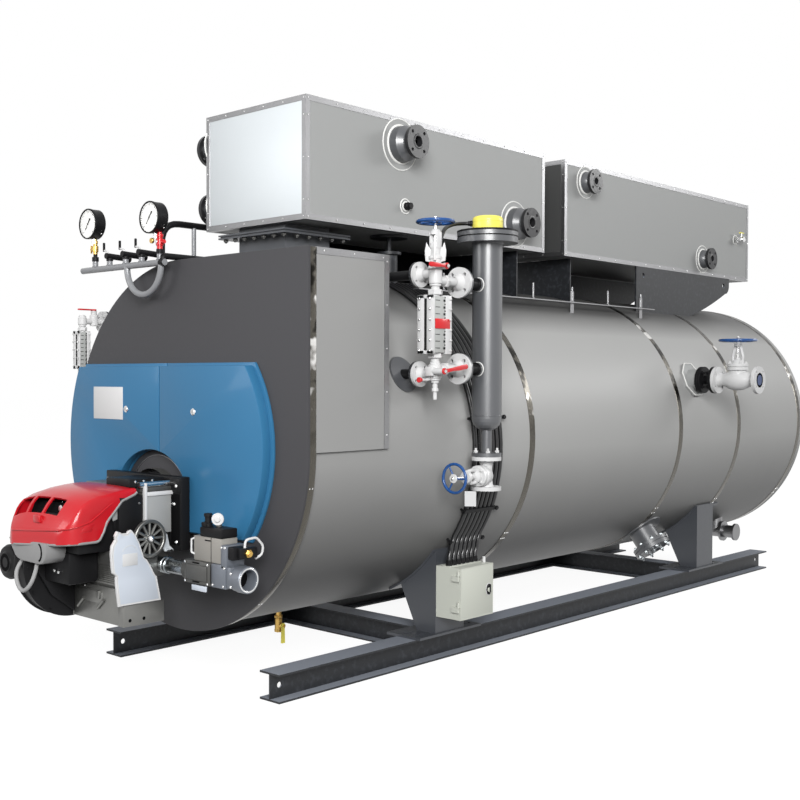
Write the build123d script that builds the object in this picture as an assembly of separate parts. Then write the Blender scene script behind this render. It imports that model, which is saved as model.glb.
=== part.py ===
from build123d import *
import os
from math import acos, cos, degrees, pi, radians, sin, sqrt

# Industrial boiler: a horizontal fire-tube steam boiler on a beam skid, with two economizers on top.
# While it is built, the drum axis is x = 0, the front plate's face is y = 0 and the floor is z = 0.
# The burner side is -Y. At the end everything moves so that the origin is the footprint's centre.

# Drum, front plate and squared casing
DRUM_R = 832
DRUM_LIFT = 246
DRUM_AXIS_Z = DRUM_LIFT + DRUM_R
DRUM_TOP_Z = DRUM_AXIS_Z + DRUM_R
DRUM_WALL = 92
DRUM_END_Y = 4969
PLATE_LIP = 18
PLATE_R = DRUM_R + PLATE_LIP
PLATE_T = 12
BAND_T = 38
BAND_INSET = 4
SQUARE_DEPTH = 440
REAR_COVER_T = 60
REAR_COVER_DISH = 14
JACKET_BAND_W = 46
JACKET_BAND_T = 2
JACKET_BAND_PLACES = (1585, 3160, 3955)
FIT = 0.05

# Skid
BEAM_SIZE = 125
BEAM_WEB = 6.5
BEAM_FLANGE = 9
BEAM_OUTER_X = DRUM_R - 189
BEAM_START_Y = 30
BEAM_END_Y = 4858
BEAM_HOLE_R = 13
BEAM_HOLE_END = 55
CROSS_BEAM_PLACES = (1200, 3890)

# Saddles
SADDLE_BOX_PLACES = (1050, 3750)
SADDLE_BOX_W = 223
SADDLE_WEAR_AHEAD = 5
SADDLE_WEAR_BEHIND = 85
SADDLE_PLATE_T = 10
SADDLE_OUTER_X = BEAM_OUTER_X + 12
SADDLE_FOOT_INNER_X = BEAM_OUTER_X - 108
SADDLE_HEAD_INNER_X = BEAM_OUTER_X - 213
WEAR_LOW_ANGLE = 65
WEAR_EDGE_INSET = 5
BASE_PLATE_T = 12
BASE_PLATE_X = (BEAM_OUTER_X - 190, BEAM_OUTER_X + 25)
BASE_PLATE_AHEAD = 130
BASE_PLATE_BEHIND = 127
SLOT_L = 70
SLOT_R = 9
SLOT_MARGIN = 60

# Economizers
ECO_HALF_W = 362
ECO_LIFT = 218
ECO_BOTTOM_Z = DRUM_TOP_Z + ECO_LIFT
ECO_H = 573
ECO_1_Y = (450, 2386)
ECO_GAP = 214
ECO_2_Y = (ECO_1_Y[1] + ECO_GAP, 5098)
TRIM_LEG = 27
TRIM_T = 2

# Flue duct between the casing and the first economizer
DUCT_HALF_W = 169
DUCT_Y = (ECO_1_Y[0] + 50, ECO_1_Y[0] + 348)
DUCT_FLANGE_LIP = 74
DUCT_FLANGE_T = 8
DUCT_GASKET_T = 6
DUCT_FLANGE_Z = ECO_BOTTOM_Z - 54

# Stub that carries the first economizer's rear, a round pedestal on the drum
PEDESTAL_X = 200
PEDESTAL_Y = 1207
PEDESTAL_DISC_R = 64
PEDESTAL_PAD_R = 98
PEDESTAL_STEM_R = 12
PEDESTAL_DISC_Z = ECO_BOTTOM_Z - 98
PEDESTAL_DISC_T = 14

# Gusset plates that carry the second economizer on the drum
GUSSET_T = 12
GUSSET_END_Y = 4792
GUSSET_DROP = 113
GUSSET_CORNER_R = 60
GUSSET_MEET_Y = 4177
GUSSET_START_Y = 3450
GUSSET_HOLE_R = 16
GUSSET_HOLE_DROP = 55
GUSSET_HOLE_INSET = (90, 90)
ARCH_PLATE_PLACES = (2200, 2760)
ARCH_PLATE_T = 10
ARCH_HALF_W = 300

# Water nozzles of the economizers: nominal bores 50 and 40
NOZZLES_1 = ((ECO_1_Y[0] + 659, ECO_BOTTOM_Z + 438), (ECO_1_Y[1] - 294, ECO_BOTTOM_Z + 134))
NOZZLES_2 = ((ECO_2_Y[0] + 229, ECO_BOTTOM_Z + 463), (ECO_2_Y[1] - 731, ECO_BOTTOM_Z + 112))
NOZZLES_1_LEFT = ((ECO_1_Y[0] + 115, ECO_BOTTOM_Z + 438), (ECO_1_Y[0] + 125, ECO_BOTTOM_Z + 134))
NOZZLE_REACH_1 = 123
NOZZLE_REACH_2 = 78
DN50_FLANGE_R = 82.5
DN50_FLANGE_T = 20
DN50_PCD_R = 62.5
DN50_HOLE_R = 9
DN50_BORE_R = 26.5
DN50_PIPE_R = 30
DN40_FLANGE_R = 75
DN40_FLANGE_T = 18
DN40_PCD_R = 55
DN40_HOLE_R = 9
DN40_BORE_R = 21
DN40_PIPE_R = 24
NOZZLE_PLATE_R_1 = 128
NOZZLE_PLATE_R_2 = 95
NOZZLE_PLATE_T = 3
NOZZLE_CONE_R = 92
NOZZLE_NECK_R = 62
PLUG_PLACE = (ECO_1_Y[0] + 701, ECO_BOTTOM_Z + 132)
PLUG_R = 20
PLUG_L = 42
TEE_PLACE = (ECO_2_Y[1] - 215, ECO_BOTTOM_Z + 296)
TEE_R = 21
TEE_L = 78

# Level column
COLUMN_X = DRUM_R + 123
COLUMN_Y = 1058
COLUMN_R = 69.85
COLUMN_BOTTOM_Z = DRUM_AXIS_Z + 122
COLUMN_DOME_H = 60
COLUMN_TOP_Z = DRUM_TOP_Z + 106
COLUMN_FLANGE_R = 142
COLUMN_FLANGE_T = 26
COLUMN_GASKET_T = 6
COLUMN_GASKET_INSET = 9
CAP_R = 72.5
CAP_H = 69
DRAIN_PIPE_R = 24
DRAIN_FLANGE_Z = DRUM_AXIS_Z - 57
BRANCH_HIGH_Z = DRUM_TOP_Z - 89
BRANCH_LOW_Z = DRUM_AXIS_Z + 352
BRANCH_R = 20
BRANCH_COLLAR_R = 31
BRANCH_COLLAR_L = 14

# Small flanges of the level gauge
GAUGE_FLANGE_R = 70
GAUGE_FLANGE_T = 14
GAUGE_FLANGE_FACE_Y = 850
SIDE_FLANGE_R = 57.5
SIDE_FLANGE_T = 12
SIDE_FLANGE_FACE_X = DRUM_R + 31
SIDE_HIGH_Z = DRUM_TOP_Z - 59
SIDE_LOW_Z = DRUM_AXIS_Z + 328
SIDE_PIPE_R = 17
SIDE_COLLAR_R = 80
SIDE_COLLAR_T = 10

# Level gauge
GAUGE_X = COLUMN_X + 3
GAUGE_Y = 675
GAUGE_BODY_X = (GAUGE_X - 49, GAUGE_X + 42)
GAUGE_BODY_Y = (GAUGE_Y - 39, GAUGE_Y + 87)
GAUGE_BODY_Z = (BRANCH_LOW_Z + 70, BRANCH_HIGH_Z - 65)
GAUGE_FRAME_SHARE = 0.27
GAUGE_STRIP_SHARE = 0.2
GAUGE_SLOT_W = 12
GAUGE_SLOT_DEPTH = 10
GAUGE_SLOT_MARGIN = 28
GAUGE_SCALE_INSET = 6
GAUGE_TUBE_R = 20
GAUGE_HUB_R = 30
GAUGE_BONNET_R = 25
GAUGE_BONNET_TOP_Z = DRUM_TOP_Z + 136
GAUGE_NUT_R = 34
GAUGE_DRAIN_TIP_Z = SIDE_LOW_Z - 116
GAUGE_DRAIN_R = 11
GAUGE_WHEEL_Z = GAUGE_BONNET_TOP_Z + 34
GAUGE_WHEEL_R = 89
GAUGE_RIM_R = 8
GAUGE_STEM_R = 7
LEVER_T = 8
LEVER_W = 22
LEVER_HUB_R = 14
LEVER_PIN_R = 6
LEVER_GAP = 0.3
LEVER_UPPER_PIVOT = (GAUGE_X + 52, GAUGE_Y + 17, SIDE_HIGH_Z + 32)
LEVER_UPPER_L = 120
LEVER_LOWER_PIVOT = (GAUGE_X + 82, GAUGE_Y - 35, SIDE_LOW_Z + 12)
LEVER_LOWER_L = 165
LEVER_LOWER_TILT = 8

# The smaller level gauge on the -X side, beside the front plate
LEFT_GAUGE_X = -(DRUM_R + 126)
LEFT_GAUGE_Y = 100
LEFT_GAUGE_HALF_W = 30
LEFT_GAUGE_BODY_Y = (LEFT_GAUGE_Y - 38, LEFT_GAUGE_Y + 30)
LEFT_LOW_Z = DRUM_AXIS_Z + 307
LEFT_HIGH_Z = DRUM_AXIS_Z + 602
LEFT_GAUGE_BODY_Z = (LEFT_LOW_Z + 46, LEFT_HIGH_Z - 51)
LEFT_BRANCHES_Z = (LEFT_LOW_Z, LEFT_HIGH_Z)
LEFT_TUBE_R = 15
LEFT_FLANGE_Y = 217
LEFT_FLANGE_R = 57
LEFT_PIPE_Y = 300
LEFT_LEVER_Y = 170
LEFT_LEVER_Z = LEFT_HIGH_Z + 62
LEFT_LEVER_L = 95
LEFT_COCK_R = 22

# Blowdown valve under the level column
BLOWDOWN_Z = DRAIN_FLANGE_Z - 89
BLOWDOWN_BOTTOM_Z = DRAIN_FLANGE_Z - 158
BLOWDOWN_FLANGE_T = 18
BLOWDOWN_PCD_R = 50
BLOWDOWN_BODY_R = 36
BLOWDOWN_BONNET_Y = COLUMN_Y - 58
BLOWDOWN_BONNET_R = 50
BLOWDOWN_YOKE_Y = COLUMN_Y - 158
BLOWDOWN_YOKE_R = 38
BLOWDOWN_WHEEL_Y = COLUMN_Y - 238
BLOWDOWN_WHEEL_R = 73
BLOWDOWN_RIM_R = 7
BLOWDOWN_STEM_R = 7

# Feed water nozzle and its globe valve
FEED_Y = 3417
FEED_Z = DRUM_AXIS_Z + 302
FEED_COLLAR_R = 108
FEED_COLLAR_X = DRUM_R + 10
FEED_PAIR_X = DRUM_R + 76
FEED_VALVE_START_X = DRUM_R + 109
FEED_VALVE_LENGTH = 280
FEED_BODY_R = 44
FEED_BELLY_R = 64
FEED_NECK_R = 44
FEED_BONNET_Z = FEED_Z + 60
FEED_BONNET_FLANGE_R = 62
FEED_BONNET_FLANGE_T = 40
FEED_YOKE_R = 34
FEED_YOKE_TOP_Z = FEED_Z + 210
FEED_WHEEL_Z = FEED_YOKE_TOP_Z + 32
FEED_WHEEL_R = 116
FEED_RIM_R = 10
FEED_STEM_R = 8

# Pressure gauges, their manifold and the pipes above the front plate
MANIFOLD_Y = -60
MANIFOLD_Z = DRUM_TOP_Z + 4
MANIFOLD_R = 15
MANIFOLD_START_X = -702
MANIFOLD_END_X = -31
DIAL_R = 74
DIAL_DEPTH = 62
DIAL_PLACES = ((-669, MANIFOLD_Z + 236), (-156, MANIFOLD_Z + 221))
GAUGE_SOCKET_R = 13
COCK_R = 17
STUB_PLACES = (-545, -410, -275)
STUB_TOP_Z = MANIFOLD_Z + 51
STUB_R = 14
ELBOW_REACH = 62
SIPHON_PLACES = (-480, -190)
SIPHON_BOTTOM_Z = MANIFOLD_Z - 274
SIPHON_R = 15
VENT_PIPE_X = -(ECO_HALF_W + 158)
VENT_PIPE_R = 17
VENT_PIPE_Z = ECO_BOTTOM_Z + 57
VENT_PIPE_Y = (285, 1000)
VENT_PIPE_BEND = 75
VENT_POST_Y = 490
VENT_POST_R = 12

# Burner axis, below the drum axis
BURNER_X = -140
BURNER_Z = DRUM_AXIS_Z - 278

# Smokebox covers
COVER_R = DRUM_R - 196
COVER_LIP_R = COVER_R + 16
COVER_LIP_T = 14
COVER_T = 60
COVER_GAP = 6
COVER_SEAM_X = -78
COVER_TOP_Z = DRUM_AXIS_Z + 362
COVER_BOTTOM_Z = DRUM_AXIS_Z - 383
COVER_LEFT_R = DRUM_R + 6
CUTOUT_X = (BURNER_X - 283, BURNER_X + 279)
CUTOUT_Z = (BURNER_Z - 227, BURNER_Z + 253)
LOCK_PLACES = ((-339, DRUM_AXIS_Z + 159), (173, DRUM_AXIS_Z + 157))
LOCK_R = 13
NAME_PLATE_X = (-609, -364)
NAME_PLATE_Z = (DRUM_AXIS_Z + 108, DRUM_AXIS_Z + 264)
NAME_PLATE_T = 2

# Burner
MOUNT_DISC_R = 232
MOUNT_DISC_T = 14
FLANGE_HALF_W = 290
FLANGE_Z = (BURNER_Z - 185, BURNER_Z + 144)
FLANGE_Y = (-112, -60)
NECK_R = 165
HOUSING_HALF_W = 230
HOUSING_Y = (-262, -112)
HOUSING_Z = (BURNER_Z - 94, BURNER_Z + 105)
CORE_RIGHT_X = BURNER_X + 190
CORE_FRONT_Y = -570
CORE_TOP_Z = BURNER_Z
COLLAR_DEPTH = 140
COLLAR_TOP_Z = BURNER_Z + 80
GAS_HEAD_HALF_W = 60
GAS_HEAD_L = 215
HOOD_HALF_W = 222
HOOD_WALL = 14
HOOD_SIDE_R = 55
HOOD_Y = (-695, -265)
HOOD_CREST = ((-695, -110), (-692, -65), (-649, 20), (-602, 72), (-520, 112), (-420, 132), (-296, 122))
HOOD_HEM = ((-296, 88), (-306, 78), (-373, 55), (-409, 14), (-450, -29), (-470, -70), (-500, -110))
HOOD_OPENING_W = 88
HOOD_OPENING_H = 88
HOOD_OPENING_Z = BURNER_Z + 18
HOOD_OPENING_PITCH = 163
COWL_HALF_W = 175
COWL_FRONT_Y = -672
COWL_Z = (BURNER_Z - 200, BURNER_Z - 104)
AIR_BOX_X = (BURNER_X - 92, BURNER_X + 263)
AIR_BOX_Y = (-420, -213)
AIR_BOX_Z = (BURNER_Z - 475, BURNER_Z - 160)
AIR_BOX_WALL = 12
SCROLL_X = (AIR_BOX_X[0] - 98, AIR_BOX_X[0])
SCROLL_Y = -420
SCROLL_Z = BURNER_Z - 240
SCROLL_R = 240
MOTOR_Z = BURNER_Z - 234
MOTOR_R = 78
MOTOR_Y = (-655, -440)
COVER_PLATE_T = 18
COVER_PLATE_GAP = 1
COVER_PLATE_FOOT_Z = BURNER_Z - 384
COVER_PLATE_OUTLINE = ((-446, 0), (-227, 0), (-250, 107), (-304, 187), (-344, 267), (-382, 322), (-454, 322),
                       (-462, 287), (-484, 227), (-476, 147), (-460, 107))
CAM_R = 95
CAM_Y = -269
CAM_Z = BURNER_Z - 113
CAM_T = 22
CAM_SPOKES = 12
CAM_SHAFT_R = 14

# Gas train
GAS_Y = -180
GAS_Z = BURNER_Z - 238
GAS_PIPE_R = 32
GAS_PIPE_START_X = 63
GAS_BLOCK_X = (310, 506)
GAS_BLOCK_Z = (GAS_Z - 42, GAS_Z + 56)
GAS_BLOCK_HALF_D = 58
GAS_COIL_X = (352, 500)
GAS_COIL_Z = GAS_Z + 160
GAS_COIL_HALF_D = 44
GAS_CAP_X = (400, 576)
GAS_CAP_Z = GAS_COIL_Z + 42
GAS_SECOND_X = 621
GAS_SECOND_Z = (GAS_Z - 44, GAS_Z + 138)
GAS_PORT_X = 690
GAS_PORT_R = 52
GAS_PORT_BORE_R = 40

# Conduits from the junction box round the drum
CONDUIT_START_Y = 1080

# Junction box with a hinged door
JBOX_X = (SADDLE_OUTER_X, SADDLE_OUTER_X + 135)
JBOX_Y = (CONDUIT_START_Y - 25, CONDUIT_START_Y + 232)
JBOX_Z = (222, 473)
JBOX_WALL = 3
JBOX_DOOR_T = 17.5
JBOX_DOOR_GAP = 0.5
HINGE_PIN_R = 3
HINGE_BARREL_R = 6
HINGE_BARREL_L = 26
HINGE_OFFSET_Y = 8
HINGE_PLACES = (0.2, 0.8)
LATCH_R = 15
LATCH_T = 14

# The conduits' sizes and straps
CONDUIT_R = 12
CONDUIT_COUNT = 7
CONDUIT_PITCH = 34
CONDUIT_X = SADDLE_OUTER_X + 60
CONDUIT_TOP_X = 300
STRAP_T = 4
STRAP_W = 22
STRAP_ANGLES = (23, -8)
STRAP_OVERHANG = 22

# Cable rail along the drum
RAIL_X = 450
RAIL_Y = (1135, 3500)
RAIL_W = 40
RAIL_LIFT = 57
RAIL_T = 6
RAIL_POST_PLACES = (1750, 2550, 3350)
RAIL_POST_W = 36
RAIL_POST_T = 6
RAIL_POST_TOP = 70

# Fittings under the drum
DRAIN_Y = 612
DRAIN_COLLAR_R = 52
DRAIN_NIPPLE_R = 14
DRAIN_BODY_R = 19
DRAIN_BODY_Z = (DRUM_LIFT - 128, DRUM_LIFT - 64)
DRAIN_LEVER_L = 86
HANDHOLE_ANGLE = 52.6
HANDHOLE_Y = 3290
HANDHOLE_NECK_R = 84
HANDHOLE_NECK_L = 100
HANDHOLE_COLLAR_R = 140
HANDHOLE_COLLAR_T = 8
HANDHOLE_FLANGE_R = 118
HANDHOLE_FLANGE_T = 20
OUTLET_Y = 4480
OUTLET_X = 430
OUTLET_R = 44
OUTLET_FLANGE_R = 70
OUTLET_FLANGE_T = 16

# Round faces are drawn with this many flats where the real bar is thin
FLATS = 10

nodes = {}


def block(x_range, y_range, z_range):
    """A rectangular solid between two corners."""
    x0, x1 = x_range
    y0, y1 = y_range
    z0, z1 = z_range
    return Pos((x0 + x1) / 2, (y0 + y1) / 2, (z0 + z1) / 2) * Box(x1 - x0, y1 - y0, z1 - z0)


def rod(start, end, radius):
    """A round bar from one point to another."""
    a = Vector(*start)
    along = Vector(*end) - a
    solid = Cylinder(radius, along.length, align=(Align.CENTER, Align.CENTER, Align.MIN))
    return Plane(origin=a, z_dir=along) * solid


def tube(start, end, radius, bore):
    """A round tube from one point to another."""
    return rod(start, end, radius) - rod(start, end, bore)


def bar(start, end, radius, flats=FLATS):
    """A thin bar with a many-sided section from one point to another."""
    a = Vector(*start)
    along = Vector(*end) - a
    return Plane(origin=a, z_dir=along) * extrude(RegularPolygon(radius, flats), along.length)


def turned(profile, origin, axis):
    """A solid of revolution: (radius, height) points turned about an axis through the origin."""
    face = make_face(Polyline(*[(r, h) for r, h in profile], close=True))
    return Plane(origin=origin, z_dir=axis) * revolve(Plane.XZ * face, Axis.Z)


def stack(origin, axis, *steps):
    """Coaxial round steps, each a radius and a length, one after another along an axis."""
    profile = [(0, 0)]
    height = 0
    for radius, length in steps:
        profile += [(radius, height), (radius, height + length)]
        height += length
    return turned(profile + [(0, height)], origin, axis)


def holes(origin, axis, pitch_r, count, hole_r, depth):
    """Round holes on a circle, to be cut from a flange whose outer face is at the origin."""
    plane = Plane(origin=origin, z_dir=axis)
    spots = PolarLocations(pitch_r, count, start_angle=180 / count)
    return [plane * spot * Cylinder(hole_r, depth * 3) for spot in spots]


def drum_z(x, radius=DRUM_R):
    """Height of the drum's upper surface at a distance x from its axis."""
    return DRUM_AXIS_Z + sqrt(radius ** 2 - x ** 2)


def drum_x(z, radius=DRUM_R):
    """Half width of the drum at a height z."""
    return sqrt(radius ** 2 - (z - DRUM_AXIS_Z) ** 2)


def on_drum(angle, radius=DRUM_R):
    """Point of a circle about the drum axis, by its angle above the +X side."""
    return radius * cos(radians(angle)), DRUM_AXIS_Z + radius * sin(radians(angle))


def drum_core(radius=DRUM_R):
    """The space of the drum, to be cut from what stands on it."""
    return rod((0, 0, DRUM_AXIS_Z), (0, DRUM_END_Y, DRUM_AXIS_Z), radius)


def clear_of_bands(solid):
    """Room for the jacket bands under a piece that stands on the drum."""
    bounds = solid.bounding_box()
    for band_y in JACKET_BAND_PLACES:
        band_end = band_y + JACKET_BAND_W
        if bounds.min.Y < band_end and band_y < bounds.max.Y:
            solid -= rod((0, band_y - FIT, DRUM_AXIS_Z), (0, band_end + FIT, DRUM_AXIS_Z),
                         DRUM_R + JACKET_BAND_T + FIT)
    return solid


def slab(face, y_range):
    """A face drawn in XZ, made solid along Y."""
    y0, y1 = y_range
    return extrude(Plane.XZ.offset(-y0) * face, -(y1 - y0))


def side_slab(face, x_range):
    """A face drawn in YZ, made solid along X."""
    x0, x1 = x_range
    return extrude(Plane.YZ.offset(x0) * face, x1 - x0)


def outline(*points):
    return make_face(Polyline(*points, close=True))


def plate_outline(radius):
    """Circle with one square upper corner, drawn in the XZ plane."""
    low = radius * cos(radians(45))
    arc = ThreePointArc((0, DRUM_AXIS_Z + radius), (-low, DRUM_AXIS_Z - low), (radius, DRUM_AXIS_Z))
    lines = Polyline((radius, DRUM_AXIS_Z), (radius, DRUM_AXIS_Z + radius), (0, DRUM_AXIS_Z + radius))
    return make_face(arc + lines)


def mirrored(solid):
    return mirror(solid, Plane.YZ)


def bent_bar(points, radius, bend):
    """A thin bar along a route in one plane, with equal bends."""
    path = FilletPolyline(*points, radius=bend)
    start = path ^ 0
    section = start * RegularPolygon(radius, FLATS)
    return sweep(section, path=path)


def handwheel(origin, axis, radius, rim_r, spokes, stem_r):
    """A wheel with an eight-sided rim section, flat spokes and a bored hub."""
    ring = [(radius - rim_r + rim_r * cos(turn * pi / 4 + pi / 8), rim_r * sin(turn * pi / 4 + pi / 8))
            for turn in range(8)]
    wheel = revolve(Plane.XZ * outline(*ring), Axis.Z) + Cylinder(rim_r * 2.2, rim_r * 3)
    reach = radius - rim_r
    for turn in range(spokes):
        wheel += Rot(0, 0, 360 / spokes * turn) * Pos(reach / 2, 0, 0) * Box(reach, rim_r * 1.6, rim_r)
    wheel -= Cylinder(stem_r + FIT, rim_r * 6)
    return Plane(origin=origin, z_dir=axis) * wheel


def add(name, *solids):
    """Keeps the solids of one node."""
    nodes[name] = list(solids)


# Skid beams with a lifting hole near each end of the web
def skid_beam():
    centre = BEAM_OUTER_X - BEAM_SIZE / 2
    across = (BEAM_OUTER_X - BEAM_SIZE, BEAM_OUTER_X)
    along = (BEAM_START_Y, BEAM_END_Y)
    beam = block(across, along, (0, BEAM_FLANGE))
    beam += block(across, along, (BEAM_SIZE - BEAM_FLANGE, BEAM_SIZE))
    beam += block((centre - BEAM_WEB / 2, centre + BEAM_WEB / 2), along, (0, BEAM_SIZE))
    for y in (BEAM_START_Y + BEAM_HOLE_END, BEAM_END_Y - BEAM_HOLE_END):
        beam -= rod((centre - BEAM_WEB, y, BEAM_SIZE / 2), (centre + BEAM_WEB, y, BEAM_SIZE / 2), BEAM_HOLE_R)
    return beam


def cross_beam(y):
    """The web reaches the skid beams' webs, and the flanges butt against their flanges."""
    web_half = BEAM_OUTER_X - BEAM_SIZE / 2 - BEAM_WEB / 2
    flange_half = BEAM_OUTER_X - BEAM_SIZE
    beam = block((-web_half, web_half), (y - BEAM_WEB / 2, y + BEAM_WEB / 2),
                 (BEAM_FLANGE, BEAM_SIZE - BEAM_FLANGE))
    for z in (0, BEAM_SIZE - BEAM_FLANGE):
        flange_y = (y - BEAM_SIZE / 2, y + BEAM_SIZE / 2)
        beam += block((-flange_half, flange_half), flange_y, (z, z + BEAM_FLANGE))
    return beam


add("skid_beam_right", skid_beam())
add("skid_beam_left", mirrored(skid_beam()))
add("cross_beams", *[cross_beam(y) for y in CROSS_BEAM_PLACES])


# Saddles: a folded box with one outer plate, a wear plate on the drum and a slotted base plate
def saddle(start_y):
    box_y = (start_y, start_y + SADDLE_BOX_W)
    base_z = BEAM_SIZE + BASE_PLATE_T
    wear_r = DRUM_R + SADDLE_PLATE_T
    wear_high_angle = degrees(acos((SADDLE_OUTER_X - WEAR_EDGE_INSET) / wear_r))
    head_z = DRUM_AXIS_Z - sqrt(wear_r ** 2 - SADDLE_OUTER_X ** 2)
    inner_z = DRUM_AXIS_Z - sqrt(wear_r ** 2 - SADDLE_HEAD_INNER_X ** 2)
    outer = outline((SADDLE_FOOT_INNER_X, base_z), (SADDLE_OUTER_X, base_z), (SADDLE_OUTER_X, head_z),
                    (SADDLE_HEAD_INNER_X, DRUM_AXIS_Z), (SADDLE_HEAD_INNER_X, inner_z))
    wall = SADDLE_PLATE_T
    core = outline((SADDLE_FOOT_INNER_X + wall, base_z), (SADDLE_OUTER_X - wall, base_z),
                   (SADDLE_OUTER_X - wall, head_z), (SADDLE_HEAD_INNER_X + wall, DRUM_AXIS_Z),
                   (SADDLE_HEAD_INNER_X + wall, inner_z))
    solid = slab(outer, box_y) - slab(core, (box_y[0] + wall, box_y[1] - wall))
    solid -= drum_core(wear_r)
    wear_y = (box_y[0] - SADDLE_WEAR_AHEAD, box_y[1] + SADDLE_WEAR_BEHIND)
    wear = tube((0, wear_y[0], DRUM_AXIS_Z), (0, wear_y[1], DRUM_AXIS_Z), wear_r, DRUM_R)
    reach = 2 * DRUM_R
    wedge = outline((0, DRUM_AXIS_Z), on_drum(-WEAR_LOW_ANGLE, reach), on_drum(-wear_high_angle, reach))
    solid += wear & slab(wedge, wear_y)
    base_y = (box_y[0] - BASE_PLATE_AHEAD, box_y[1] + BASE_PLATE_BEHIND)
    solid += block(BASE_PLATE_X, base_y, (BEAM_SIZE, base_z))
    slot_x = BEAM_OUTER_X - BEAM_SIZE / 4
    for y in (base_y[0] + SLOT_MARGIN, base_y[1] - SLOT_MARGIN):
        for x in (slot_x, slot_x - BEAM_SIZE / 2):
            slot = block((x - SLOT_R, x + SLOT_R), (y - SLOT_L / 2, y + SLOT_L / 2), (BEAM_SIZE, base_z))
            solid -= slot
    return clear_of_bands(solid)


for place, start_y in zip(("front", "rear"), SADDLE_BOX_PLACES):
    add("saddle_" + place + "_right", saddle(start_y))
    add("saddle_" + place + "_left", mirrored(saddle(start_y)))

# Front plate, stainless band, squared casing, drum and rear cover
band_r = PLATE_R - BAND_INSET
inner_r = DRUM_R - DRUM_WALL
square_start = PLATE_T + BAND_T
bore = rod((0, PLATE_T, DRUM_AXIS_Z), (0, DRUM_END_Y, DRUM_AXIS_Z), inner_r)
add("front_plate", slab(plate_outline(PLATE_R), (0, PLATE_T)))
add("plate_band", slab(plate_outline(band_r), (PLATE_T, square_start)) - bore)
casing_top = DRUM_AXIS_Z + band_r
corner = outline((0, DRUM_AXIS_Z), (band_r, DRUM_AXIS_Z), (band_r, casing_top), (0, casing_top))
casing_end = square_start + SQUARE_DEPTH
casing = slab(corner, (square_start, casing_end)) - drum_core()
add("front_casing", casing)
add("drum_shell", tube((0, square_start, DRUM_AXIS_Z), (0, DRUM_END_Y, DRUM_AXIS_Z), DRUM_R, inner_r))
cover_steps = [(0, -DRUM_WALL), (inner_r, -DRUM_WALL), (inner_r, 0), (DRUM_R, 0)]
cover_steps += [(DRUM_R, REAR_COVER_T - REAR_COVER_DISH), (DRUM_R - REAR_COVER_DISH, REAR_COVER_T)]
cover_steps += [(0, REAR_COVER_T)]
add("rear_cover", turned(cover_steps, (0, DRUM_END_Y, DRUM_AXIS_Z), (0, 1, 0)))


def jacket_band(y):
    return tube((0, y, DRUM_AXIS_Z), (0, y + JACKET_BAND_W, DRUM_AXIS_Z), DRUM_R + JACKET_BAND_T, DRUM_R)


add("jacket_bands", *[jacket_band(y) for y in JACKET_BAND_PLACES + (DRUM_END_Y - JACKET_BAND_W,)])


# Angle trims of the squared casing: its rear edge and its top edge
def casing_trim():
    top = casing_top
    legs_y = (casing_end - TRIM_LEG, casing_end)
    trim = block((band_r, band_r + TRIM_T), legs_y, (DRUM_AXIS_Z, top + TRIM_T))
    trim += block((band_r - TRIM_LEG, band_r + TRIM_T), legs_y, (top, top + TRIM_T))
    trim += block((band_r, band_r + TRIM_T), (square_start, casing_end), (top - TRIM_LEG, top + TRIM_T))
    trim += block((band_r - TRIM_LEG, band_r), (square_start, casing_end), (top, top + TRIM_T))
    trim += block((band_r - TRIM_LEG, band_r + TRIM_T), (casing_end, casing_end + TRIM_T),
                  (DRUM_AXIS_Z, top + TRIM_T))
    return trim - drum_core()


add("casing_trims", casing_trim())


# Economizers: a panelled box with angle trims on its twelve edges
def economizer(ends):
    return block((-ECO_HALF_W, ECO_HALF_W), ends, (ECO_BOTTOM_Z, ECO_BOTTOM_Z + ECO_H))


def edge_trims(ends):
    x = ECO_HALF_W + TRIM_T
    low = ECO_BOTTOM_Z - TRIM_T
    high = ECO_BOTTOM_Z + ECO_H + TRIM_T
    start = ends[0] - TRIM_T
    end = ends[1] + TRIM_T
    frame = block((-x, x), (start, end), (low, high)) - economizer(ends)
    side = (-x + TRIM_LEG, x - TRIM_LEG)
    along = (start + TRIM_LEG, end - TRIM_LEG)
    tall = (low + TRIM_LEG, high - TRIM_LEG)
    frame -= block(side, (start, end), tall)
    frame -= block(side, along, (low, high))
    frame -= block((-x, x), along, tall)
    return frame


eco_trims = [edge_trims(ends) for ends in (ECO_1_Y, ECO_2_Y)]
add("economizer_1_casing", economizer(ECO_1_Y))
add("economizer_2_casing", economizer(ECO_2_Y))
add("economizer_trims", *eco_trims)

eco_base = ECO_BOTTOM_Z - TRIM_T


# Flue duct with a bolted flange pair and a gasket between
def flue_duct():
    duct = block((-DUCT_HALF_W, DUCT_HALF_W), DUCT_Y, (DRUM_AXIS_Z, ECO_BOTTOM_Z)) - drum_core()
    duct -= block((0, DUCT_HALF_W), (square_start, casing_end), (DRUM_AXIS_Z, DRUM_AXIS_Z + band_r))
    lip_x = DUCT_HALF_W + DUCT_FLANGE_LIP
    lip_y = (DUCT_Y[0] - DUCT_FLANGE_LIP, DUCT_Y[1] + DUCT_FLANGE_LIP)
    for z in (DUCT_FLANGE_Z, DUCT_FLANGE_Z + DUCT_FLANGE_T + DUCT_GASKET_T):
        duct += block((-lip_x, lip_x), lip_y, (z, z + DUCT_FLANGE_T))
    inset = DUCT_FLANGE_T
    gasket_z = (DUCT_FLANGE_Z, DUCT_FLANGE_Z + DUCT_FLANGE_T + DUCT_GASKET_T)
    duct += block((-lip_x + inset, lip_x - inset), (lip_y[0] + inset, lip_y[1] - inset), gasket_z)
    return duct


add("flue_duct", flue_duct())


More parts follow.
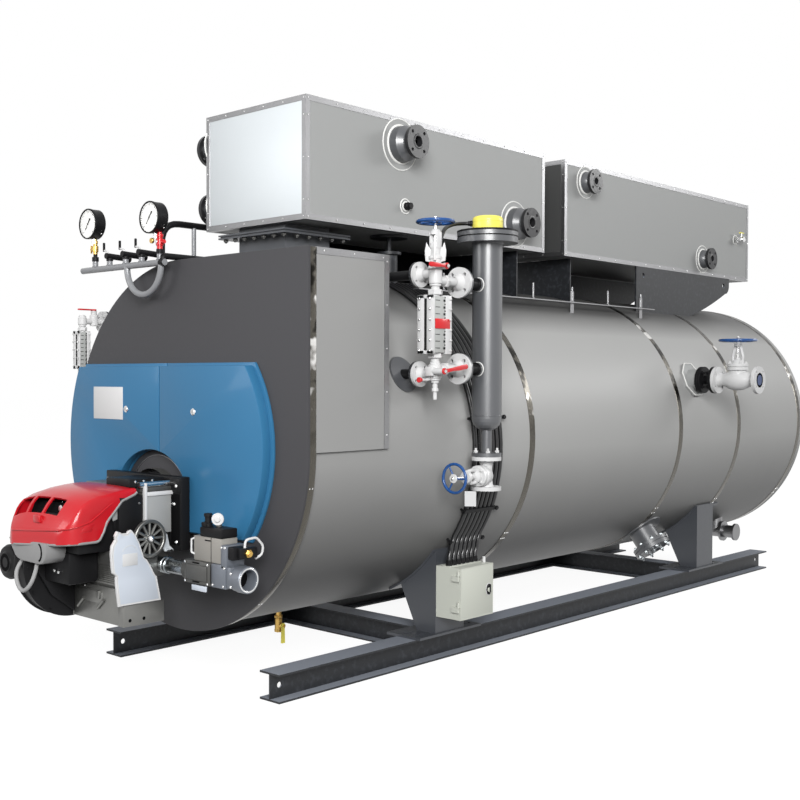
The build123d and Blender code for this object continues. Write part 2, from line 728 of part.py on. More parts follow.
# Round pedestal under the rear half of the first economizer
def pedestal():
    foot_z = drum_z(PEDESTAL_X + PEDESTAL_DISC_R)
    origin = (PEDESTAL_X, PEDESTAL_Y, foot_z)
    disc_h = PEDESTAL_DISC_Z - foot_z
    steps = ((PEDESTAL_DISC_R * 0.7, disc_h), (PEDESTAL_DISC_R, PEDESTAL_DISC_T),
             (PEDESTAL_STEM_R, ECO_BOTTOM_Z - PEDESTAL_DISC_Z - 2 * PEDESTAL_DISC_T),
             (PEDESTAL_PAD_R, PEDESTAL_DISC_T))
    return stack(origin, (0, 0, 1), *steps) - drum_core()


# Gusset plates flush with the second economizer's sides, curved down to the drum, and two arch plates
def gusset():
    inner = ECO_HALF_W - GUSSET_T
    low = eco_base - GUSSET_DROP
    drum_top = drum_z(ECO_HALF_W)
    curve = Spline((GUSSET_END_Y - GUSSET_CORNER_R, low), (GUSSET_MEET_Y + 240, drum_top + 65),
                   (GUSSET_MEET_Y, drum_top - 6))
    edge = Polyline((GUSSET_MEET_Y, drum_top - 6), (GUSSET_START_Y, drum_top - 6), (GUSSET_START_Y, eco_base),
                    (GUSSET_END_Y, eco_base), (GUSSET_END_Y, low + GUSSET_CORNER_R))
    corner_arc = RadiusArc(edge @ 1, curve @ 0, GUSSET_CORNER_R)
    plate = side_slab(make_face(curve + edge + corner_arc), (inner, ECO_HALF_W)) - drum_core()
    for y in (GUSSET_START_Y + GUSSET_HOLE_INSET[0], GUSSET_END_Y - GUSSET_HOLE_INSET[1]):
        z = eco_base - GUSSET_HOLE_DROP
        plate -= rod((inner - GUSSET_T, y, z), (ECO_HALF_W + GUSSET_T, y, z), GUSSET_HOLE_R)
    return clear_of_bands(plate)


def arch_plate(y):
    face = outline((-ARCH_HALF_W, eco_base), (-ARCH_HALF_W, DRUM_AXIS_Z), (ARCH_HALF_W, DRUM_AXIS_Z),
                   (ARCH_HALF_W, eco_base))
    return slab(face, (y, y + ARCH_PLATE_T)) - drum_core()


right_gusset = gusset()
add("economizer_brackets", right_gusset, mirrored(right_gusset), *[arch_plate(y) for y in ARCH_PLATE_PLACES],
    pedestal())


# Flanged nozzles on the economizers' +X side: a thin ring plate, a cone and a bolted flange
def nozzle_1(y, z):
    neck = NOZZLE_REACH_1 - DN50_FLANGE_T
    profile = [(DN50_BORE_R, 0), (NOZZLE_PLATE_R_1, 0), (NOZZLE_PLATE_R_1, NOZZLE_PLATE_T),
               (NOZZLE_CONE_R, NOZZLE_PLATE_T), (NOZZLE_NECK_R, neck), (DN50_FLANGE_R, neck),
               (DN50_FLANGE_R, NOZZLE_REACH_1), (DN50_BORE_R, NOZZLE_REACH_1)]
    solid = turned(profile, (ECO_HALF_W, y, z), (1, 0, 0))
    face = (ECO_HALF_W + NOZZLE_REACH_1, y, z)
    return solid - holes(face, (1, 0, 0), DN50_PCD_R, 4, DN50_HOLE_R, DN50_FLANGE_T)


def nozzle_2(y, z):
    neck = NOZZLE_REACH_2 - DN40_FLANGE_T
    profile = [(DN40_BORE_R, 0), (NOZZLE_PLATE_R_2, 0), (NOZZLE_PLATE_R_2, NOZZLE_PLATE_T),
               (DN40_PIPE_R, NOZZLE_PLATE_T), (DN40_PIPE_R, neck), (DN40_FLANGE_R, neck),
               (DN40_FLANGE_R, NOZZLE_REACH_2), (DN40_BORE_R, NOZZLE_REACH_2)]
    solid = turned(profile, (ECO_HALF_W, y, z), (1, 0, 0))
    face = (ECO_HALF_W + NOZZLE_REACH_2, y, z)
    return solid - holes(face, (1, 0, 0), DN40_PCD_R, 4, DN40_HOLE_R, DN40_FLANGE_T)


def plug():
    y, z = PLUG_PLACE
    steps = ((PLUG_R * 1.75, NOZZLE_PLATE_T), (PLUG_R, PLUG_L * 0.6), (PLUG_R * 1.15, PLUG_L * 0.4))
    return stack((ECO_HALF_W, y, z), (1, 0, 0), *steps)


def drain_tee():
    y, z = TEE_PLACE
    steps = ((TEE_R * 1.3, TEE_L * 0.35), (TEE_R * 0.8, TEE_L * 0.15), (TEE_R, TEE_L * 0.5))
    tee = stack((ECO_HALF_W, y, z), (1, 0, 0), *steps)
    centre_x = ECO_HALF_W + TEE_L * 0.75
    return tee + rod((centre_x, y, z - TEE_R * 1.5), (centre_x, y, z + TEE_R * 1.5), TEE_R * 0.8)


right_nozzles = [nozzle_1(y, z) - eco_trims[0] for y, z in NOZZLES_1]
left_nozzles = [mirrored(nozzle_1(y, z) - eco_trims[0]) for y, z in NOZZLES_1_LEFT]
add("economizer_1_nozzles", *right_nozzles, *left_nozzles, plug())
add("economizer_2_nozzles", *[nozzle_2(y, z) - eco_trims[1] for y, z in NOZZLES_2], drain_tee())


# Level column: dished bottom, top flange pair with a gasket line, two flanged branches and a drain flange
def level_column():
    height = COLUMN_TOP_Z - COLUMN_BOTTOM_Z
    gasket_r = COLUMN_FLANGE_R - COLUMN_GASKET_INSET
    lower = height + COLUMN_FLANGE_T
    upper = lower + COLUMN_GASKET_T
    top = upper + COLUMN_FLANGE_T
    dish = [(COLUMN_R * sin(turn * pi / 12), -COLUMN_DOME_H * cos(turn * pi / 12)) for turn in range(6)]
    profile = dish + [(COLUMN_R, 0), (COLUMN_R, height), (COLUMN_FLANGE_R, height), (COLUMN_FLANGE_R, lower),
                      (gasket_r, lower), (gasket_r, upper), (COLUMN_FLANGE_R, upper), (COLUMN_FLANGE_R, top),
                      (0, top)]
    column = turned(profile, (COLUMN_X, COLUMN_Y, COLUMN_BOTTOM_Z), (0, 0, 1))
    face_y = GAUGE_FLANGE_FACE_Y
    for z in (BRANCH_LOW_Z, BRANCH_HIGH_Z):
        column += rod((COLUMN_X, COLUMN_Y, z), (COLUMN_X, face_y, z), BRANCH_R)
        column += rod((COLUMN_X, face_y + GAUGE_FLANGE_T, z), (COLUMN_X, face_y, z), GAUGE_FLANGE_R)
        collar_y = COLUMN_Y - COLUMN_R - BRANCH_COLLAR_L
        column += rod((COLUMN_X, COLUMN_Y, z), (COLUMN_X, collar_y, z), BRANCH_COLLAR_R)
    dish_low = COLUMN_BOTTOM_Z - COLUMN_DOME_H
    drain_top = DRAIN_FLANGE_Z + BLOWDOWN_FLANGE_T
    drain = (COLUMN_X, COLUMN_Y, DRAIN_FLANGE_Z)
    column += rod((COLUMN_X, COLUMN_Y, dish_low + DRAIN_PIPE_R / 2), drain, DRAIN_PIPE_R)
    column += rod((COLUMN_X, COLUMN_Y, drain_top), drain, GAUGE_FLANGE_R)
    return column


add("level_column", level_column())
cap_z = COLUMN_TOP_Z + 2 * COLUMN_FLANGE_T + COLUMN_GASKET_T
cap_profile = [(0, 0), (CAP_R, 0), (CAP_R, CAP_H * 0.85), (CAP_R * 0.94, CAP_H), (0, CAP_H)]
add("probe_cap", turned(cap_profile, (COLUMN_X, COLUMN_Y, cap_z), (0, 0, 1)))


# Flanged side pipes from the drum to the level gauge, with a ring collar on the jacket
def side_pipe(z):
    start_x = drum_x(z) - SIDE_COLLAR_R
    face = (SIDE_FLANGE_FACE_X, GAUGE_Y, z)
    pipe = rod((start_x, GAUGE_Y, z), face, SIDE_PIPE_R)
    pipe += rod((SIDE_FLANGE_FACE_X - SIDE_FLANGE_T, GAUGE_Y, z), face, SIDE_FLANGE_R)
    ring = rod((start_x, GAUGE_Y, z), face, SIDE_COLLAR_R)
    pipe += ring & (drum_core(DRUM_R + SIDE_COLLAR_T) - drum_core())
    return pipe - drum_core()


add("level_connections_right", side_pipe(SIDE_HIGH_Z), side_pipe(SIDE_LOW_Z))


def gauge_body(x_range, y_range, z_range):
    """Body of a level gauge: a slotted front frame, an inset scale block and a rear strip."""
    x0, x1 = x_range
    y0, y1 = y_range
    z0, z1 = z_range
    frame_y = y0 + (y1 - y0) * GAUGE_FRAME_SHARE
    strip_y = y1 - (y1 - y0) * GAUGE_STRIP_SHARE
    middle = (x0 + x1) / 2
    body = block(x_range, (y0, frame_y), z_range)
    slot_z = (z0 + GAUGE_SLOT_MARGIN, z1 - GAUGE_SLOT_MARGIN)
    body -= block((middle - GAUGE_SLOT_W / 2, middle + GAUGE_SLOT_W / 2), (y0, y0 + GAUGE_SLOT_DEPTH), slot_z)
    inset = GAUGE_SCALE_INSET
    body += block((x0 + inset, x1 - inset), (frame_y, strip_y), (z0 + inset, z1 - inset))
    return body + block(x_range, (strip_y, y1), z_range)


# Level gauge: the body, cock bodies, flanges, bonnet, lever bosses and drain tip
def level_gauge():
    z0, z1 = GAUGE_BODY_Z
    body = gauge_body(GAUGE_BODY_X, GAUGE_BODY_Y, GAUGE_BODY_Z)
    column = (GAUGE_X, GAUGE_Y)
    low_hub = (SIDE_LOW_Z + BRANCH_LOW_Z) / 2
    high_hub = (SIDE_HIGH_Z + BRANCH_HIGH_Z) / 2
    for z_start, z_end in ((low_hub, z0), (z1, high_hub)):
        body += rod((*column, z_start), (*column, z_end), GAUGE_TUBE_R)
    for z_start, z_end in ((z0 - 24, z0), (z1, z1 + 24)):
        body += rod((*column, z_start), (*column, z_end), GAUGE_NUT_R)
    for side_z, branch_z in ((SIDE_LOW_Z, BRANCH_LOW_Z), (SIDE_HIGH_Z, BRANCH_HIGH_Z)):
        side_face = (SIDE_FLANGE_FACE_X, GAUGE_Y, side_z)
        body += rod((*column, side_z), side_face, GAUGE_TUBE_R)
        body += rod((SIDE_FLANGE_FACE_X + SIDE_FLANGE_T, GAUGE_Y, side_z), side_face, SIDE_FLANGE_R)
        branch_face = (COLUMN_X, GAUGE_FLANGE_FACE_Y, branch_z)
        body += rod((COLUMN_X, GAUGE_Y, branch_z), branch_face, GAUGE_TUBE_R)
        body += rod((COLUMN_X, GAUGE_FLANGE_FACE_Y - GAUGE_FLANGE_T, branch_z), branch_face, GAUGE_FLANGE_R)
        middle = (side_z + branch_z) / 2
        body += rod((*column, middle - GAUGE_HUB_R * 1.4), (*column, middle + GAUGE_HUB_R * 1.4), GAUGE_HUB_R)
    body += rod((*column, high_hub), (*column, GAUGE_BONNET_TOP_Z), GAUGE_BONNET_R)
    body += rod((*column, high_hub), (*column, GAUGE_WHEEL_Z + GAUGE_STEM_R * 2), GAUGE_STEM_R)
    body += rod((*column, low_hub), (*column, GAUGE_DRAIN_TIP_Z), GAUGE_DRAIN_R)
    for x, y, z in (LEVER_UPPER_PIVOT, LEVER_LOWER_PIVOT):
        boss_x = x - LEVER_T / 2 - LEVER_GAP
        body += rod((GAUGE_X, y, z), (boss_x, y, z), LEVER_HUB_R)
        body += rod((GAUGE_X, y, z), (x + LEVER_T / 2 + LEVER_GAP, y, z), LEVER_PIN_R)
    lower_y, lower_z = LEVER_LOWER_PIVOT[1:]
    elbow_y = (lower_y - LEVER_HUB_R, GAUGE_Y)
    elbow_z = (lower_z - LEVER_HUB_R, lower_z + LEVER_HUB_R)
    body += block((GAUGE_X - GAUGE_TUBE_R, GAUGE_X + GAUGE_TUBE_R), elbow_y, elbow_z)
    return body


add("level_gauge_right", level_gauge())
gauge_wheel_at = (GAUGE_X, GAUGE_Y, GAUGE_WHEEL_Z)
add("gauge_wheel", handwheel(gauge_wheel_at, (0, 0, 1), GAUGE_WHEEL_R, GAUGE_RIM_R, 5, GAUGE_STEM_R))


def lever(length):
    """A flat tapered handle along +X with a round hub bored for its pin, drawn flat on XY."""
    root = LEVER_HUB_R * 0.6
    grip = outline((0, -root), (length, -LEVER_W / 2), (length, LEVER_W / 2), (0, root))
    solid = extrude(grip, LEVER_T / 2, both=True) + Cylinder(LEVER_HUB_R, LEVER_T)
    return solid - Cylinder(LEVER_PIN_R + FIT, LEVER_T * 3)


upper_plane = Plane(origin=LEVER_UPPER_PIVOT, x_dir=(0, -1, 0), z_dir=(1, 0, 0))
lower_dir = (0, cos(radians(LEVER_LOWER_TILT)), sin(radians(LEVER_LOWER_TILT)))
lower_plane = Plane(origin=LEVER_LOWER_PIVOT, x_dir=lower_dir, z_dir=(1, 0, 0))
left_plane = Plane(origin=(LEFT_GAUGE_X, LEFT_LEVER_Y, LEFT_LEVER_Z), x_dir=(0, -1, 0), z_dir=(0, 0, 1))
add("gauge_lever_upper", upper_plane * lever(LEVER_UPPER_L))
add("gauge_lever_lower", lower_plane * lever(LEVER_LOWER_L))
add("gauge_lever_left", left_plane * lever(LEFT_LEVER_L))


# Left level gauge: a smaller body on two flanged branches that turn in to the drum
def level_gauge_left():
    x, y = LEFT_GAUGE_X, LEFT_GAUGE_Y
    z0, z1 = LEFT_GAUGE_BODY_Z
    low, high = LEFT_BRANCHES_Z
    solid = gauge_body((x - LEFT_GAUGE_HALF_W, x + LEFT_GAUGE_HALF_W), LEFT_GAUGE_BODY_Y, LEFT_GAUGE_BODY_Z)
    solid += rod((x, y, low - LEFT_TUBE_R * 2), (x, y, z0 + GAUGE_SCALE_INSET), LEFT_TUBE_R)
    solid += rod((x, y, z1 - GAUGE_SCALE_INSET), (x, y, high + LEFT_TUBE_R * 2), LEFT_TUBE_R)
    for z in LEFT_BRANCHES_Z:
        solid += rod((x, y, z), (x, LEFT_PIPE_Y, z), LEFT_TUBE_R)
        solid += rod((x, LEFT_FLANGE_Y, z), (x, LEFT_FLANGE_Y + 2 * GAUGE_FLANGE_T, z), LEFT_FLANGE_R)
        solid += rod((x - LEFT_TUBE_R, LEFT_PIPE_Y, z), (0, LEFT_PIPE_Y, z), LEFT_TUBE_R) - drum_core()
    stem_z = LEFT_LEVER_Z + LEVER_T / 2 + LEVER_GAP
    cock_z = (high - LEFT_COCK_R, high + LEFT_COCK_R * 1.6)
    solid += rod((x, LEFT_LEVER_Y, cock_z[0]), (x, LEFT_LEVER_Y, cock_z[1]), LEFT_COCK_R)
    return solid + rod((x, LEFT_LEVER_Y, high), (x, LEFT_LEVER_Y, stem_z), LEVER_PIN_R)


add("level_gauge_left", level_gauge_left())


# Blowdown valve: an angle globe valve with its wheel towards the front
def blowdown_valve():
    x, y, z = COLUMN_X, COLUMN_Y, BLOWDOWN_Z
    height = DRAIN_FLANGE_Z - BLOWDOWN_BOTTOM_Z
    body_h = height - 2 * BLOWDOWN_FLANGE_T
    steps = ((GAUGE_FLANGE_R, BLOWDOWN_FLANGE_T), (BLOWDOWN_BODY_R * 0.8, body_h * 0.2),
             (BLOWDOWN_BODY_R, body_h * 0.6), (BLOWDOWN_BODY_R * 0.8, body_h * 0.2),
             (GAUGE_FLANGE_R, BLOWDOWN_FLANGE_T))
    valve = stack((x, y, BLOWDOWN_BOTTOM_Z), (0, 0, 1), *steps)
    valve += rod((x, y, z), (x, BLOWDOWN_BONNET_Y - 12, z), BLOWDOWN_YOKE_R * 1.15)
    valve += rod((x, BLOWDOWN_BONNET_Y - 24, z), (x, BLOWDOWN_BONNET_Y + 12, z), BLOWDOWN_BONNET_R)
    yoke = rod((x, BLOWDOWN_BONNET_Y, z), (x, BLOWDOWN_YOKE_Y, z), BLOWDOWN_YOKE_R)
    gap = (BLOWDOWN_YOKE_Y + 14, BLOWDOWN_BONNET_Y - 36)
    yoke -= block((x - BLOWDOWN_YOKE_R * 0.55, x + BLOWDOWN_YOKE_R * 0.55), gap,
                  (z - BLOWDOWN_YOKE_R, z + BLOWDOWN_YOKE_R))
    valve += yoke
    valve += rod((x, y, z), (x, BLOWDOWN_WHEEL_Y - 12, z), BLOWDOWN_STEM_R)
    bottom = (x, y, BLOWDOWN_BOTTOM_Z)
    valve -= rod(bottom, (x, y, BLOWDOWN_BOTTOM_Z + BLOWDOWN_FLANGE_T * 2), BRANCH_R)
    return valve - holes(bottom, (0, 0, 1), BLOWDOWN_PCD_R, 4, DN40_HOLE_R, BLOWDOWN_FLANGE_T / 2)


add("blowdown_valve", blowdown_valve())
blowdown_wheel_at = (COLUMN_X, BLOWDOWN_WHEEL_Y, BLOWDOWN_Z)
add("blowdown_wheel",
    handwheel(blowdown_wheel_at, (0, -1, 0), BLOWDOWN_WHEEL_R, BLOWDOWN_RIM_R, 3, BLOWDOWN_STEM_R))


# Feed water nozzle: an eight-sided collar on the jacket and a pair of flanges
def feed_nozzle():
    start = (drum_x(FEED_Z) - FEED_COLLAR_R, FEED_Y, FEED_Z)
    solid = rod(start, (FEED_VALVE_START_X, FEED_Y, FEED_Z), DN50_PIPE_R)
    solid += rod((FEED_PAIR_X - DN50_FLANGE_T, FEED_Y, FEED_Z), (FEED_PAIR_X, FEED_Y, FEED_Z), DN50_FLANGE_R)
    solid += rod((FEED_VALVE_START_X - DN50_FLANGE_T, FEED_Y, FEED_Z), (FEED_VALVE_START_X, FEED_Y, FEED_Z),
                 DN50_FLANGE_R)
    collar = extrude(RegularPolygon(FEED_COLLAR_R, 8, major_radius=False), FEED_COLLAR_X - start[0])
    solid += Plane(origin=start, z_dir=(1, 0, 0)) * Rot(0, 0, 22.5) * collar
    return solid - drum_core()


# Feed valve: a straight globe valve with its wheel on top
def feed_valve():
    end_x = FEED_VALVE_START_X + FEED_VALVE_LENGTH
    mid_x = (FEED_VALVE_START_X + end_x) / 2
    half = FEED_VALVE_LENGTH / 2
    belly = [(0, 0), (DN50_FLANGE_R, 0), (DN50_FLANGE_R, DN50_FLANGE_T), (FEED_BODY_R, DN50_FLANGE_T * 1.4),
             (FEED_BODY_R, half * 0.5), (FEED_BELLY_R, half * 0.8), (FEED_BELLY_R, half * 1.2),
             (FEED_BODY_R, half * 1.5), (FEED_BODY_R, 2 * half - DN50_FLANGE_T * 1.4),
             (DN50_FLANGE_R, 2 * half - DN50_FLANGE_T), (DN50_FLANGE_R, 2 * half), (0, 2 * half)]
    valve = turned(belly, (FEED_VALVE_START_X, FEED_Y, FEED_Z), (1, 0, 0))
    flange_top = FEED_BONNET_Z + FEED_BONNET_FLANGE_T
    yoke_h = FEED_YOKE_TOP_Z - flange_top
    steps = ((FEED_NECK_R, FEED_BONNET_Z - FEED_Z), (FEED_BONNET_FLANGE_R, FEED_BONNET_FLANGE_T),
             (FEED_YOKE_R, yoke_h))
    valve += stack((mid_x, FEED_Y, FEED_Z), (0, 0, 1), *steps)
    gap = FEED_YOKE_R * 0.55
    valve -= block((mid_x - gap, mid_x + gap), (FEED_Y - FEED_YOKE_R, FEED_Y + FEED_YOKE_R),
                   (flange_top + yoke_h * 0.2, FEED_YOKE_TOP_Z - yoke_h * 0.15))
    valve += rod((mid_x, FEED_Y, FEED_Z), (mid_x, FEED_Y, FEED_WHEEL_Z + 16), FEED_STEM_R)
    valve -= rod((end_x - FEED_BODY_R, FEED_Y, FEED_Z), (end_x, FEED_Y, FEED_Z), DN50_BORE_R)
    return valve - holes((end_x, FEED_Y, FEED_Z), (1, 0, 0), DN50_PCD_R, 4, DN50_HOLE_R, DN50_FLANGE_T / 2)


feed_mid_x = FEED_VALVE_START_X + FEED_VALVE_LENGTH / 2
add("feed_nozzle", feed_nozzle())
add("feed_valve", feed_valve())
feed_wheel_at = (feed_mid_x, FEED_Y, FEED_WHEEL_Z)
add("feed_wheel", handwheel(feed_wheel_at, (0, 0, 1), FEED_WHEEL_R, FEED_RIM_R, 5, FEED_STEM_R))


# Manifold of the pressure gauges: a bar with stubs, a U-shaped siphon and the pipes over the front plate
def gauge_manifold():
    y, z = MANIFOLD_Y, MANIFOLD_Z
    solid = rod((MANIFOLD_START_X, y, z), (MANIFOLD_END_X, y, z), MANIFOLD_R)
    for x, dial_z in DIAL_PLACES:
        solid += rod((x, y, z), (x, y, z + 46), STUB_R)
        solid += rod((x, y, z), (x, y, dial_z - DIAL_R - 24), GAUGE_SOCKET_R * 0.5)
        solid += rod((x, y, z + 74), (x, y, dial_z - DIAL_R - 40), COCK_R)
        solid += rod((x - COCK_R * 2, y, z + 108), (x + COCK_R * 2, y, z + 108), COCK_R * 0.45)
    for x in STUB_PLACES:
        solid += rod((x, y, z), (x, y, STUB_TOP_Z), STUB_R)
        solid += rod((x - STUB_R, y, STUB_TOP_Z - STUB_R), (x + ELBOW_REACH, y, STUB_TOP_Z - STUB_R), STUB_R)
    left, right = SIPHON_PLACES
    bend = (right - left) / 2
    arc_z = SIPHON_BOTTOM_Z + bend
    for x in SIPHON_PLACES:
        solid += rod((x, y, z), (x, y, arc_z), SIPHON_R)
    ring = [(bend + SIPHON_R * cos(turn * 2 * pi / FLATS), SIPHON_R * sin(turn * 2 * pi / FLATS))
            for turn in range(FLATS)]
    elbow = revolve(Plane.XZ * outline(*ring), Axis.Z, 180)
    solid += Plane(origin=((left + right) / 2, y, arc_z), x_dir=(-1, 0, 0), z_dir=(0, -1, 0)) * elbow
    lift = DRUM_AXIS_Z + PLATE_R + MANIFOLD_R - z
    end_x = MANIFOLD_END_X - MANIFOLD_R
    solid += rod((end_x, y, z), (end_x, y, z + lift + MANIFOLD_R), MANIFOLD_R)
    pipe_end_y = DUCT_Y[0] - DUCT_FLANGE_LIP
    solid += rod((end_x, y - MANIFOLD_R, z + lift), (end_x, pipe_end_y + MANIFOLD_R, z + lift), MANIFOLD_R)
    foot = rod((end_x, pipe_end_y, z + lift), (end_x, pipe_end_y, DRUM_AXIS_Z), MANIFOLD_R)
    return solid + (foot - drum_core())


add("gauge_manifold", gauge_manifold())


# Vent pipe beside the first economizer: a long hoop that stands on the drum, with a post
def vent_pipe():
    x, z = VENT_PIPE_X, VENT_PIPE_Z
    y0, y1 = VENT_PIPE_Y
    hoop = bent_bar([(x, y0, DRUM_AXIS_Z), (x, y0, z), (x, y1, z), (x, y1, DRUM_AXIS_Z)], VENT_PIPE_R,
                    VENT_PIPE_BEND)
    return hoop + rod((x, VENT_POST_Y, DRUM_AXIS_Z), (x, VENT_POST_Y, z), VENT_POST_R) - drum_core()


add("vent_pipe", vent_pipe())


# Pressure gauges: a round case with a raised rim, its socket below
def pressure_gauge(x, z):
    front = MANIFOLD_Y - DIAL_DEPTH / 2
    profile = [(0, 4), (DIAL_R - 7, 4), (DIAL_R - 7, 0), (DIAL_R, 0), (DIAL_R, DIAL_DEPTH), (0, DIAL_DEPTH)]
    gauge = turned(profile, (x, front, z), (0, 1, 0))
    foot = z - DIAL_R - 24
    return gauge + rod((x, MANIFOLD_Y, foot), (x, MANIFOLD_Y, z - DIAL_R + 4), GAUGE_SOCKET_R)


for place, (x, z) in zip(("left", "right"), DIAL_PLACES):
    add("pressure_gauge_" + place, pressure_gauge(x, z))

# Smokebox covers either side of the seam, with a stepped rim and the burner cut-out
cut_mid = ((CUTOUT_X[0] + CUTOUT_X[1]) / 2, (CUTOUT_Z[0] + CUTOUT_Z[1]) / 2)
cut_size = ((CUTOUT_X[1] - CUTOUT_X[0]) / 2, (CUTOUT_Z[1] - CUTOUT_Z[0]) / 2)
cutout = Pos(*cut_mid) * Ellipse(*cut_size)


def cover_face(radius, x_range, grow):
    """Part of a disc about the drum axis between two x values and the covers' top and bottom."""
    x0, x1 = x_range
    z0 = COVER_BOTTOM_Z - grow
    z1 = COVER_TOP_Z + grow
    disc = Pos(0, DRUM_AXIS_Z) * Circle(radius)
    return disc & Pos((x0 + x1) / 2, (z0 + z1) / 2) * Rectangle(x1 - x0, z1 - z0)


def cover(radius, lip_radius, x_range, lock):
    body = slab(cover_face(radius, x_range, 0), (-COVER_T, -COVER_LIP_T))
    body += slab(cover_face(lip_radius, x_range, COVER_LIP_T), (-COVER_LIP_T, 0))
    body -= slab(cutout, (-COVER_T * 1.5, COVER_T))
    x, z = lock
    return body + rod((x, -COVER_T, z), (x, -COVER_T - 6, z), LOCK_R)


right_x = (COVER_SEAM_X + COVER_GAP / 2, COVER_LIP_R)
left_x = (-COVER_LEFT_R, COVER_SEAM_X - COVER_GAP / 2)
add("smokebox_cover_right", cover(COVER_R, COVER_LIP_R, right_x, LOCK_PLACES[1]))
left_cover = cover(COVER_LEFT_R - COVER_LIP_T, COVER_LEFT_R, left_x, LOCK_PLACES[0])
left_cover += block(NAME_PLATE_X, (-COVER_T - NAME_PLATE_T, -COVER_T), NAME_PLATE_Z)
add("smokebox_cover_left", left_cover)

cover_x = (AIR_BOX_X[1] + CAM_T + COVER_PLATE_GAP, AIR_BOX_X[1] + CAM_T + COVER_PLATE_GAP + COVER_PLATE_T)

# Burner: mounting disc, rectangular flange, cast housing, hood, air box, fan scroll, motor and side cover
burner = (BURNER_X, BURNER_Z)


def burner_flange():
    x, z = burner
    solid = rod((x, -MOUNT_DISC_T, z), (x, 0, z), MOUNT_DISC_R)
    solid += rod((x, FLANGE_Y[1], z), (x, 0, z), NECK_R)
    return solid + block((x - FLANGE_HALF_W, x + FLANGE_HALF_W), FLANGE_Y, FLANGE_Z)


def burner_scroll(gap=0):
    x0, x1 = SCROLL_X
    return rod((x0 - gap, SCROLL_Y, SCROLL_Z), (x1 + gap, SCROLL_Y, SCROLL_Z), SCROLL_R + gap)


def burner_housing():
    x, z = burner
    solid = block((x - HOUSING_HALF_W, x + HOUSING_HALF_W), HOUSING_Y, HOUSING_Z)
    core_z = (AIR_BOX_Z[1], CORE_TOP_Z)
    solid += block((SCROLL_X[1], CORE_RIGHT_X), (CORE_FRONT_Y, HOUSING_Y[1]), core_z)
    solid += block((x - COWL_HALF_W, x + COWL_HALF_W), (COWL_FRONT_Y, CORE_FRONT_Y), COWL_Z)
    collar_half = HOOD_HALF_W - HOOD_WALL
    collar_y = (HOUSING_Y[0] - COLLAR_DEPTH, HOUSING_Y[0])
    collar_z = (CORE_TOP_Z - COLLAR_DEPTH / 2, COLLAR_TOP_Z)
    solid += block((x - collar_half, x + collar_half), collar_y, collar_z)
    head_x = (GAS_PIPE_START_X - GAS_HEAD_L, GAS_PIPE_START_X)
    solid += block(head_x, (AIR_BOX_Y[1], HOUSING_Y[1]), (GAS_Z - GAS_HEAD_HALF_W, HOUSING_Z[0]))
    cam_x = AIR_BOX_X[1] + CAM_T / 2
    solid += rod((CORE_RIGHT_X, CAM_Y, CAM_Z), (cam_x, CAM_Y, CAM_Z), CAM_SHAFT_R)
    return solid - burner_scroll(FIT)


def cam_disc():
    """Spoked cam disc of the air regulator."""
    rim = Cylinder(CAM_R, CAM_T) - Cylinder(CAM_R * 0.84, CAM_T)
    disc = rim + Cylinder(CAM_R * 0.24, CAM_T) + Cylinder(CAM_R * 0.9, CAM_T * 0.25)
    for turn in range(CAM_SPOKES):
        disc += Rot(0, 0, 360 / CAM_SPOKES * turn) * Pos(CAM_R / 2, 0, 0) * Box(CAM_R * 0.8, 6, CAM_T * 0.7)
    disc -= Cylinder(CAM_SHAFT_R + FIT, CAM_T)
    return Plane(origin=(AIR_BOX_X[1] + CAM_T / 2 + FIT, CAM_Y, CAM_Z), z_dir=(1, 0, 0)) * disc


def hood_side(inset):
    """Side view of the hood in YZ: a smooth crest from the front edge to the rear, and the swept hem."""
    crest = [(y + inset, BURNER_Z + z - inset) for y, z in HOOD_CREST]
    crest[0] = (crest[0][0], BURNER_Z + HOOD_CREST[0][1])
    hem = [(y + inset, BURNER_Z + z - 2 * inset) for y, z in HOOD_HEM]
    top = Spline(*crest)
    return make_face(top + Polyline(crest[-1], *hem, crest[0]))


def hood_plan(inset):
    """Plan of the hood with rounded corners, made tall enough to trim its side view."""
    y0, y1 = HOOD_Y
    half = HOOD_HALF_W - inset
    plan = Pos(BURNER_X, (y0 + y1) / 2 + inset) * RectangleRounded(2 * half, y1 - y0, HOOD_SIDE_R - inset)
    return extrude(Pos(0, 0, BURNER_Z - HOOD_HALF_W) * plan, 2 * HOOD_HALF_W)


def burner_hood():
    x = BURNER_X
    outer = side_slab(hood_side(0), (x - HOOD_HALF_W, x + HOOD_HALF_W)) & hood_plan(0)
    inner_half = HOOD_HALF_W - HOOD_WALL
    inner = side_slab(hood_side(HOOD_WALL), (x - inner_half, x + inner_half)) & hood_plan(HOOD_WALL)
    hood = outer - inner
    for step in (-1, 0, 1):
        mid = x + step * HOOD_OPENING_PITCH
        hood -= block((mid - HOOD_OPENING_W / 2, mid + HOOD_OPENING_W / 2), (HOOD_CREST[0][0], CORE_FRONT_Y),
                      (HOOD_OPENING_Z - HOOD_OPENING_H / 2, HOOD_OPENING_Z + HOOD_OPENING_H / 2))
    return hood


def air_box():
    solid = block(AIR_BOX_X, AIR_BOX_Y, AIR_BOX_Z)
    seam_z = AIR_BOX_Z[0] + (AIR_BOX_Z[1] - AIR_BOX_Z[0]) * 0.5
    solid += block(AIR_BOX_X, (AIR_BOX_Y[0] - 4, AIR_BOX_Y[1]), (seam_z - 6, seam_z + 6))
    ledge_x = (AIR_BOX_X[1], cover_x[1])
    return solid + block(ledge_x, (AIR_BOX_Y[0], AIR_BOX_Y[1]), (AIR_BOX_Z[0], COVER_PLATE_FOOT_Z))


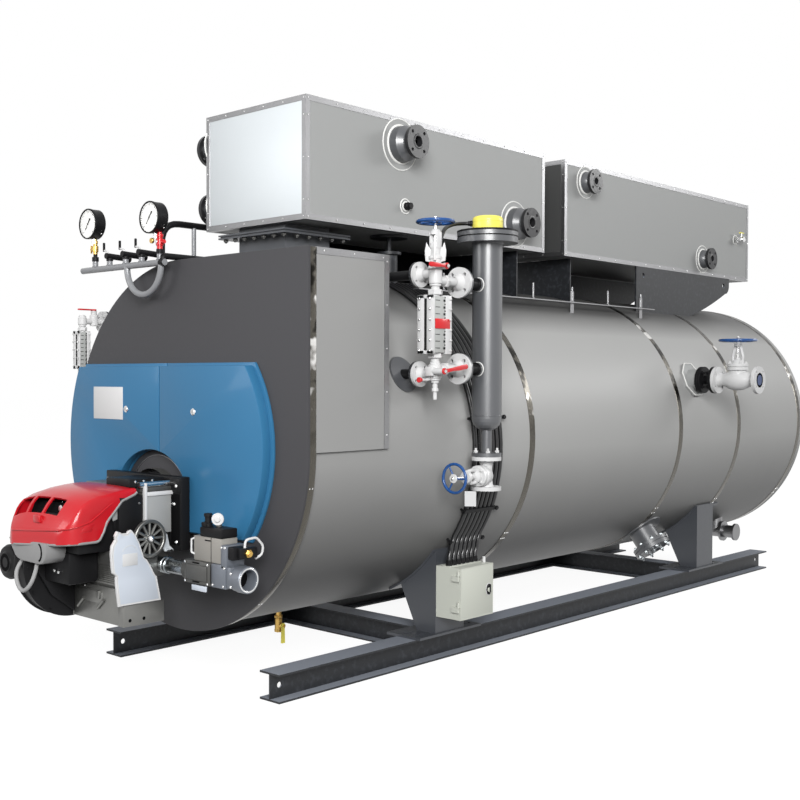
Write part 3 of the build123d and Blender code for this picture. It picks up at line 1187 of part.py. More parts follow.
def side_cover():
    """Moulded cover plate on the air box's +X side, narrowing upwards with notched shoulders."""
    face = outline(*[(y, COVER_PLATE_FOOT_Z + z) for y, z in COVER_PLATE_OUTLINE])
    return side_slab(face, cover_x)


add("burner_flange", burner_flange())
add("burner_housing", burner_housing(), cam_disc())
add("burner_hood", burner_hood())
add("burner_air_box", air_box())
add("burner_fan", burner_scroll())
motor_at = (SCROLL_X[0] - MOTOR_R, MOTOR_Y[0], MOTOR_Z)
add("burner_motor", stack(motor_at, (0, 1, 0), (MOTOR_R, MOTOR_Y[1] - MOTOR_Y[0])))
add("burner_cover", side_cover())


# Gas train: a pipe, a double valve block with its coil, a second flange body and a threaded port
def gas_valve_block():
    depth = (GAS_Y - GAS_BLOCK_HALF_D, GAS_Y + GAS_BLOCK_HALF_D)
    coil_depth = (GAS_Y - GAS_COIL_HALF_D, GAS_Y + GAS_COIL_HALF_D)
    solid = block(GAS_BLOCK_X, depth, GAS_BLOCK_Z)
    solid += block(GAS_COIL_X, coil_depth, (GAS_BLOCK_Z[1], GAS_COIL_Z))
    solid += block(GAS_CAP_X, coil_depth, (GAS_COIL_Z, GAS_CAP_Z))
    solid += block((GAS_COIL_X[1], GAS_CAP_X[1]), coil_depth, (GAS_SECOND_Z[1], GAS_COIL_Z))
    solid += block((GAS_BLOCK_X[1], GAS_SECOND_X), depth, GAS_SECOND_Z)
    solid += rod((GAS_SECOND_X, GAS_Y, GAS_Z), (GAS_PORT_X, GAS_Y, GAS_Z), GAS_PORT_R)
    return solid - rod((GAS_SECOND_X, GAS_Y, GAS_Z), (GAS_PORT_X, GAS_Y, GAS_Z), GAS_PORT_BORE_R)


add("gas_pipe", rod((GAS_PIPE_START_X, GAS_Y, GAS_Z), (GAS_BLOCK_X[0], GAS_Y, GAS_Z), GAS_PIPE_R))
add("gas_valve_block", gas_valve_block())

# Junction box: an open case, and a door on two barrel hinges at its -Y edge
hinge_x = JBOX_X[1] + JBOX_DOOR_GAP + JBOX_DOOR_T / 2
hinge_y = JBOX_Y[0] - HINGE_OFFSET_Y
jbox_h = JBOX_Z[1] - JBOX_Z[0]
hinge_zs = [JBOX_Z[0] + jbox_h * share for share in HINGE_PLACES]


def junction_box():
    inner_y = (JBOX_Y[0] + JBOX_WALL, JBOX_Y[1] - JBOX_WALL)
    inner_z = (JBOX_Z[0] + JBOX_WALL, JBOX_Z[1] - JBOX_WALL)
    case = block(JBOX_X, JBOX_Y, JBOX_Z) - block((JBOX_X[0] + JBOX_WALL, JBOX_X[1]), inner_y, inner_z)
    for z in hinge_zs:
        arm_z = (z - HINGE_BARREL_L / 2, z + HINGE_BARREL_L / 2)
        case += block((JBOX_X[1] - 30, JBOX_X[1] - 12), (hinge_y, JBOX_Y[0]), arm_z)
        case += block((JBOX_X[1] - 30, hinge_x), (hinge_y - HINGE_PIN_R, hinge_y + HINGE_PIN_R), arm_z)
        case += rod((hinge_x, hinge_y, arm_z[0]), (hinge_x, hinge_y, arm_z[1] + HINGE_BARREL_L), HINGE_PIN_R)
    return case


def junction_box_door():
    door_x = (JBOX_X[1] + JBOX_DOOR_GAP, JBOX_X[1] + JBOX_DOOR_GAP + JBOX_DOOR_T)
    door = block(door_x, JBOX_Y, JBOX_Z)
    for z in hinge_zs:
        low = z + HINGE_BARREL_L / 2 + JBOX_DOOR_GAP
        high = low + HINGE_BARREL_L - JBOX_DOOR_GAP
        door += rod((hinge_x, hinge_y, low), (hinge_x, hinge_y, high), HINGE_BARREL_R)
        leaf_x = (hinge_x - HINGE_PIN_R, hinge_x + HINGE_BARREL_R)
        door += block(leaf_x, (hinge_y, JBOX_Y[0] + 1), (low, high))
        door -= rod((hinge_x, hinge_y, low), (hinge_x, hinge_y, high), HINGE_PIN_R + FIT)
    latch_y = JBOX_Y[1] - 38
    latch_z = (JBOX_Z[0] + JBOX_Z[1]) / 2
    return door + rod((door_x[1], latch_y, latch_z), (door_x[1] + LATCH_T, latch_y, latch_z), LATCH_R)


add("junction_box", junction_box())
add("junction_box_door", junction_box_door())

# Conduits: straight up from the junction box, then round the drum to below the first economizer
conduit_path_r = DRUM_R + CONDUIT_R + 1
conduit_angle = degrees(acos(CONDUIT_X / conduit_path_r))
conduit_end_angle = degrees(acos(CONDUIT_TOP_X / conduit_path_r))
conduit_bend_z = DRUM_AXIS_Z - conduit_path_r * sin(radians(conduit_angle))


def conduit(y):
    ring = [(conduit_path_r + CONDUIT_R * cos(turn * 2 * pi / 8), CONDUIT_R * sin(turn * 2 * pi / 8))
            for turn in range(8)]
    sweep_angle = conduit_angle + conduit_end_angle
    first = (cos(radians(conduit_angle)), 0, -sin(radians(conduit_angle)))
    start = Plane(origin=(0, y, DRUM_AXIS_Z), x_dir=first, z_dir=(0, -1, 0))
    hoop = start * revolve(Plane.XZ * outline(*ring), Axis.Z, sweep_angle)
    return hoop + bar((CONDUIT_X, y, JBOX_Z[1]), (CONDUIT_X, y, conduit_bend_z + CONDUIT_R / 4), CONDUIT_R, 8)


conduit_ys = [CONDUIT_START_Y + step * CONDUIT_PITCH for step in range(CONDUIT_COUNT)]
add("conduits", *[conduit(y) for y in conduit_ys])
strap_y = (conduit_ys[0] - CONDUIT_R - STRAP_OVERHANG, conduit_ys[-1] + CONDUIT_R + STRAP_OVERHANG)
straps = []
strap_r = conduit_path_r + CONDUIT_R
for angle in STRAP_ANGLES:
    x, z = on_drum(-angle, strap_r)
    plane = Plane(origin=(x, sum(strap_y) / 2, z), x_dir=(0, 1, 0), z_dir=(x, 0, z - DRUM_AXIS_Z))
    straps.append(plane * Pos(0, 0, STRAP_T / 2) * Box(strap_y[1] - strap_y[0], STRAP_W, STRAP_T))
strap_x = CONDUIT_X + CONDUIT_R
strap_mid_z = (JBOX_Z[1] + conduit_bend_z) / 2
strap_z = (strap_mid_z - STRAP_W / 2, strap_mid_z + STRAP_W / 2)
straps.append(block((strap_x, strap_x + STRAP_T), strap_y, strap_z))
add("conduit_straps", *straps)


# Cable rail: a flat tray on posts that stand on the drum
def cable_rail():
    rail_z = drum_z(RAIL_X) + RAIL_LIFT
    tray = block((RAIL_X - RAIL_W / 2, RAIL_X + RAIL_W / 2), RAIL_Y, (rail_z, rail_z + RAIL_T))
    for y in RAIL_POST_PLACES:
        post_y = (y - RAIL_POST_W / 2, y + RAIL_POST_W / 2)
        post_x = (RAIL_X - RAIL_POST_T / 2, RAIL_X + RAIL_POST_T / 2)
        tray += block(post_x, post_y, (DRUM_AXIS_Z, rail_z + RAIL_POST_TOP))
    return clear_of_bands(tray - drum_core())


add("cable_rail", cable_rail())


# Drain below the drum: a collar, a nipple and a ball valve with a hanging lever
def drain_valve():
    top = DRUM_AXIS_Z - DRUM_R
    low, high = DRAIN_BODY_Z
    valve = rod((0, DRAIN_Y, top + DRAIN_NIPPLE_R), (0, DRAIN_Y, top - 12), DRAIN_COLLAR_R) - drum_core()
    valve += rod((0, DRAIN_Y, top - 12), (0, DRAIN_Y, high), DRAIN_NIPPLE_R)
    valve += rod((0, DRAIN_Y, high), (0, DRAIN_Y, low), DRAIN_BODY_R)
    middle = (low + high) / 2
    return valve + rod((0, DRAIN_Y, middle), (DRAIN_BODY_R + 26, DRAIN_Y, middle), LEVER_PIN_R)


drain_mid_z = sum(DRAIN_BODY_Z) / 2
drain_pivot = (DRAIN_BODY_R + 14, DRAIN_Y, drain_mid_z)
drain_plane = Plane(origin=drain_pivot, x_dir=(0, 0, -1), z_dir=(1, 0, 0))
add("drain_valve", drain_valve())
add("drain_lever", drain_plane * lever(DRAIN_LEVER_L))


# Handhole nozzle low on the +X side: a collar on the jacket, a neck and a blank flange pair
def handhole():
    angle = -HANDHOLE_ANGLE
    x0, z0 = on_drum(angle, DRUM_R - HANDHOLE_COLLAR_R * 0.2)
    out = (cos(radians(angle)), 0, sin(radians(angle)))
    neck = HANDHOLE_NECK_L + HANDHOLE_COLLAR_R * 0.2
    steps = ((HANDHOLE_NECK_R, neck), (HANDHOLE_FLANGE_R, HANDHOLE_FLANGE_T),
             (HANDHOLE_FLANGE_R - 8, 6), (HANDHOLE_FLANGE_R, HANDHOLE_FLANGE_T))
    solid = stack((x0, HANDHOLE_Y, z0), out, *steps)
    ring = Plane(origin=(x0, HANDHOLE_Y, z0), z_dir=out) * Cylinder(HANDHOLE_COLLAR_R, 200)
    solid += ring & (drum_core(DRUM_R + HANDHOLE_COLLAR_T) - drum_core())
    return clear_of_bands(solid - drum_core())


add("handhole", handhole())


# Rear outlet: a flanged nozzle below the drum and an elbow that ends in a blank disc
def rear_outlet():
    x, y = OUTLET_X, OUTLET_Y
    low_z = 2 * DRUM_AXIS_Z - drum_z(x)
    turn_z = low_z - OUTLET_R * 1.6
    end_x = x + OUTLET_R * 3.2
    solid = rod((x, y, low_z + OUTLET_R), (x, y, turn_z), OUTLET_R)
    solid += rod((x - OUTLET_R * 0.5, y, turn_z), (end_x, y, turn_z), OUTLET_R)
    for flange_x, radius in ((x + OUTLET_R * 1.1, OUTLET_FLANGE_R), (end_x, OUTLET_FLANGE_R * 0.85)):
        solid += rod((flange_x, y, turn_z), (flange_x + OUTLET_FLANGE_T, y, turn_z), radius)
    return solid - drum_core()


add("rear_outlet", rear_outlet())

# Origin to the centre of the footprint, then one file per piece
low = [float("inf")] * 3
high = [float("-inf")] * 3
for solids in nodes.values():
    for solid in solids:
        bounds = solid.bounding_box()
        for i, (a, b) in enumerate(zip(bounds.min, bounds.max)):
            low[i] = min(low[i], a)
            high[i] = max(high[i], b)
shift = Pos(-(low[0] + high[0]) / 2, -(low[1] + high[1]) / 2, -low[2])
print("overall", [round(v, 1) for v in low], [round(v, 1) for v in high])
os.makedirs("parts", exist_ok=True)
for name, solids in nodes.items():
    placed = [shift * solid for solid in solids]
    shape = placed[0] if len(placed) == 1 else Compound(children=placed)
    export_step(shape, "parts/" + name + ".step")
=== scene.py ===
"""Industrial boiler: its finishes and detailed pieces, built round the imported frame."""

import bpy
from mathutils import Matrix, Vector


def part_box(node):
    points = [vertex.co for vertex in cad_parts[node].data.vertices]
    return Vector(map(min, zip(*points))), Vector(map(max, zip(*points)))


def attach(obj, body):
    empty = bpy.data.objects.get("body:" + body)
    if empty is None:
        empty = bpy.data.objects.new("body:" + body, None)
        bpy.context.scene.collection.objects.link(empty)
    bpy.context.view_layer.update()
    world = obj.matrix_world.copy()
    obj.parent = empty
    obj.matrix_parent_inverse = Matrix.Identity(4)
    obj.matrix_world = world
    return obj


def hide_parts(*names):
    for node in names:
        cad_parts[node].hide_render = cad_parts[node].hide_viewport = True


bl_info = {
    "name": "Industrial Boiler",
    "version": (1, 0, 0),
    "blender": (4, 5, 0),
    "location": "3D View > Sidebar > Boiler",
    "description": "Builds the finishes and detailed pieces of a packaged steam boiler round its frame",
    "category": "Add Mesh",
}

from math import acos, asin, atan2, ceil, cos, degrees, pi, radians, sin, sqrt

import bmesh
import bpy
from bpy.props import FloatProperty, FloatVectorProperty, IntProperty, PointerProperty
from mathutils import Matrix, Vector

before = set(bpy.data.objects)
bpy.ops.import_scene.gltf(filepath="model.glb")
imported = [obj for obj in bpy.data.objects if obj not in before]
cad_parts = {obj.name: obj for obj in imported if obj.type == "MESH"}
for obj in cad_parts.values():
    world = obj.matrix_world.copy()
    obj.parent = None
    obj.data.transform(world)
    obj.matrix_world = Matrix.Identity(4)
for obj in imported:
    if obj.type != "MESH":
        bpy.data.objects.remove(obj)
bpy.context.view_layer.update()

# Places are in metres in the drum's own frame: the drum axis is x = 0, the front plate's face is y = 0
# and the floor is z = 0. ORIGIN is where that point lies in the frame.
PLATE_LOW, PLATE_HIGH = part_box("front_plate")
ORIGIN = Vector(((PLATE_LOW[0] + PLATE_HIGH[0]) / 2, PLATE_LOW[1], 0.0))
BODY = "boiler"
TINY = 1e-6

# Directions seen by somebody who faces the burner's end: RIGHT is the side of the level column
RIGHT, LEFT = (1, 0, 0), (-1, 0, 0)
FRONT, BACK = (0, -1, 0), (0, 1, 0)
UP, DOWN = (0, 0, 1), (0, 0, -1)


def span(node):
    """Lowest and highest corner of a node in the drum's frame."""
    low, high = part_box(node)
    return Vector(low) - ORIGIN, Vector(high) - ORIGIN


def middle(node):
    low, high = span(node)
    return (low + high) / 2


def skin_at(rise):
    """Reach of the jacket's skin from the drum axis at a height above it, or the other way round."""
    return sqrt(DRUM_R ** 2 - rise ** 2)


DRUM_LOW, DRUM_HIGH = span("drum_shell")
DRUM_R = (DRUM_HIGH.x - DRUM_LOW.x) / 2
DRUM_Z = (DRUM_HIGH.z + DRUM_LOW.z) / 2
PLATE_R = (PLATE_HIGH[0] - PLATE_LOW[0]) / 2
# Axes of the level column and the right gauge in (x, y), and of the feed nozzle in (y, z)
COLUMN_AT = (0.955, 1.058)
GAUGE_AT = (0.958, 0.675)
FEED_AT = (3.417, 1.38)
# Heights of the right gauge's branches to the column, and of its pipes to the drum
BRANCH_ZS = (1.821, 1.43)
SIDE_ZS = (1.851, 1.406)
# Radius, thickness and radius of the bolt circle of a flange of 50 mm nominal bore
FLANGE_R, FLANGE_T, FLANGE_PITCH_R = 0.0825, 0.02, 0.0625


def length_of(label, text, value):
    return FloatProperty(name=label, description=text, default=value, unit="LENGTH")


def colour_of(label, text, value):
    return FloatVectorProperty(name=label, description=text, default=value, subtype="COLOR", min=0.0, max=1.0,
            size=3)


class BoilerSizes(bpy.types.PropertyGroup):
    """Sizes of the detail that is built round the frame."""

    screw: length_of("Screw head", "Radius of the sheet screws", 0.0045)
    screw_pitch: length_of("Screw pitch", "Distance between the sheet screws of the economizers", 0.2)
    bolt: length_of("Flange bolt", "Half width of a flange nut", 0.012)
    edge: length_of("Edge rounding", "Rounding of small edges", 0.0015)
    round_steps: IntProperty(name="Round steps", description="Sides of a round piece", default=48, min=12)
    sealant: length_of("Sealant", "Radius of a bead of sealant", 0.004)


class BoilerColours(bpy.types.PropertyGroup):
    """Colours of the finishes, as linear values."""

    jacket: colour_of("Jacket", "Satin grey sheet of the drum", (0.33, 0.33, 0.325))
    panel: colour_of("Panel", "Grey coated sheet of the economizers", (0.295, 0.3, 0.297))
    # Painted light: a lighter copy of the economizers' panel sheet, for the first economizer's lit front end.
    sheet: colour_of("Bright sheet", "Bare sheet of the economizers' ends", (0.6, 0.635, 0.655))
    trim: colour_of("Trim", "Aluminium angle and seams", (0.25, 0.25, 0.255))
    stainless: colour_of("Stainless", "Polished stainless bands", (0.105, 0.098, 0.084))
    plate: colour_of("Front plate", "Matt slate enamel", (0.046, 0.0455, 0.049))
    blue: colour_of("Cover blue", "Satin blue enamel of the covers", (0.028, 0.135, 0.262))
    wheel: colour_of("Wheel blue", "Gloss blue enamel of the handwheels", (0.006, 0.06, 0.22))
    red: colour_of("Hood red", "Gloss red moulding", (0.43, 0.006, 0.012))
    lever: colour_of("Lever red", "Dipped red handles", (0.55, 0.012, 0.016))
    yellow: colour_of("Cap yellow", "Yellow moulding", (0.8, 0.72, 0.12))
    white: colour_of("Valve white", "Pale enamel of valves and gauges", (0.56, 0.56, 0.56))
    beige: colour_of("Box beige", "Pale powder coat", (0.5, 0.515, 0.46))
    skid: colour_of("Skid grey", "Dark blue-grey enamel", (0.047, 0.051, 0.059))
    column: colour_of("Column grey", "Satin grey enamel of pipework", (0.066, 0.069, 0.075))
    black: colour_of("Black", "Black enamel", (0.012, 0.012, 0.013))
    casting: colour_of("Casting", "Raw die-cast aluminium", (0.21, 0.21, 0.2))


def sizes():
    return bpy.context.scene.boiler_sizes


# Shader expressions


class Wire:
    """A shader socket that can stand in a Python expression."""

    def __init__(self, graph, socket):
        self.graph = graph
        self.socket = socket

    def __add__(self, other):
        return self.graph.maths("ADD", self, other)

    def __sub__(self, other):
        return self.graph.maths("SUBTRACT", self, other)

    def __rsub__(self, other):
        return self.graph.maths("SUBTRACT", other, self)

    def __mul__(self, other):
        return self.graph.maths("MULTIPLY", self, other)

    __radd__ = __add__
    __rmul__ = __mul__


class Graph:
    """The node tree of one finish."""

    def __init__(self, name, tree=None):
        self.tree = tree
        if tree is None:
            self.material = bpy.data.materials.new(name)
            self.material.use_nodes = True
            self.tree = self.material.node_tree
            self.tree.nodes.clear()

    def node(self, kind, settings=None, values=None, output=0):
        """Adds a node: its settings first, then the values or links of its sockets."""
        made = self.tree.nodes.new(kind)
        for key, value in (settings or {}).items():
            setattr(made, key, value)
        for key, value in (values or {}).items():
            if isinstance(value, Wire):
                self.tree.links.new(value.socket, made.inputs[key])
            else:
                made.inputs[key].default_value = value
        return Wire(self, made.outputs[output]) if made.outputs else None

    def maths(self, operation, left, right):
        kinds = [w.socket.type for w in (left, right) if isinstance(w, Wire)]
        if "VECTOR" in kinds or "RGBA" in kinds:
            pair = {i: (w if isinstance(w, Wire) or hasattr(w, "__len__") else (w, w, w))
                    for i, w in enumerate((left, right))}
            return self.node("ShaderNodeVectorMath", {"operation": operation}, pair)
        return self.node("ShaderNodeMath", {"operation": operation}, {0: left, 1: right})

    def mix(self, factor, first, second):
        """A colour between two colours."""
        pair = {6: first if isinstance(first, Wire) else (*first, 1.0),
                7: second if isinstance(second, Wire) else (*second, 1.0), 0: factor}
        return self.node("ShaderNodeMix", {"data_type": "RGBA"}, pair, 2)

    def limit(self, value, low, high):
        return self.node("ShaderNodeClamp", None, {"Value": value, "Min": low, "Max": high})

    def place(self):
        return self.node("ShaderNodeTexCoord", None, None, 3)

    def noise(self, scale, detail, stretch=(1.0, 1.0, 1.0), roughness=0.55):
        """Noise between 0 and 1 in the object's space, stretched along its axes."""
        where = self.place() * stretch
        return self.node("ShaderNodeTexNoise", None,
                         {"Vector": where, "Scale": scale, "Detail": detail, "Roughness": roughness})

    def along(self, axis):
        """The place in the object's space along one axis."""
        return self.node("ShaderNodeSeparateXYZ", None, {"Vector": self.place()}, axis)

    def height(self, value, strength, distance):
        return self.node("ShaderNodeBump", None, {"Height": value, "Strength": strength,
                "Distance": distance})

    def surface(self, tone, rough, bump, constants=None):
        """The principled shader: three inputs vary over the surface, constants are set on its sockets."""
        values = {"Base Color": tone, "Roughness": rough, "Normal": bump, **(constants or {})}
        shader = self.node("ShaderNodeBsdfPrincipled", None, values)
        self.node("ShaderNodeOutputMaterial", None, {"Surface": shader})
        return self.material


# Finishes


def tint(colour, share):
    return tuple(min(1.0, c * share) for c in colour)


def coated(name, colour, roughness, metallic, peel, mottle, coat=0.0, gloss=0.2):
    """Sprayed enamel: soft mottling, a dusty look in the broad areas, orange peel in the gloss."""
    graph = Graph(name)
    broad = graph.noise(3.0, 4.0)
    fine = graph.noise(420.0, 2.0)
    grain = graph.noise(45.0, 5.0)
    tone = graph.mix(broad, tint(colour, 1 - mottle), tint(colour, 1 + mottle))
    rough = graph.limit(roughness + (grain - 0.5) * 0.12 + (broad - 0.5) * 0.1, 0.05, 1.0)
    bump = graph.height(fine * 0.6 + grain * 0.4, peel, 0.0004)
    constants = {"Metallic": metallic, "Coat Roughness": 0.12, "Specular IOR Level": gloss}
    if coat:
        constants["Coat Weight"] = coat
    return graph.surface(tone, rough, bump, constants)


def lit_from_above(name, colour, top_light):
    """Enamel with painted light: pale on everything that faces up, and darker as painted shade on the sides.
    """
    graph = Graph(name)
    facing = graph.node("ShaderNodeNewGeometry", None, None, "Normal")
    rise = graph.node("ShaderNodeSeparateXYZ", None, {"Vector": facing}, "Z")
    grain = graph.noise(38.0, 5.0)
    broad = graph.noise(4.0, 3.0)
    # Painted light: faces turned up take the pale colour, the others the dark one.
    lying = graph.limit(rise * 1.2 + (grain - 0.5) * 0.5, 0.0, 1.0)
    shaded_base = graph.mix(broad, tint(colour, 0.85), tint(colour, 1.2))
    rough = graph.limit(0.45 + lying * 0.2 + (grain - 0.5) * 0.1, 0.2, 1.0)
    tone = graph.mix(lying, shaded_base, top_light)
    return graph.surface(tone, rough, graph.height(grain, 0.15, 0.0004), {"Specular IOR Level": 0.3})


def jacket_sheet(name, colour):
    """Satin coated sheet: rolled grain and slow waves, with painted shade that darkens it towards the floor
    and towards its front end, and a painted shadow on its top under the economizers.
    """
    graph = Graph(name)
    rolled = graph.noise(60.0, 3.0, (9.0, 0.35, 9.0))
    waves = graph.noise(1.6, 2.0)
    speck = graph.noise(700.0, 2.0)
    grain = graph.mix(rolled * 0.5 + waves * 0.5, tint(colour, 0.95), tint(colour, 1.05))
    level = graph.along("Z")
    along = graph.along("Y")
    # Painted shade: the sheet is darker towards its front end.
    shaded_base = graph.mix(graph.limit(along + 1.75, 0.0, 1.0), tint(colour, 0.76), grain)
    # Painted shade: the sheet darkens towards the floor.
    out_of_floor_shade = graph.limit((level - 0.27) * 1.35 + (waves - 0.5) * 0.1, 0.0, 1.0)
    behind = graph.limit((along + 1.66) * 6.0, 0.0, 1.0)
    # Painted shadow of the economizers on the drum's top, away from the front casing.
    economizer_shadow = graph.limit((level - 1.64) * 5.0 + (waves - 0.5) * 0.1, 0.0, 0.85) * behind
    tone = graph.mix(economizer_shadow, graph.mix(out_of_floor_shade, tint(colour, 0.08), shaded_base), tint(colour, 0.06))
    rough = graph.limit(0.44 + (rolled - 0.5) * 0.08 + (waves - 0.5) * 0.08, 0.2, 0.8)
    slow = graph.height(waves, 0.12, 0.02)
    bump = graph.node("ShaderNodeBump", None,
                      {"Height": speck, "Strength": 0.05, "Distance": 0.0003, "Normal": slow})
    return graph.surface(tone, rough, bump, {"Specular IOR Level": 0.25})


def brushed(name, colour, roughness, stretch):
    """Brushed or rolled metal with streaks along one direction."""
    graph = Graph(name)
    streak = graph.noise(90.0, 4.0, stretch)
    stain = graph.noise(8.0, 4.0)
    tone = graph.mix(streak * 0.6 + stain * 0.4, tint(colour, 0.8), tint(colour, 1.2))
    rough = graph.limit(roughness + (streak - 0.5) * 0.2, 0.08, 0.9)
    bump = graph.height(streak, 0.12, 0.0004)
    return graph.surface(tone, rough, bump, {"Metallic": 1.0})


def polished_band(name, colour):
    """Polished strip: rolled streaks, with bright and dark patches of painted reflection where it buckles."""
    graph = Graph(name)
    streak = graph.noise(90.0, 4.0, (0.4, 8.0, 0.4))
    buckle = graph.noise(9.0, 2.0)
    level = graph.along("Z")
    upper = graph.limit((level - 1.05) * 3.0, 0.0, 1.0)
    # Painted reflection: bright and dark patches that follow the buckles, on the band's upper part.
    bright = graph.limit((buckle - 0.6) * 16.0, 0.0, 1.0) * upper
    dark = graph.limit((0.5 - buckle) * 16.0, 0.0, 1.0) * upper
    plain = graph.mix(streak, tint(colour, 0.8), tint(colour, 1.15))
    tone = graph.mix(dark, graph.mix(bright, plain, (0.75, 0.74, 0.72)), tint(colour, 0.16))
    bump = graph.height(buckle, 0.3, 0.01)
    return graph.surface(tone, graph.limit(streak * 0.3 + 0.12, 0.1, 0.6), bump, {"Metallic": 1.0})


def cast(name, colour, roughness, metallic=0.85):
    """Sand- or die-cast metal: pitted skin with darker hollows."""
    graph = Graph(name)
    skin = graph.noise(260.0, 5.0, roughness=0.7)
    cloud = graph.noise(14.0, 4.0)
    tone = graph.mix(skin * 0.4 + cloud * 0.6, tint(colour, 0.72), tint(colour, 1.15))
    rough = graph.limit(roughness + (skin - 0.5) * 0.25, 0.15, 1.0)
    bump = graph.height(skin, 0.35, 0.0008)
    return graph.surface(tone, rough, bump, {"Metallic": metallic})


def moulded(name, colour):
    """Gloss lacquered moulding with a clear coat and faint flow marks."""
    graph = Graph(name)
    flow = graph.noise(5.0, 3.0)
    peel = graph.noise(300.0, 2.0)
    tone = graph.mix(flow, tint(colour, 0.92), tint(colour, 1.1))
    rough = graph.limit(0.3 + (flow - 0.5) * 0.08, 0.1, 0.6)
    bump = graph.height(peel, 0.06, 0.0003)
    return graph.surface(tone, rough, bump,
                         {"Coat Weight": 0.35, "Coat Roughness": 0.1, "Specular IOR Level": 0.25})


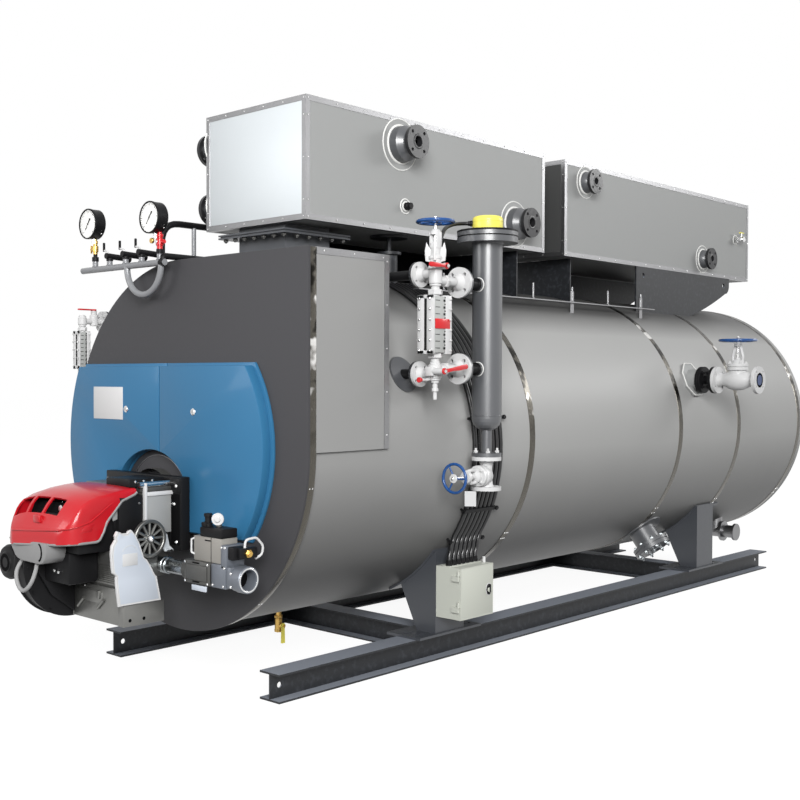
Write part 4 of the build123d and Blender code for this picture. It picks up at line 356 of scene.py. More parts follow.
# The record's slot that each finish belongs to, and what makes it from the colours
FINISHES = {
    "jacket": ("jacket", lambda c: jacket_sheet("jacket_sheet", c.jacket)),
    "panel": ("panel", lambda c: coated("panel_sheet", c.panel, 0.5, 0.05, 0.06, 0.03)),
    # Painted light: the panel sheet in a lighter copy.
    "front_sheet": ("panel", lambda c: coated("bright_sheet", c.sheet, 0.5, 0.25, 0.05, 0.04, 0.0, 0.3)),
    "trim": ("trim", lambda c: brushed("aluminium_angle", c.trim, 0.38, (1.0, 1.0, 1.0))),
    "stainless": ("stainless", lambda c: polished_band("stainless_band", c.stainless)),
    "plate": ("plate_paint", lambda c: coated("slate_enamel", c.plate, 0.55, 0.0, 0.12, 0.05)),
    "blue": ("blue_paint", lambda c: coated("cover_blue", c.blue, 0.42, 0.0, 0.1, 0.05, 0.15)),
    "wheel": ("wheel_blue", lambda c: coated("wheel_blue", c.wheel, 0.25, 0.0, 0.2, 0.08, 0.6)),
    "red": ("hood_red", lambda c: moulded("hood_red", c.red)),
    "lever": ("lever_red", lambda c: coated("lever_red", c.lever, 0.32, 0.0, 0.1, 0.1, 0.4)),
    "yellow": ("yellow", lambda c: coated("cap_yellow", c.yellow, 0.4, 0.0, 0.1, 0.04, 0.2)),
    "white": ("white_enamel", lambda c: coated("valve_white", c.white, 0.38, 0.0, 0.35, 0.06, 0.2)),
    "beige": ("beige", lambda c: coated("box_beige", c.beige, 0.45, 0.0, 0.25, 0.03)),
    # Beams: painted shade on their sides and painted light on their upward faces.
    "beam": ("skid_paint", lambda c: lit_from_above("beam_enamel", tint(c.skid, 0.3), tint(c.skid, 4.2))),
    "skid": ("skid_paint", lambda c: coated("skid_enamel", c.skid, 0.42, 0.0, 0.2, 0.12, 0.15, 0.5)),
    "column": ("black_paint", lambda c: coated("column_enamel", c.column, 0.34, 0.0, 0.12, 0.08, 0.1, 0.9)),
    "black": ("black_paint",
        lambda c: coated("black_enamel", tint(c.black, 0.7), 0.42, 0.0, 0.2, 0.2, 0.0, 0.12)),
    # Near-black matte: painted shade inside openings, bores, holes and gaps, and also small dark seams, slots
    # and rings.
    "dark": ("black_paint",
        lambda c: coated("dark_inside", tint(c.black, 0.4), 0.8, 0.0, 0.1, 0.2, 0.0, 0.03)),
    "cable": ("black_paint",
        lambda c: coated("black_sheath", tint(c.black, 0.8), 0.3, 0.0, 0.1, 0.2, 0.0, 0.5)),
    "casting": ("cast_alu", lambda c: cast("die_casting", c.casting, 0.42)),
    "iron": ("cast_alu", lambda c: cast("grey_casting", tint(c.casting, 0.4), 0.5, 0.5)),
    "pale": ("white_enamel", lambda c: coated("pale_moulding", tint(c.white, 1.0), 0.4, 0.0, 0.1, 0.03, 0.2)),
    "chrome": ("trim", lambda c: brushed("bright_fastener", (0.7, 0.7, 0.7), 0.2, (1.0, 1.0, 1.0))),
    "brass": ("brass", lambda c: cast("raw_brass", (0.62, 0.4, 0.12), 0.3, 1.0)),
    "field": ("cast_alu", lambda c: coated("cover_field", (0.5, 0.54, 0.6), 0.4, 0.1, 0.1, 0.05)),
    "zinc": ("trim", lambda c: brushed("zinc_plated", (0.3, 0.32, 0.33), 0.28, (0.3, 4.0, 4.0))),
    "warm": ("cast_alu", lambda c: coated("coil_housing", (0.25, 0.24, 0.22), 0.4, 0.1, 0.1, 0.05)),
    "slate": ("cast_alu", lambda c: cast("valve_casting", (0.15, 0.165, 0.19), 0.4, 0.4)),
    "pipe": ("black_paint", lambda c: coated("pipe_enamel", (0.22, 0.225, 0.235), 0.3, 0.1, 0.1, 0.08, 0.2)),
    "nozzle": ("black_paint",
        lambda c: coated("flange_enamel", tint(c.black, 1.6), 0.35, 0.0, 0.2, 0.15, 0.2)),
    "scale": ("white_enamel", lambda c: coated("gauge_scale", (0.38, 0.39, 0.38), 0.45, 0.0, 0.05, 0.04)),
    "tag": ("white_enamel", lambda c: coated("blank_tag", (0.72, 0.72, 0.72), 0.5, 0.0, 0.02, 0.03)),
    "bore_cap": ("wheel_blue",
        lambda c: coated("blue_bore_cap", (0.01, 0.035, 0.13), 0.35, 0.0, 0.1, 0.08, 0.3)),
    "hose": ("cast_alu", lambda c: coated("grey_hose", tint(c.white, 0.5), 0.5, 0.0, 0.1, 0.08)),
    "cowl": ("cast_alu", lambda c: coated("cowl_moulding", tint(c.white, 0.42), 0.4, 0.0, 0.1, 0.03, 0.2)),
    # Painted shade: the panel sheet in a darker copy, for the second economizer's front end in the first
    # one's shade.
    "shade_sheet": ("panel", lambda c: coated("shade_sheet", tint(c.panel, 0.15), 0.5, 0.0, 0.1, 0.12)),
    "sealant": ("white_enamel", lambda c: coated("white_sealant", (0.72, 0.72, 0.7), 0.6, 0.0, 0.3, 0.04)),
    "dial": ("white_enamel", lambda c: coated("dial_face", (0.85, 0.85, 0.83), 0.35, 0.0, 0.02, 0.01, 0.5)),
    "ink": ("black_paint", lambda c: coated("dial_ink", (0.01, 0.01, 0.01), 0.5, 0.0, 0.02, 0.05)),
}
made_finishes = {}

def linked(name, data):
    """A new object in the scene."""
    made = bpy.data.objects.new(name, data)
    bpy.context.collection.objects.link(made)
    return made


def finish(name):
    if name not in made_finishes:
        made_finishes[name] = FINISHES[name][1](bpy.context.scene.boiler_colours)
    return made_finishes[name]


# Shapes


def turn_frame(origin, axis):
    """Matrix that stands local Z on an axis through a point."""
    rotation = Vector(axis).normalized().to_track_quat("Z", "Y").to_matrix().to_4x4()
    return Matrix.Translation(Vector(origin)) @ rotation


def side_frame(origin, right, up):
    """Matrix whose local X and Y are two given directions."""
    x = Vector(right).normalized()
    y = Vector(up).normalized()
    matrix = Matrix((x, y, x.cross(y))).transposed().to_4x4()
    return Matrix.Translation(Vector(origin)) @ matrix


def soften(profile, size):
    """Takes the sharp corners off an open profile with short chamfers."""
    points = [Vector(p) for p in profile]
    out = [points[0]]
    for before, corner, after in zip(points, points[1:], points[2:]):
        back = before - corner
        ahead = after - corner
        if back.length < TINY or ahead.length < TINY or back.angle(ahead) > radians(155):
            out.append(corner)
            continue
        cut = min(size, back.length * 0.4, ahead.length * 0.4)
        out += [corner + back.normalized() * cut, corner + ahead.normalized() * cut]
    return [tuple(p) for p in out + [points[-1]]]


def stacked(*steps):
    """Profile of coaxial steps, each a radius and a length, closed on the axis at both ends."""
    profile = [(0.0, 0.0)]
    height = 0.0
    for radius, length in steps:
        profile += [(radius, height), (radius, height + length)]
        height += length
    return profile + [(0.0, height)]


def ring_section(radius, thickness, steps=14):
    return [(radius + thickness * cos(turn * 2 * pi / steps), thickness * sin(turn * 2 * pi / steps))
            for turn in range(steps)]


def circle(radius, sides=40, centre=(0.0, 0.0)):
    turns = [2 * pi * i / sides for i in range(sides)]
    return [(centre[0] + radius * cos(t), centre[1] + radius * sin(t)) for t in turns]


def rounded_route(points, bend, steps=6):
    """A route with its corners rounded by arcs of about one radius."""
    points = [Vector(p) for p in points]
    out = [points[0]]
    for before, corner, after in zip(points, points[1:], points[2:]):
        back = (before - corner).normalized()
        ahead = (after - corner).normalized()
        half = back.angle(ahead) / 2
        if half > radians(88):
            out.append(corner)
            continue
        reach = min(bend * cos(half) / sin(half), (before - corner).length * 0.48,
                (after - corner).length * 0.48)
        first = corner + back * reach
        last = corner + ahead * reach
        for step in range(steps + 1):
            t = step / steps
            out.append(first * (1 - t) ** 2 + corner * 2 * t * (1 - t) + last * t ** 2)
    return out + [points[-1]]


class Shape:
    """Collects the faces of one piece in the drum's frame, each with a finish."""

    def __init__(self, name, finish_name):
        self.name = name
        self.points = []
        self.faces = []
        self.slots = []
        self.finishes = []
        self.use(finish_name)

    def use(self, finish_name):
        if finish_name not in self.finishes:
            self.finishes.append(finish_name)
        self.slot = self.finishes.index(finish_name)
        return self

    def keep(self, points, faces):
        start = len(self.points)
        self.points += points
        self.faces += [[start + i for i in face] for face in faces]
        self.slots += [self.slot] * len(faces)

    def keep_bmesh(self, solid):
        solid.verts.index_update()
        self.keep([v.co.copy() for v in solid.verts], [[v.index for v in f.verts] for f in solid.faces])
        solid.free()

    def turned(self, profile, origin, axis, steps=None, closed=False):
        """Turns a profile of (radius, height) points about an axis."""
        steps = steps or sizes().round_steps
        matrix = turn_frame(origin, axis)
        points = []
        rings = []
        for radius, height in profile:
            count = 1 if radius < TINY else steps
            ring = range(len(points), len(points) + count)
            for turn in range(count):
                angle = 2 * pi * turn / steps
                points.append(matrix @ Vector((radius * cos(angle), radius * sin(angle), height)))
            rings.append(ring)
        if closed:
            rings.append(rings[0])
        faces = []
        for lower, upper in zip(rings, rings[1:]):
            if len(lower) == 1 and len(upper) == 1:
                continue
            for turn in range(steps):
                after = (turn + 1) % steps
                corners = [lower[turn % len(lower)], lower[after % len(lower)],
                           upper[after % len(upper)], upper[turn % len(upper)]]
                faces.append(list(dict.fromkeys(corners)))
        self.keep(points, faces)
        return self

    def steps(self, origin, axis, *steps, edge=None, sides=None):
        """Coaxial round steps with softened edges."""
        edge = sizes().edge if edge is None else edge
        return self.turned(soften(stacked(*steps), edge), origin, axis, sides)

    def hexagon(self, origin, axis, radius, length, edge):
        """A six-sided bar with its ends chamfered."""
        return self.steps(origin, axis, (radius, length), edge=edge, sides=6)

    def bead(self, origin, axis, radius, thickness, sides):
        """A ring of round section."""
        return self.turned(ring_section(radius, thickness), origin, axis, sides, closed=True)

    def washer(self, origin, axis, outer, inner, thickness, edge=0.0015, sides=None):
        """A flat ring."""
        rim = [(inner, 0.0), (outer, 0.0), (outer, thickness), (inner, thickness), (inner, 0.0)]
        return self.turned(soften(rim, edge)[:-1], origin, axis, sides, closed=True)

    def block(self, low, high, edge=None, plane=None):
        """A box with rounded edges between two corners, in a plane's own axes where one is given."""
        edge = sizes().edge if edge is None else edge
        low, high = Vector(low), Vector(high)
        solid = bmesh.new()
        bmesh.ops.create_cube(solid, size=1.0)
        bmesh.ops.scale(solid, vec=high - low, verts=solid.verts)
        bmesh.ops.translate(solid, vec=(low + high) / 2, verts=solid.verts)
        if edge:
            bmesh.ops.bevel(solid, geom=solid.edges[:], offset=edge, segments=2, profile=0.5, affect="EDGES")
        if plane:
            bmesh.ops.transform(solid, matrix=plane, verts=solid.verts)
        self.keep_bmesh(solid)
        return self

    def blocks(self, *rows):
        """Boxes, each a finish, two corners and the rounding of its edges."""
        for finish_name, low, high, edge in rows:
            self.use(finish_name).block(low, high, edge)
        return self

    def pushed(self, solid, faces, matrix, depth, edge=0.0):
        """Makes flat faces solid along their normal, rounds the rims and keeps them."""
        made = bmesh.ops.extrude_face_region(solid, geom=faces)
        top = [v for v in made["geom"] if isinstance(v, bmesh.types.BMVert)]
        bmesh.ops.translate(solid, vec=(0, 0, depth), verts=top)
        if edge:
            rims = [e for e in solid.edges if abs(e.verts[0].co.z - e.verts[1].co.z) < TINY]
            bmesh.ops.bevel(solid, geom=rims, offset=edge, segments=2, profile=0.5, affect="EDGES")
        bmesh.ops.transform(solid, matrix=matrix, verts=solid.verts)
        self.keep_bmesh(solid)
        return self

    def prism(self, outline, matrix, depth, edge=0.0):
        """An outline in a plane, made solid along the plane's normal, with rounded rims."""
        solid = bmesh.new()
        base = solid.faces.new([solid.verts.new((p[0], p[1], 0.0)) for p in outline])
        return self.pushed(solid, [base], matrix, depth, edge)

    def pierced(self, outline, holes, matrix, depth):
        """An outline with holes, made solid along the plane's normal."""
        solid = bmesh.new()
        edges = []
        for loop in (outline, *holes):
            verts = [solid.verts.new((p[0], p[1], 0.0)) for p in loop]
            edges += [solid.edges.new(pair) for pair in zip(verts, verts[1:] + verts[:1])]
        filled = bmesh.ops.triangle_fill(solid, edges=edges, use_beauty=True)
        base = [g for g in filled["geom"] if isinstance(g, bmesh.types.BMFace)]
        return self.pushed(solid, base, matrix, depth)

    def flange(self, centre, axis, radius, thickness, bore, pitch_r, hole_r=0.009):
        """A flange with a bore and four bolt holes, standing along the axis."""
        turns = [radians(45) + 2 * pi * i / 4 for i in range(4)]
        holes = [circle(hole_r, 16, (pitch_r * cos(t), pitch_r * sin(t))) for t in turns]
        if bore:
            holes.append(circle(bore, 28))
        return self.pierced(circle(radius, 56), holes, turn_frame(centre, axis), thickness)

    def tube(self, points, radius, bend=0.0, sides=20):
        """A round bar along a route, with flat ends."""
        route = rounded_route(points, bend) if bend else [Vector(p) for p in points]
        tangents = [(b - a).normalized() for a, b in zip(route, route[1:])]
        tangents.append(tangents[-1])
        normal = tangents[0].orthogonal().normalized()
        rings = []
        verts = []
        before = tangents[0]
        for i, point in enumerate(route):
            along = tangents[i] if i in (0, len(route) - 1) else (tangents[i - 1] + tangents[i]).normalized()
            normal = before.rotation_difference(along) @ normal
            before = along
            side = along.cross(normal)
            rings.append(range(len(verts), len(verts) + sides))
            for turn in range(sides):
                angle = 2 * pi * turn / sides
                verts.append(point + (normal * cos(angle) + side * sin(angle)) * radius)
        faces = []
        for lower, upper in zip(rings, rings[1:]):
            for turn in range(sides):
                after = (turn + 1) % sides
                faces.append([lower[turn], lower[after], upper[after], upper[turn]])
        faces += [list(rings[0]), list(rings[-1])]
        self.keep(verts, faces)
        return self

    def nut(self, spot, axis, size, stud=0.5):
        """A hexagon nut with the end of its stud, standing along the axis."""
        self.hexagon(spot, axis, size, size * 0.95, size * 0.12)
        if stud:
            tip = Vector(spot) + Vector(axis).normalized() * size * 0.9
            self.steps(tip, axis, (size * 0.52, size * stud), edge=size * 0.1, sides=10)
        return self

    def nuts(self, centre, axis, pitch_r, count, size, stud):
        """Nuts on a circle. Four of them stand between the axes."""
        matrix = turn_frame(centre, axis)
        start = radians(45) if count == 4 else 0.0
        for turn in range(count):
            angle = start + 2 * pi * turn / count
            self.nut(matrix @ Vector((pitch_r * cos(angle), pitch_r * sin(angle), 0.0)), axis, size, stud)
        return self

    def screws(self, start, end, normal, pitch=None, size=None):
        """A row of round-headed screws between two points."""
        size = size or sizes().screw
        start, end = Vector(start), Vector(end)
        count = max(1, ceil((end - start).length / (pitch or sizes().screw_pitch)))
        head = [(0.0, 0.0), (size, 0.0), (size * 0.8, size * 0.5), (size * 0.35, size * 0.7),
                (0.0, size * 0.7)]
        for step in range(count + 1):
            self.turned(head, start.lerp(end, step / count), normal, 8)
        return self

    def done(self, body=BODY, replaces=(), sharp=34.0):
        """Makes the object, rides it on its body and hides the nodes that it stands for."""
        mesh = bpy.data.meshes.new(self.name)
        solid = bmesh.new()
        made = [solid.verts.new(ORIGIN + p) for p in self.points]
        for face, slot in zip(self.faces, self.slots):
            if len(set(face)) < 3:
                continue
            new = solid.faces.new([made[i] for i in face])
            new.material_index = slot
            new.smooth = True
        bmesh.ops.recalc_face_normals(solid, faces=solid.faces)
        for edge in solid.edges:
            if len(edge.link_faces) == 2 and edge.calc_face_angle() > radians(sharp):
                edge.smooth = False
        solid.to_mesh(mesh)
        solid.free()
        piece = linked(self.name, mesh)
        for name in self.finishes:
            mesh.materials.append(finish(name))
        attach(piece, body)
        if replaces:
            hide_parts(*replaces)
        return piece


def on_drum(angle, radius):
    """Point of a circle about the drum axis in XZ, by its angle above the +X side."""
    return radius * cos(radians(angle)), DRUM_Z + radius * sin(radians(angle))


def arc_points(centre, radii, start, end, steps):
    """Points of an ellipse's arc, from one angle to another in degrees."""
    rx, rz = radii
    turns = [radians(start + (end - start) * i / steps) for i in range(steps + 1)]
    return [(centre[0] + rx * cos(t), centre[1] + rz * sin(t)) for t in turns]


def cord(name, finish_name, route, radius):
    """A cable or hose as one smooth curve, both of its ends held by the boiler."""
    curve = bpy.data.curves.new(name, "CURVE")
    curve.dimensions = "3D"
    curve.bevel_depth = radius
    curve.bevel_resolution = 6
    curve.resolution_u = 16
    spline = curve.splines.new("NURBS")
    spline.points.add(len(route) - 1)
    for point, place in zip(spline.points, route):
        point.co = (*(ORIGIN + Vector(place)), 1.0)
    spline.order_u = 3
    spline.use_endpoint_u = True
    made = linked(name, curve)
    curve.materials.append(finish(finish_name))
    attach(made, BODY)


def front_plane(y):
    """Plane of the boiler's front, drawn in (x, z) with its outward normal towards -Y."""
    return side_frame((0, y, 0), RIGHT, UP)


def side_plane(x, y=0, z=0):
    """Plane of the boiler's side, drawn in (y, z) with its outward normal towards +X."""
    return side_frame((x, y, z), BACK, UP)


class BoilerOperator(bpy.types.Operator):
    """Common ground of the boiler's operators."""

    bl_options = {"REGISTER", "UNDO"}

    def execute(self, context):
        self.build()
        return {"FINISHED"}


NODE_FINISHES = {
    "jacket": ("drum_shell", "rear_cover", "front_casing"),
    "stainless": ("jacket_bands", "plate_band"),
    "plate": ("front_plate",),
    "blue": ("smokebox_cover_left", "smokebox_cover_right"),
    "panel": ("economizer_1_casing", "economizer_2_casing"),
    "trim": ("economizer_trims", "casing_trims", "conduit_straps", "rear_outlet", "cable_rail"),
    "beam": ("skid_beam_left", "skid_beam_right", "cross_beams", "economizer_brackets"),
    "skid": ("saddle_front_left", "saddle_front_right", "saddle_rear_left", "saddle_rear_right", "flue_duct"),
    "column": ("level_column", "level_connections_right", "economizer_1_nozzles", "economizer_2_nozzles",
        "gauge_manifold", "handhole"),
    "black": ("burner_flange", "burner_fan", "burner_motor", "vent_pipe", "feed_nozzle",
              "pressure_gauge_left", "pressure_gauge_right"),
    "white": ("level_gauge_right", "level_gauge_left", "blowdown_valve", "feed_valve"),
    "wheel": ("feed_wheel", "blowdown_wheel", "gauge_wheel"),
    "lever": ("gauge_lever_upper", "gauge_lever_lower", "gauge_lever_left"),
    "yellow": ("probe_cap", "drain_lever"),
    "brass": ("drain_valve",),
    "beige": ("junction_box", "junction_box_door"),
    "cable": ("conduits",),
    "red": ("burner_hood",),
    "casting": ("burner_housing", "burner_air_box", "burner_cover", "gas_pipe"),
    "iron": ("gas_valve_block",),
}


class BOILER_OT_finish_frame(BoilerOperator):
    """Gives every piece of the frame its finish."""

    bl_idname = "boiler.finish_frame"
    bl_label = "Finish Frame"

    def build(self):
        for name, nodes in NODE_FINISHES.items():
            for node in nodes:
                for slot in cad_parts[node].material_slots:
                    slot.material = finish(name)


class BOILER_OT_drum(BoilerOperator):
    """Sheet jacket of the drum, its dished rear cover and the stainless bands."""

    bl_idname = "boiler.drum"
    bl_label = "Drum"

    sides = 160
    band_width = 0.046
    # Where the bands start in y, and the angles of their joints
    band_starts = (1.585, 3.16, 3.955, DRUM_HIGH.y - band_width)
    joint_angles = (-38, 118)

    def build(self):
        high = span("rear_cover")[1]
        start = DRUM_LOW.y
        end = DRUM_HIGH.y
        skin = [(0.0, start), (DRUM_R, start), (DRUM_R, end), (DRUM_R, high.y - 0.014),
                (DRUM_R - 0.004, high.y - 0.004)]
        skin += [(DRUM_R - 0.014, high.y), (DRUM_R * 0.5, high.y), (0.0, high.y)]
        Shape("drum_jacket", "jacket").turned(skin, (0, 0, DRUM_Z), BACK, self.sides).done(
            replaces=("drum_shell", "rear_cover"))
        width = self.band_width
        band = Shape("drum_bands", "stainless")
        for y in self.band_starts:
            rim = [(DRUM_R, y), (DRUM_R + 0.002, y + 0.001), (DRUM_R + 0.0026, y + width / 2)]
            rim += [(DRUM_R + 0.002, y + width - 0.001), (DRUM_R, y + width)]
            band.use("stainless").turned(rim, (0, 0, DRUM_Z), BACK, self.sides)
            for angle in self.joint_angles:
                x, z = on_drum(angle, DRUM_R + 0.002)
                normal = Vector((x, 0, z - DRUM_Z)).normalized()
                along = Vector((-normal.z, 0, normal.x))
                for side in (-1, 1):
                    spot = Vector((x, y + width / 2, z)) + along * side * 0.02
                    band.use("chrome").screws(spot - Vector((0, 0.014, 0)), spot + Vector((0, 0.014, 0)),
                            normal, 0.028)
        band.done(replaces=("jacket_bands",))


class BOILER_OT_front(BoilerOperator):
    """Front plate with its stainless edge band, and the screws of the squared casing."""

    bl_idname = "boiler.front"
    bl_label = "Front Plate"

    band_joints = (-142, -100, -52, -10)
    trim_pitch = 0.19
    trim_inset = 0.014

    def outline(self, radius):
        """Circle about the drum axis with a square corner towards +X and up."""
        ring = arc_points((0, DRUM_Z), (radius, radius), 90, 360, 150)
        return ring + [(radius, DRUM_Z + radius)]

    def build(self):
        low, high = span("front_plate")
        plate = Shape("front_plate_enamel", "plate")
        plate.prism(self.outline(PLATE_R), front_plane(high.y), high.y - low.y, 0.0012)
        plate.done(replaces=("front_plate",))
        low, high = span("plate_band")
        radius = (high.x - low.x) / 2
        band = Shape("plate_edge_band", "stainless")
        band.prism(self.outline(radius), front_plane(high.y), high.y - low.y, 0.002)
        band.use("chrome")
        y = (low.y + high.y) / 2
        for angle in self.band_joints:
            x, z = on_drum(angle, radius)
            band.screws((x, y - 0.008, z), (x, y + 0.008, z), (x, 0, z - DRUM_Z), 0.02)
        band.done(replaces=("plate_band",))
        side, back, top = span("casing_trims")[1]
        edge = back - self.trim_inset
        screws = Shape("casing_screws", "chrome")
        screws.screws((side, edge, DRUM_Z + 0.06), (side, edge, top - 0.03), RIGHT, self.trim_pitch)
        edge = top - self.trim_inset
        screws.screws((side, 0.09, edge), (side, back - 0.04, edge), RIGHT, self.trim_pitch)
        screws.done()


class BOILER_OT_covers(BoilerOperator):
    """Blue smokebox covers with a stepped rim, the burner cut-out, locks and a bare plate."""

    bl_idname = "boiler.covers"
    bl_label = "Smokebox Covers"

    # Elliptical cut-out for the burner, rim round the covers, and corners of the bare plate in (x, z)
    cut_centre = (-0.142, 0.813)
    cut_radii = (0.281, 0.24)
    lip = 0.014
    face_y = -0.06
    bare_plate = ((-0.609, 1.186), (-0.364, 1.342))

    def outline(self, radius, seam, side, top, bottom):
        """Part of a disc on one side of the seam, with the elliptical cut-out taken from its lower edge."""
        rise = top - DRUM_Z
        drop = bottom - DRUM_Z
        first = degrees(atan2(rise, sqrt(radius ** 2 - rise ** 2)))
        last = degrees(atan2(drop, sqrt(radius ** 2 - drop ** 2)))
        rim = [(side * x, z) for x, z in arc_points((0, DRUM_Z), (radius, radius), first, last, 60)]
        cx, cz = self.cut_centre
        rx, rz = self.cut_radii
        low_turn = degrees(atan2((bottom - cz) / rz, sqrt(1 - ((bottom - cz) / rz) ** 2)))
        seam_share = side * (seam - cx) / rx
        high_turn = degrees(acos(max(-1.0, min(1.0, seam_share))))
        cut = arc_points((0, cz), (rx, rz), low_turn, high_turn, 40)
        return [(seam, top)] + rim + [(cx + side * x, z) for x, z in cut]

    def build(self):
        for node, side in (("smokebox_cover_right", 1), ("smokebox_cover_left", -1)):
            low, high = span(node)
            lip, face_y = self.lip, self.face_y
            seam = low.x if side > 0 else high.x
            radius = high.x if side > 0 else -low.x
            inner = radius - (0.016 if side > 0 else 0.014)
            cover = Shape(node + "_sheet", "blue")
            body = self.outline(inner, seam, side, high.z - lip, low.z + lip)
            cover.prism(body, front_plane(-lip), -lip - face_y, 0.004)
            cover.prism(self.outline(radius, seam, side, high.z, low.z), front_plane(0.0), lip, 0.002)
            lock_x, lock_z = (0.173, 1.235) if side > 0 else (-0.339, 1.237)
            cover.use("chrome").steps((lock_x, face_y, lock_z), FRONT, (0.016, 0.003), (0.012, 0.003),
                    sides=24)
            cover.use("ink").block((lock_x - 0.0015, face_y - 0.0066, lock_z - 0.007),
                                   (lock_x + 0.0015, face_y - 0.005, lock_z + 0.007), 0.0)
            if side < 0:
                (x0, z0), (x1, z1) = self.bare_plate
                cover.use("pale").block((x0, face_y - 0.002, z0), (x1, face_y, z1), 0.0008)
            cover.done(replaces=(node,))


class BOILER_OT_economizers(BoilerOperator):
    """Screws of the economizers' trims and the bolts of the duct's flange."""

    bl_idname = "boiler.economizers"
    bl_label = "Economizers"

    # Screws from the trims' edges and ends, then the bolts of the duct's flange
    inset = 0.012
    end_gap = 0.09
    flange_z = 2.074
    flange_inset = 0.025
    flange_end = 0.87

    def build(self):
        detail = Shape("economizer_fasteners", "chrome")
        out, inset, end = 0.002, self.inset, self.end_gap
        for node in ("economizer_1_casing", "economizer_2_casing"):
            low, high = span(node)
            heights = (low.z + inset, high.z - inset)
            for x in (low.x - out, high.x + out):
                normal = RIGHT if x > 0 else LEFT
                for z in heights:
                    detail.screws((x, low.y + inset, z), (x, high.y - inset, z), normal)
                for y in (low.y + inset, high.y - inset):
                    detail.screws((x, y, low.z + end), (x, y, high.z - end), normal)
            for y, normal in ((low.y - out, FRONT), (high.y + out - 0.0034, BACK)):
                for z in heights:
                    detail.screws((low.x + inset, y, z), (high.x - inset, y, z), normal, 0.16)
                for x in (low.x + inset, high.x - inset):
                    detail.screws((x, y, low.z + end), (x, y, high.z - end), normal)
        detail.done()
        low, high = span("flue_duct")
        bolts = Shape("duct_bolts", "iron")
        edge_y = low.y + self.flange_inset
        last_y = self.flange_end - self.flange_inset
        for step in range(7):
            x = low.x + 0.03 + (high.x - low.x - 0.06) * step / 6
            bolts.nut((x, edge_y, self.flange_z), DOWN, sizes().bolt)
        for step in range(1, 6):
            y = edge_y + (last_y - edge_y) * step / 5
            bolts.nut((high.x - self.flange_inset, y, self.flange_z), DOWN, sizes().bolt)
        bolts.done()


class BOILER_OT_handwheels(BoilerOperator):
    """Blue handwheels with round rims, straight round spokes and hub nuts."""

    bl_idname = "boiler.handwheels"
    bl_label = "Handwheels"

    def wheel(self, node, axis, spokes, rim_r):
        low, high = span(node)
        centre = middle(node)
        flat = [i for i in range(3) if abs(axis[i]) < 0.5]
        radius = max(high[flat[0]] - low[flat[0]], high[flat[1]] - low[flat[1]]) / 2
        reach = radius - rim_r
        made = Shape(node + "_rim", "wheel")
        made.bead(centre, axis, reach, rim_r, 56)
        matrix = turn_frame(centre, axis)
        for turn in range(spokes):
            angle = 2 * pi * turn / spokes
            tip = matrix @ Vector((reach * cos(angle), reach * sin(angle), 0.0))
            made.tube([centre, tip], rim_r * 0.62, sides=10)
        made.steps(centre - Vector(axis) * rim_r * 1.1, axis, (rim_r * 2.1, rim_r * 2.2), sides=28)
        made.use("chrome").nut(centre + Vector(axis) * rim_r, axis, rim_r * 1.25, 0.6)
        made.done(node, (node,))

    def build(self):
        self.wheel("feed_wheel", UP, 5, 0.009)
        self.wheel("gauge_wheel", UP, 5, 0.008)
        self.wheel("blowdown_wheel", FRONT, 3, 0.007)


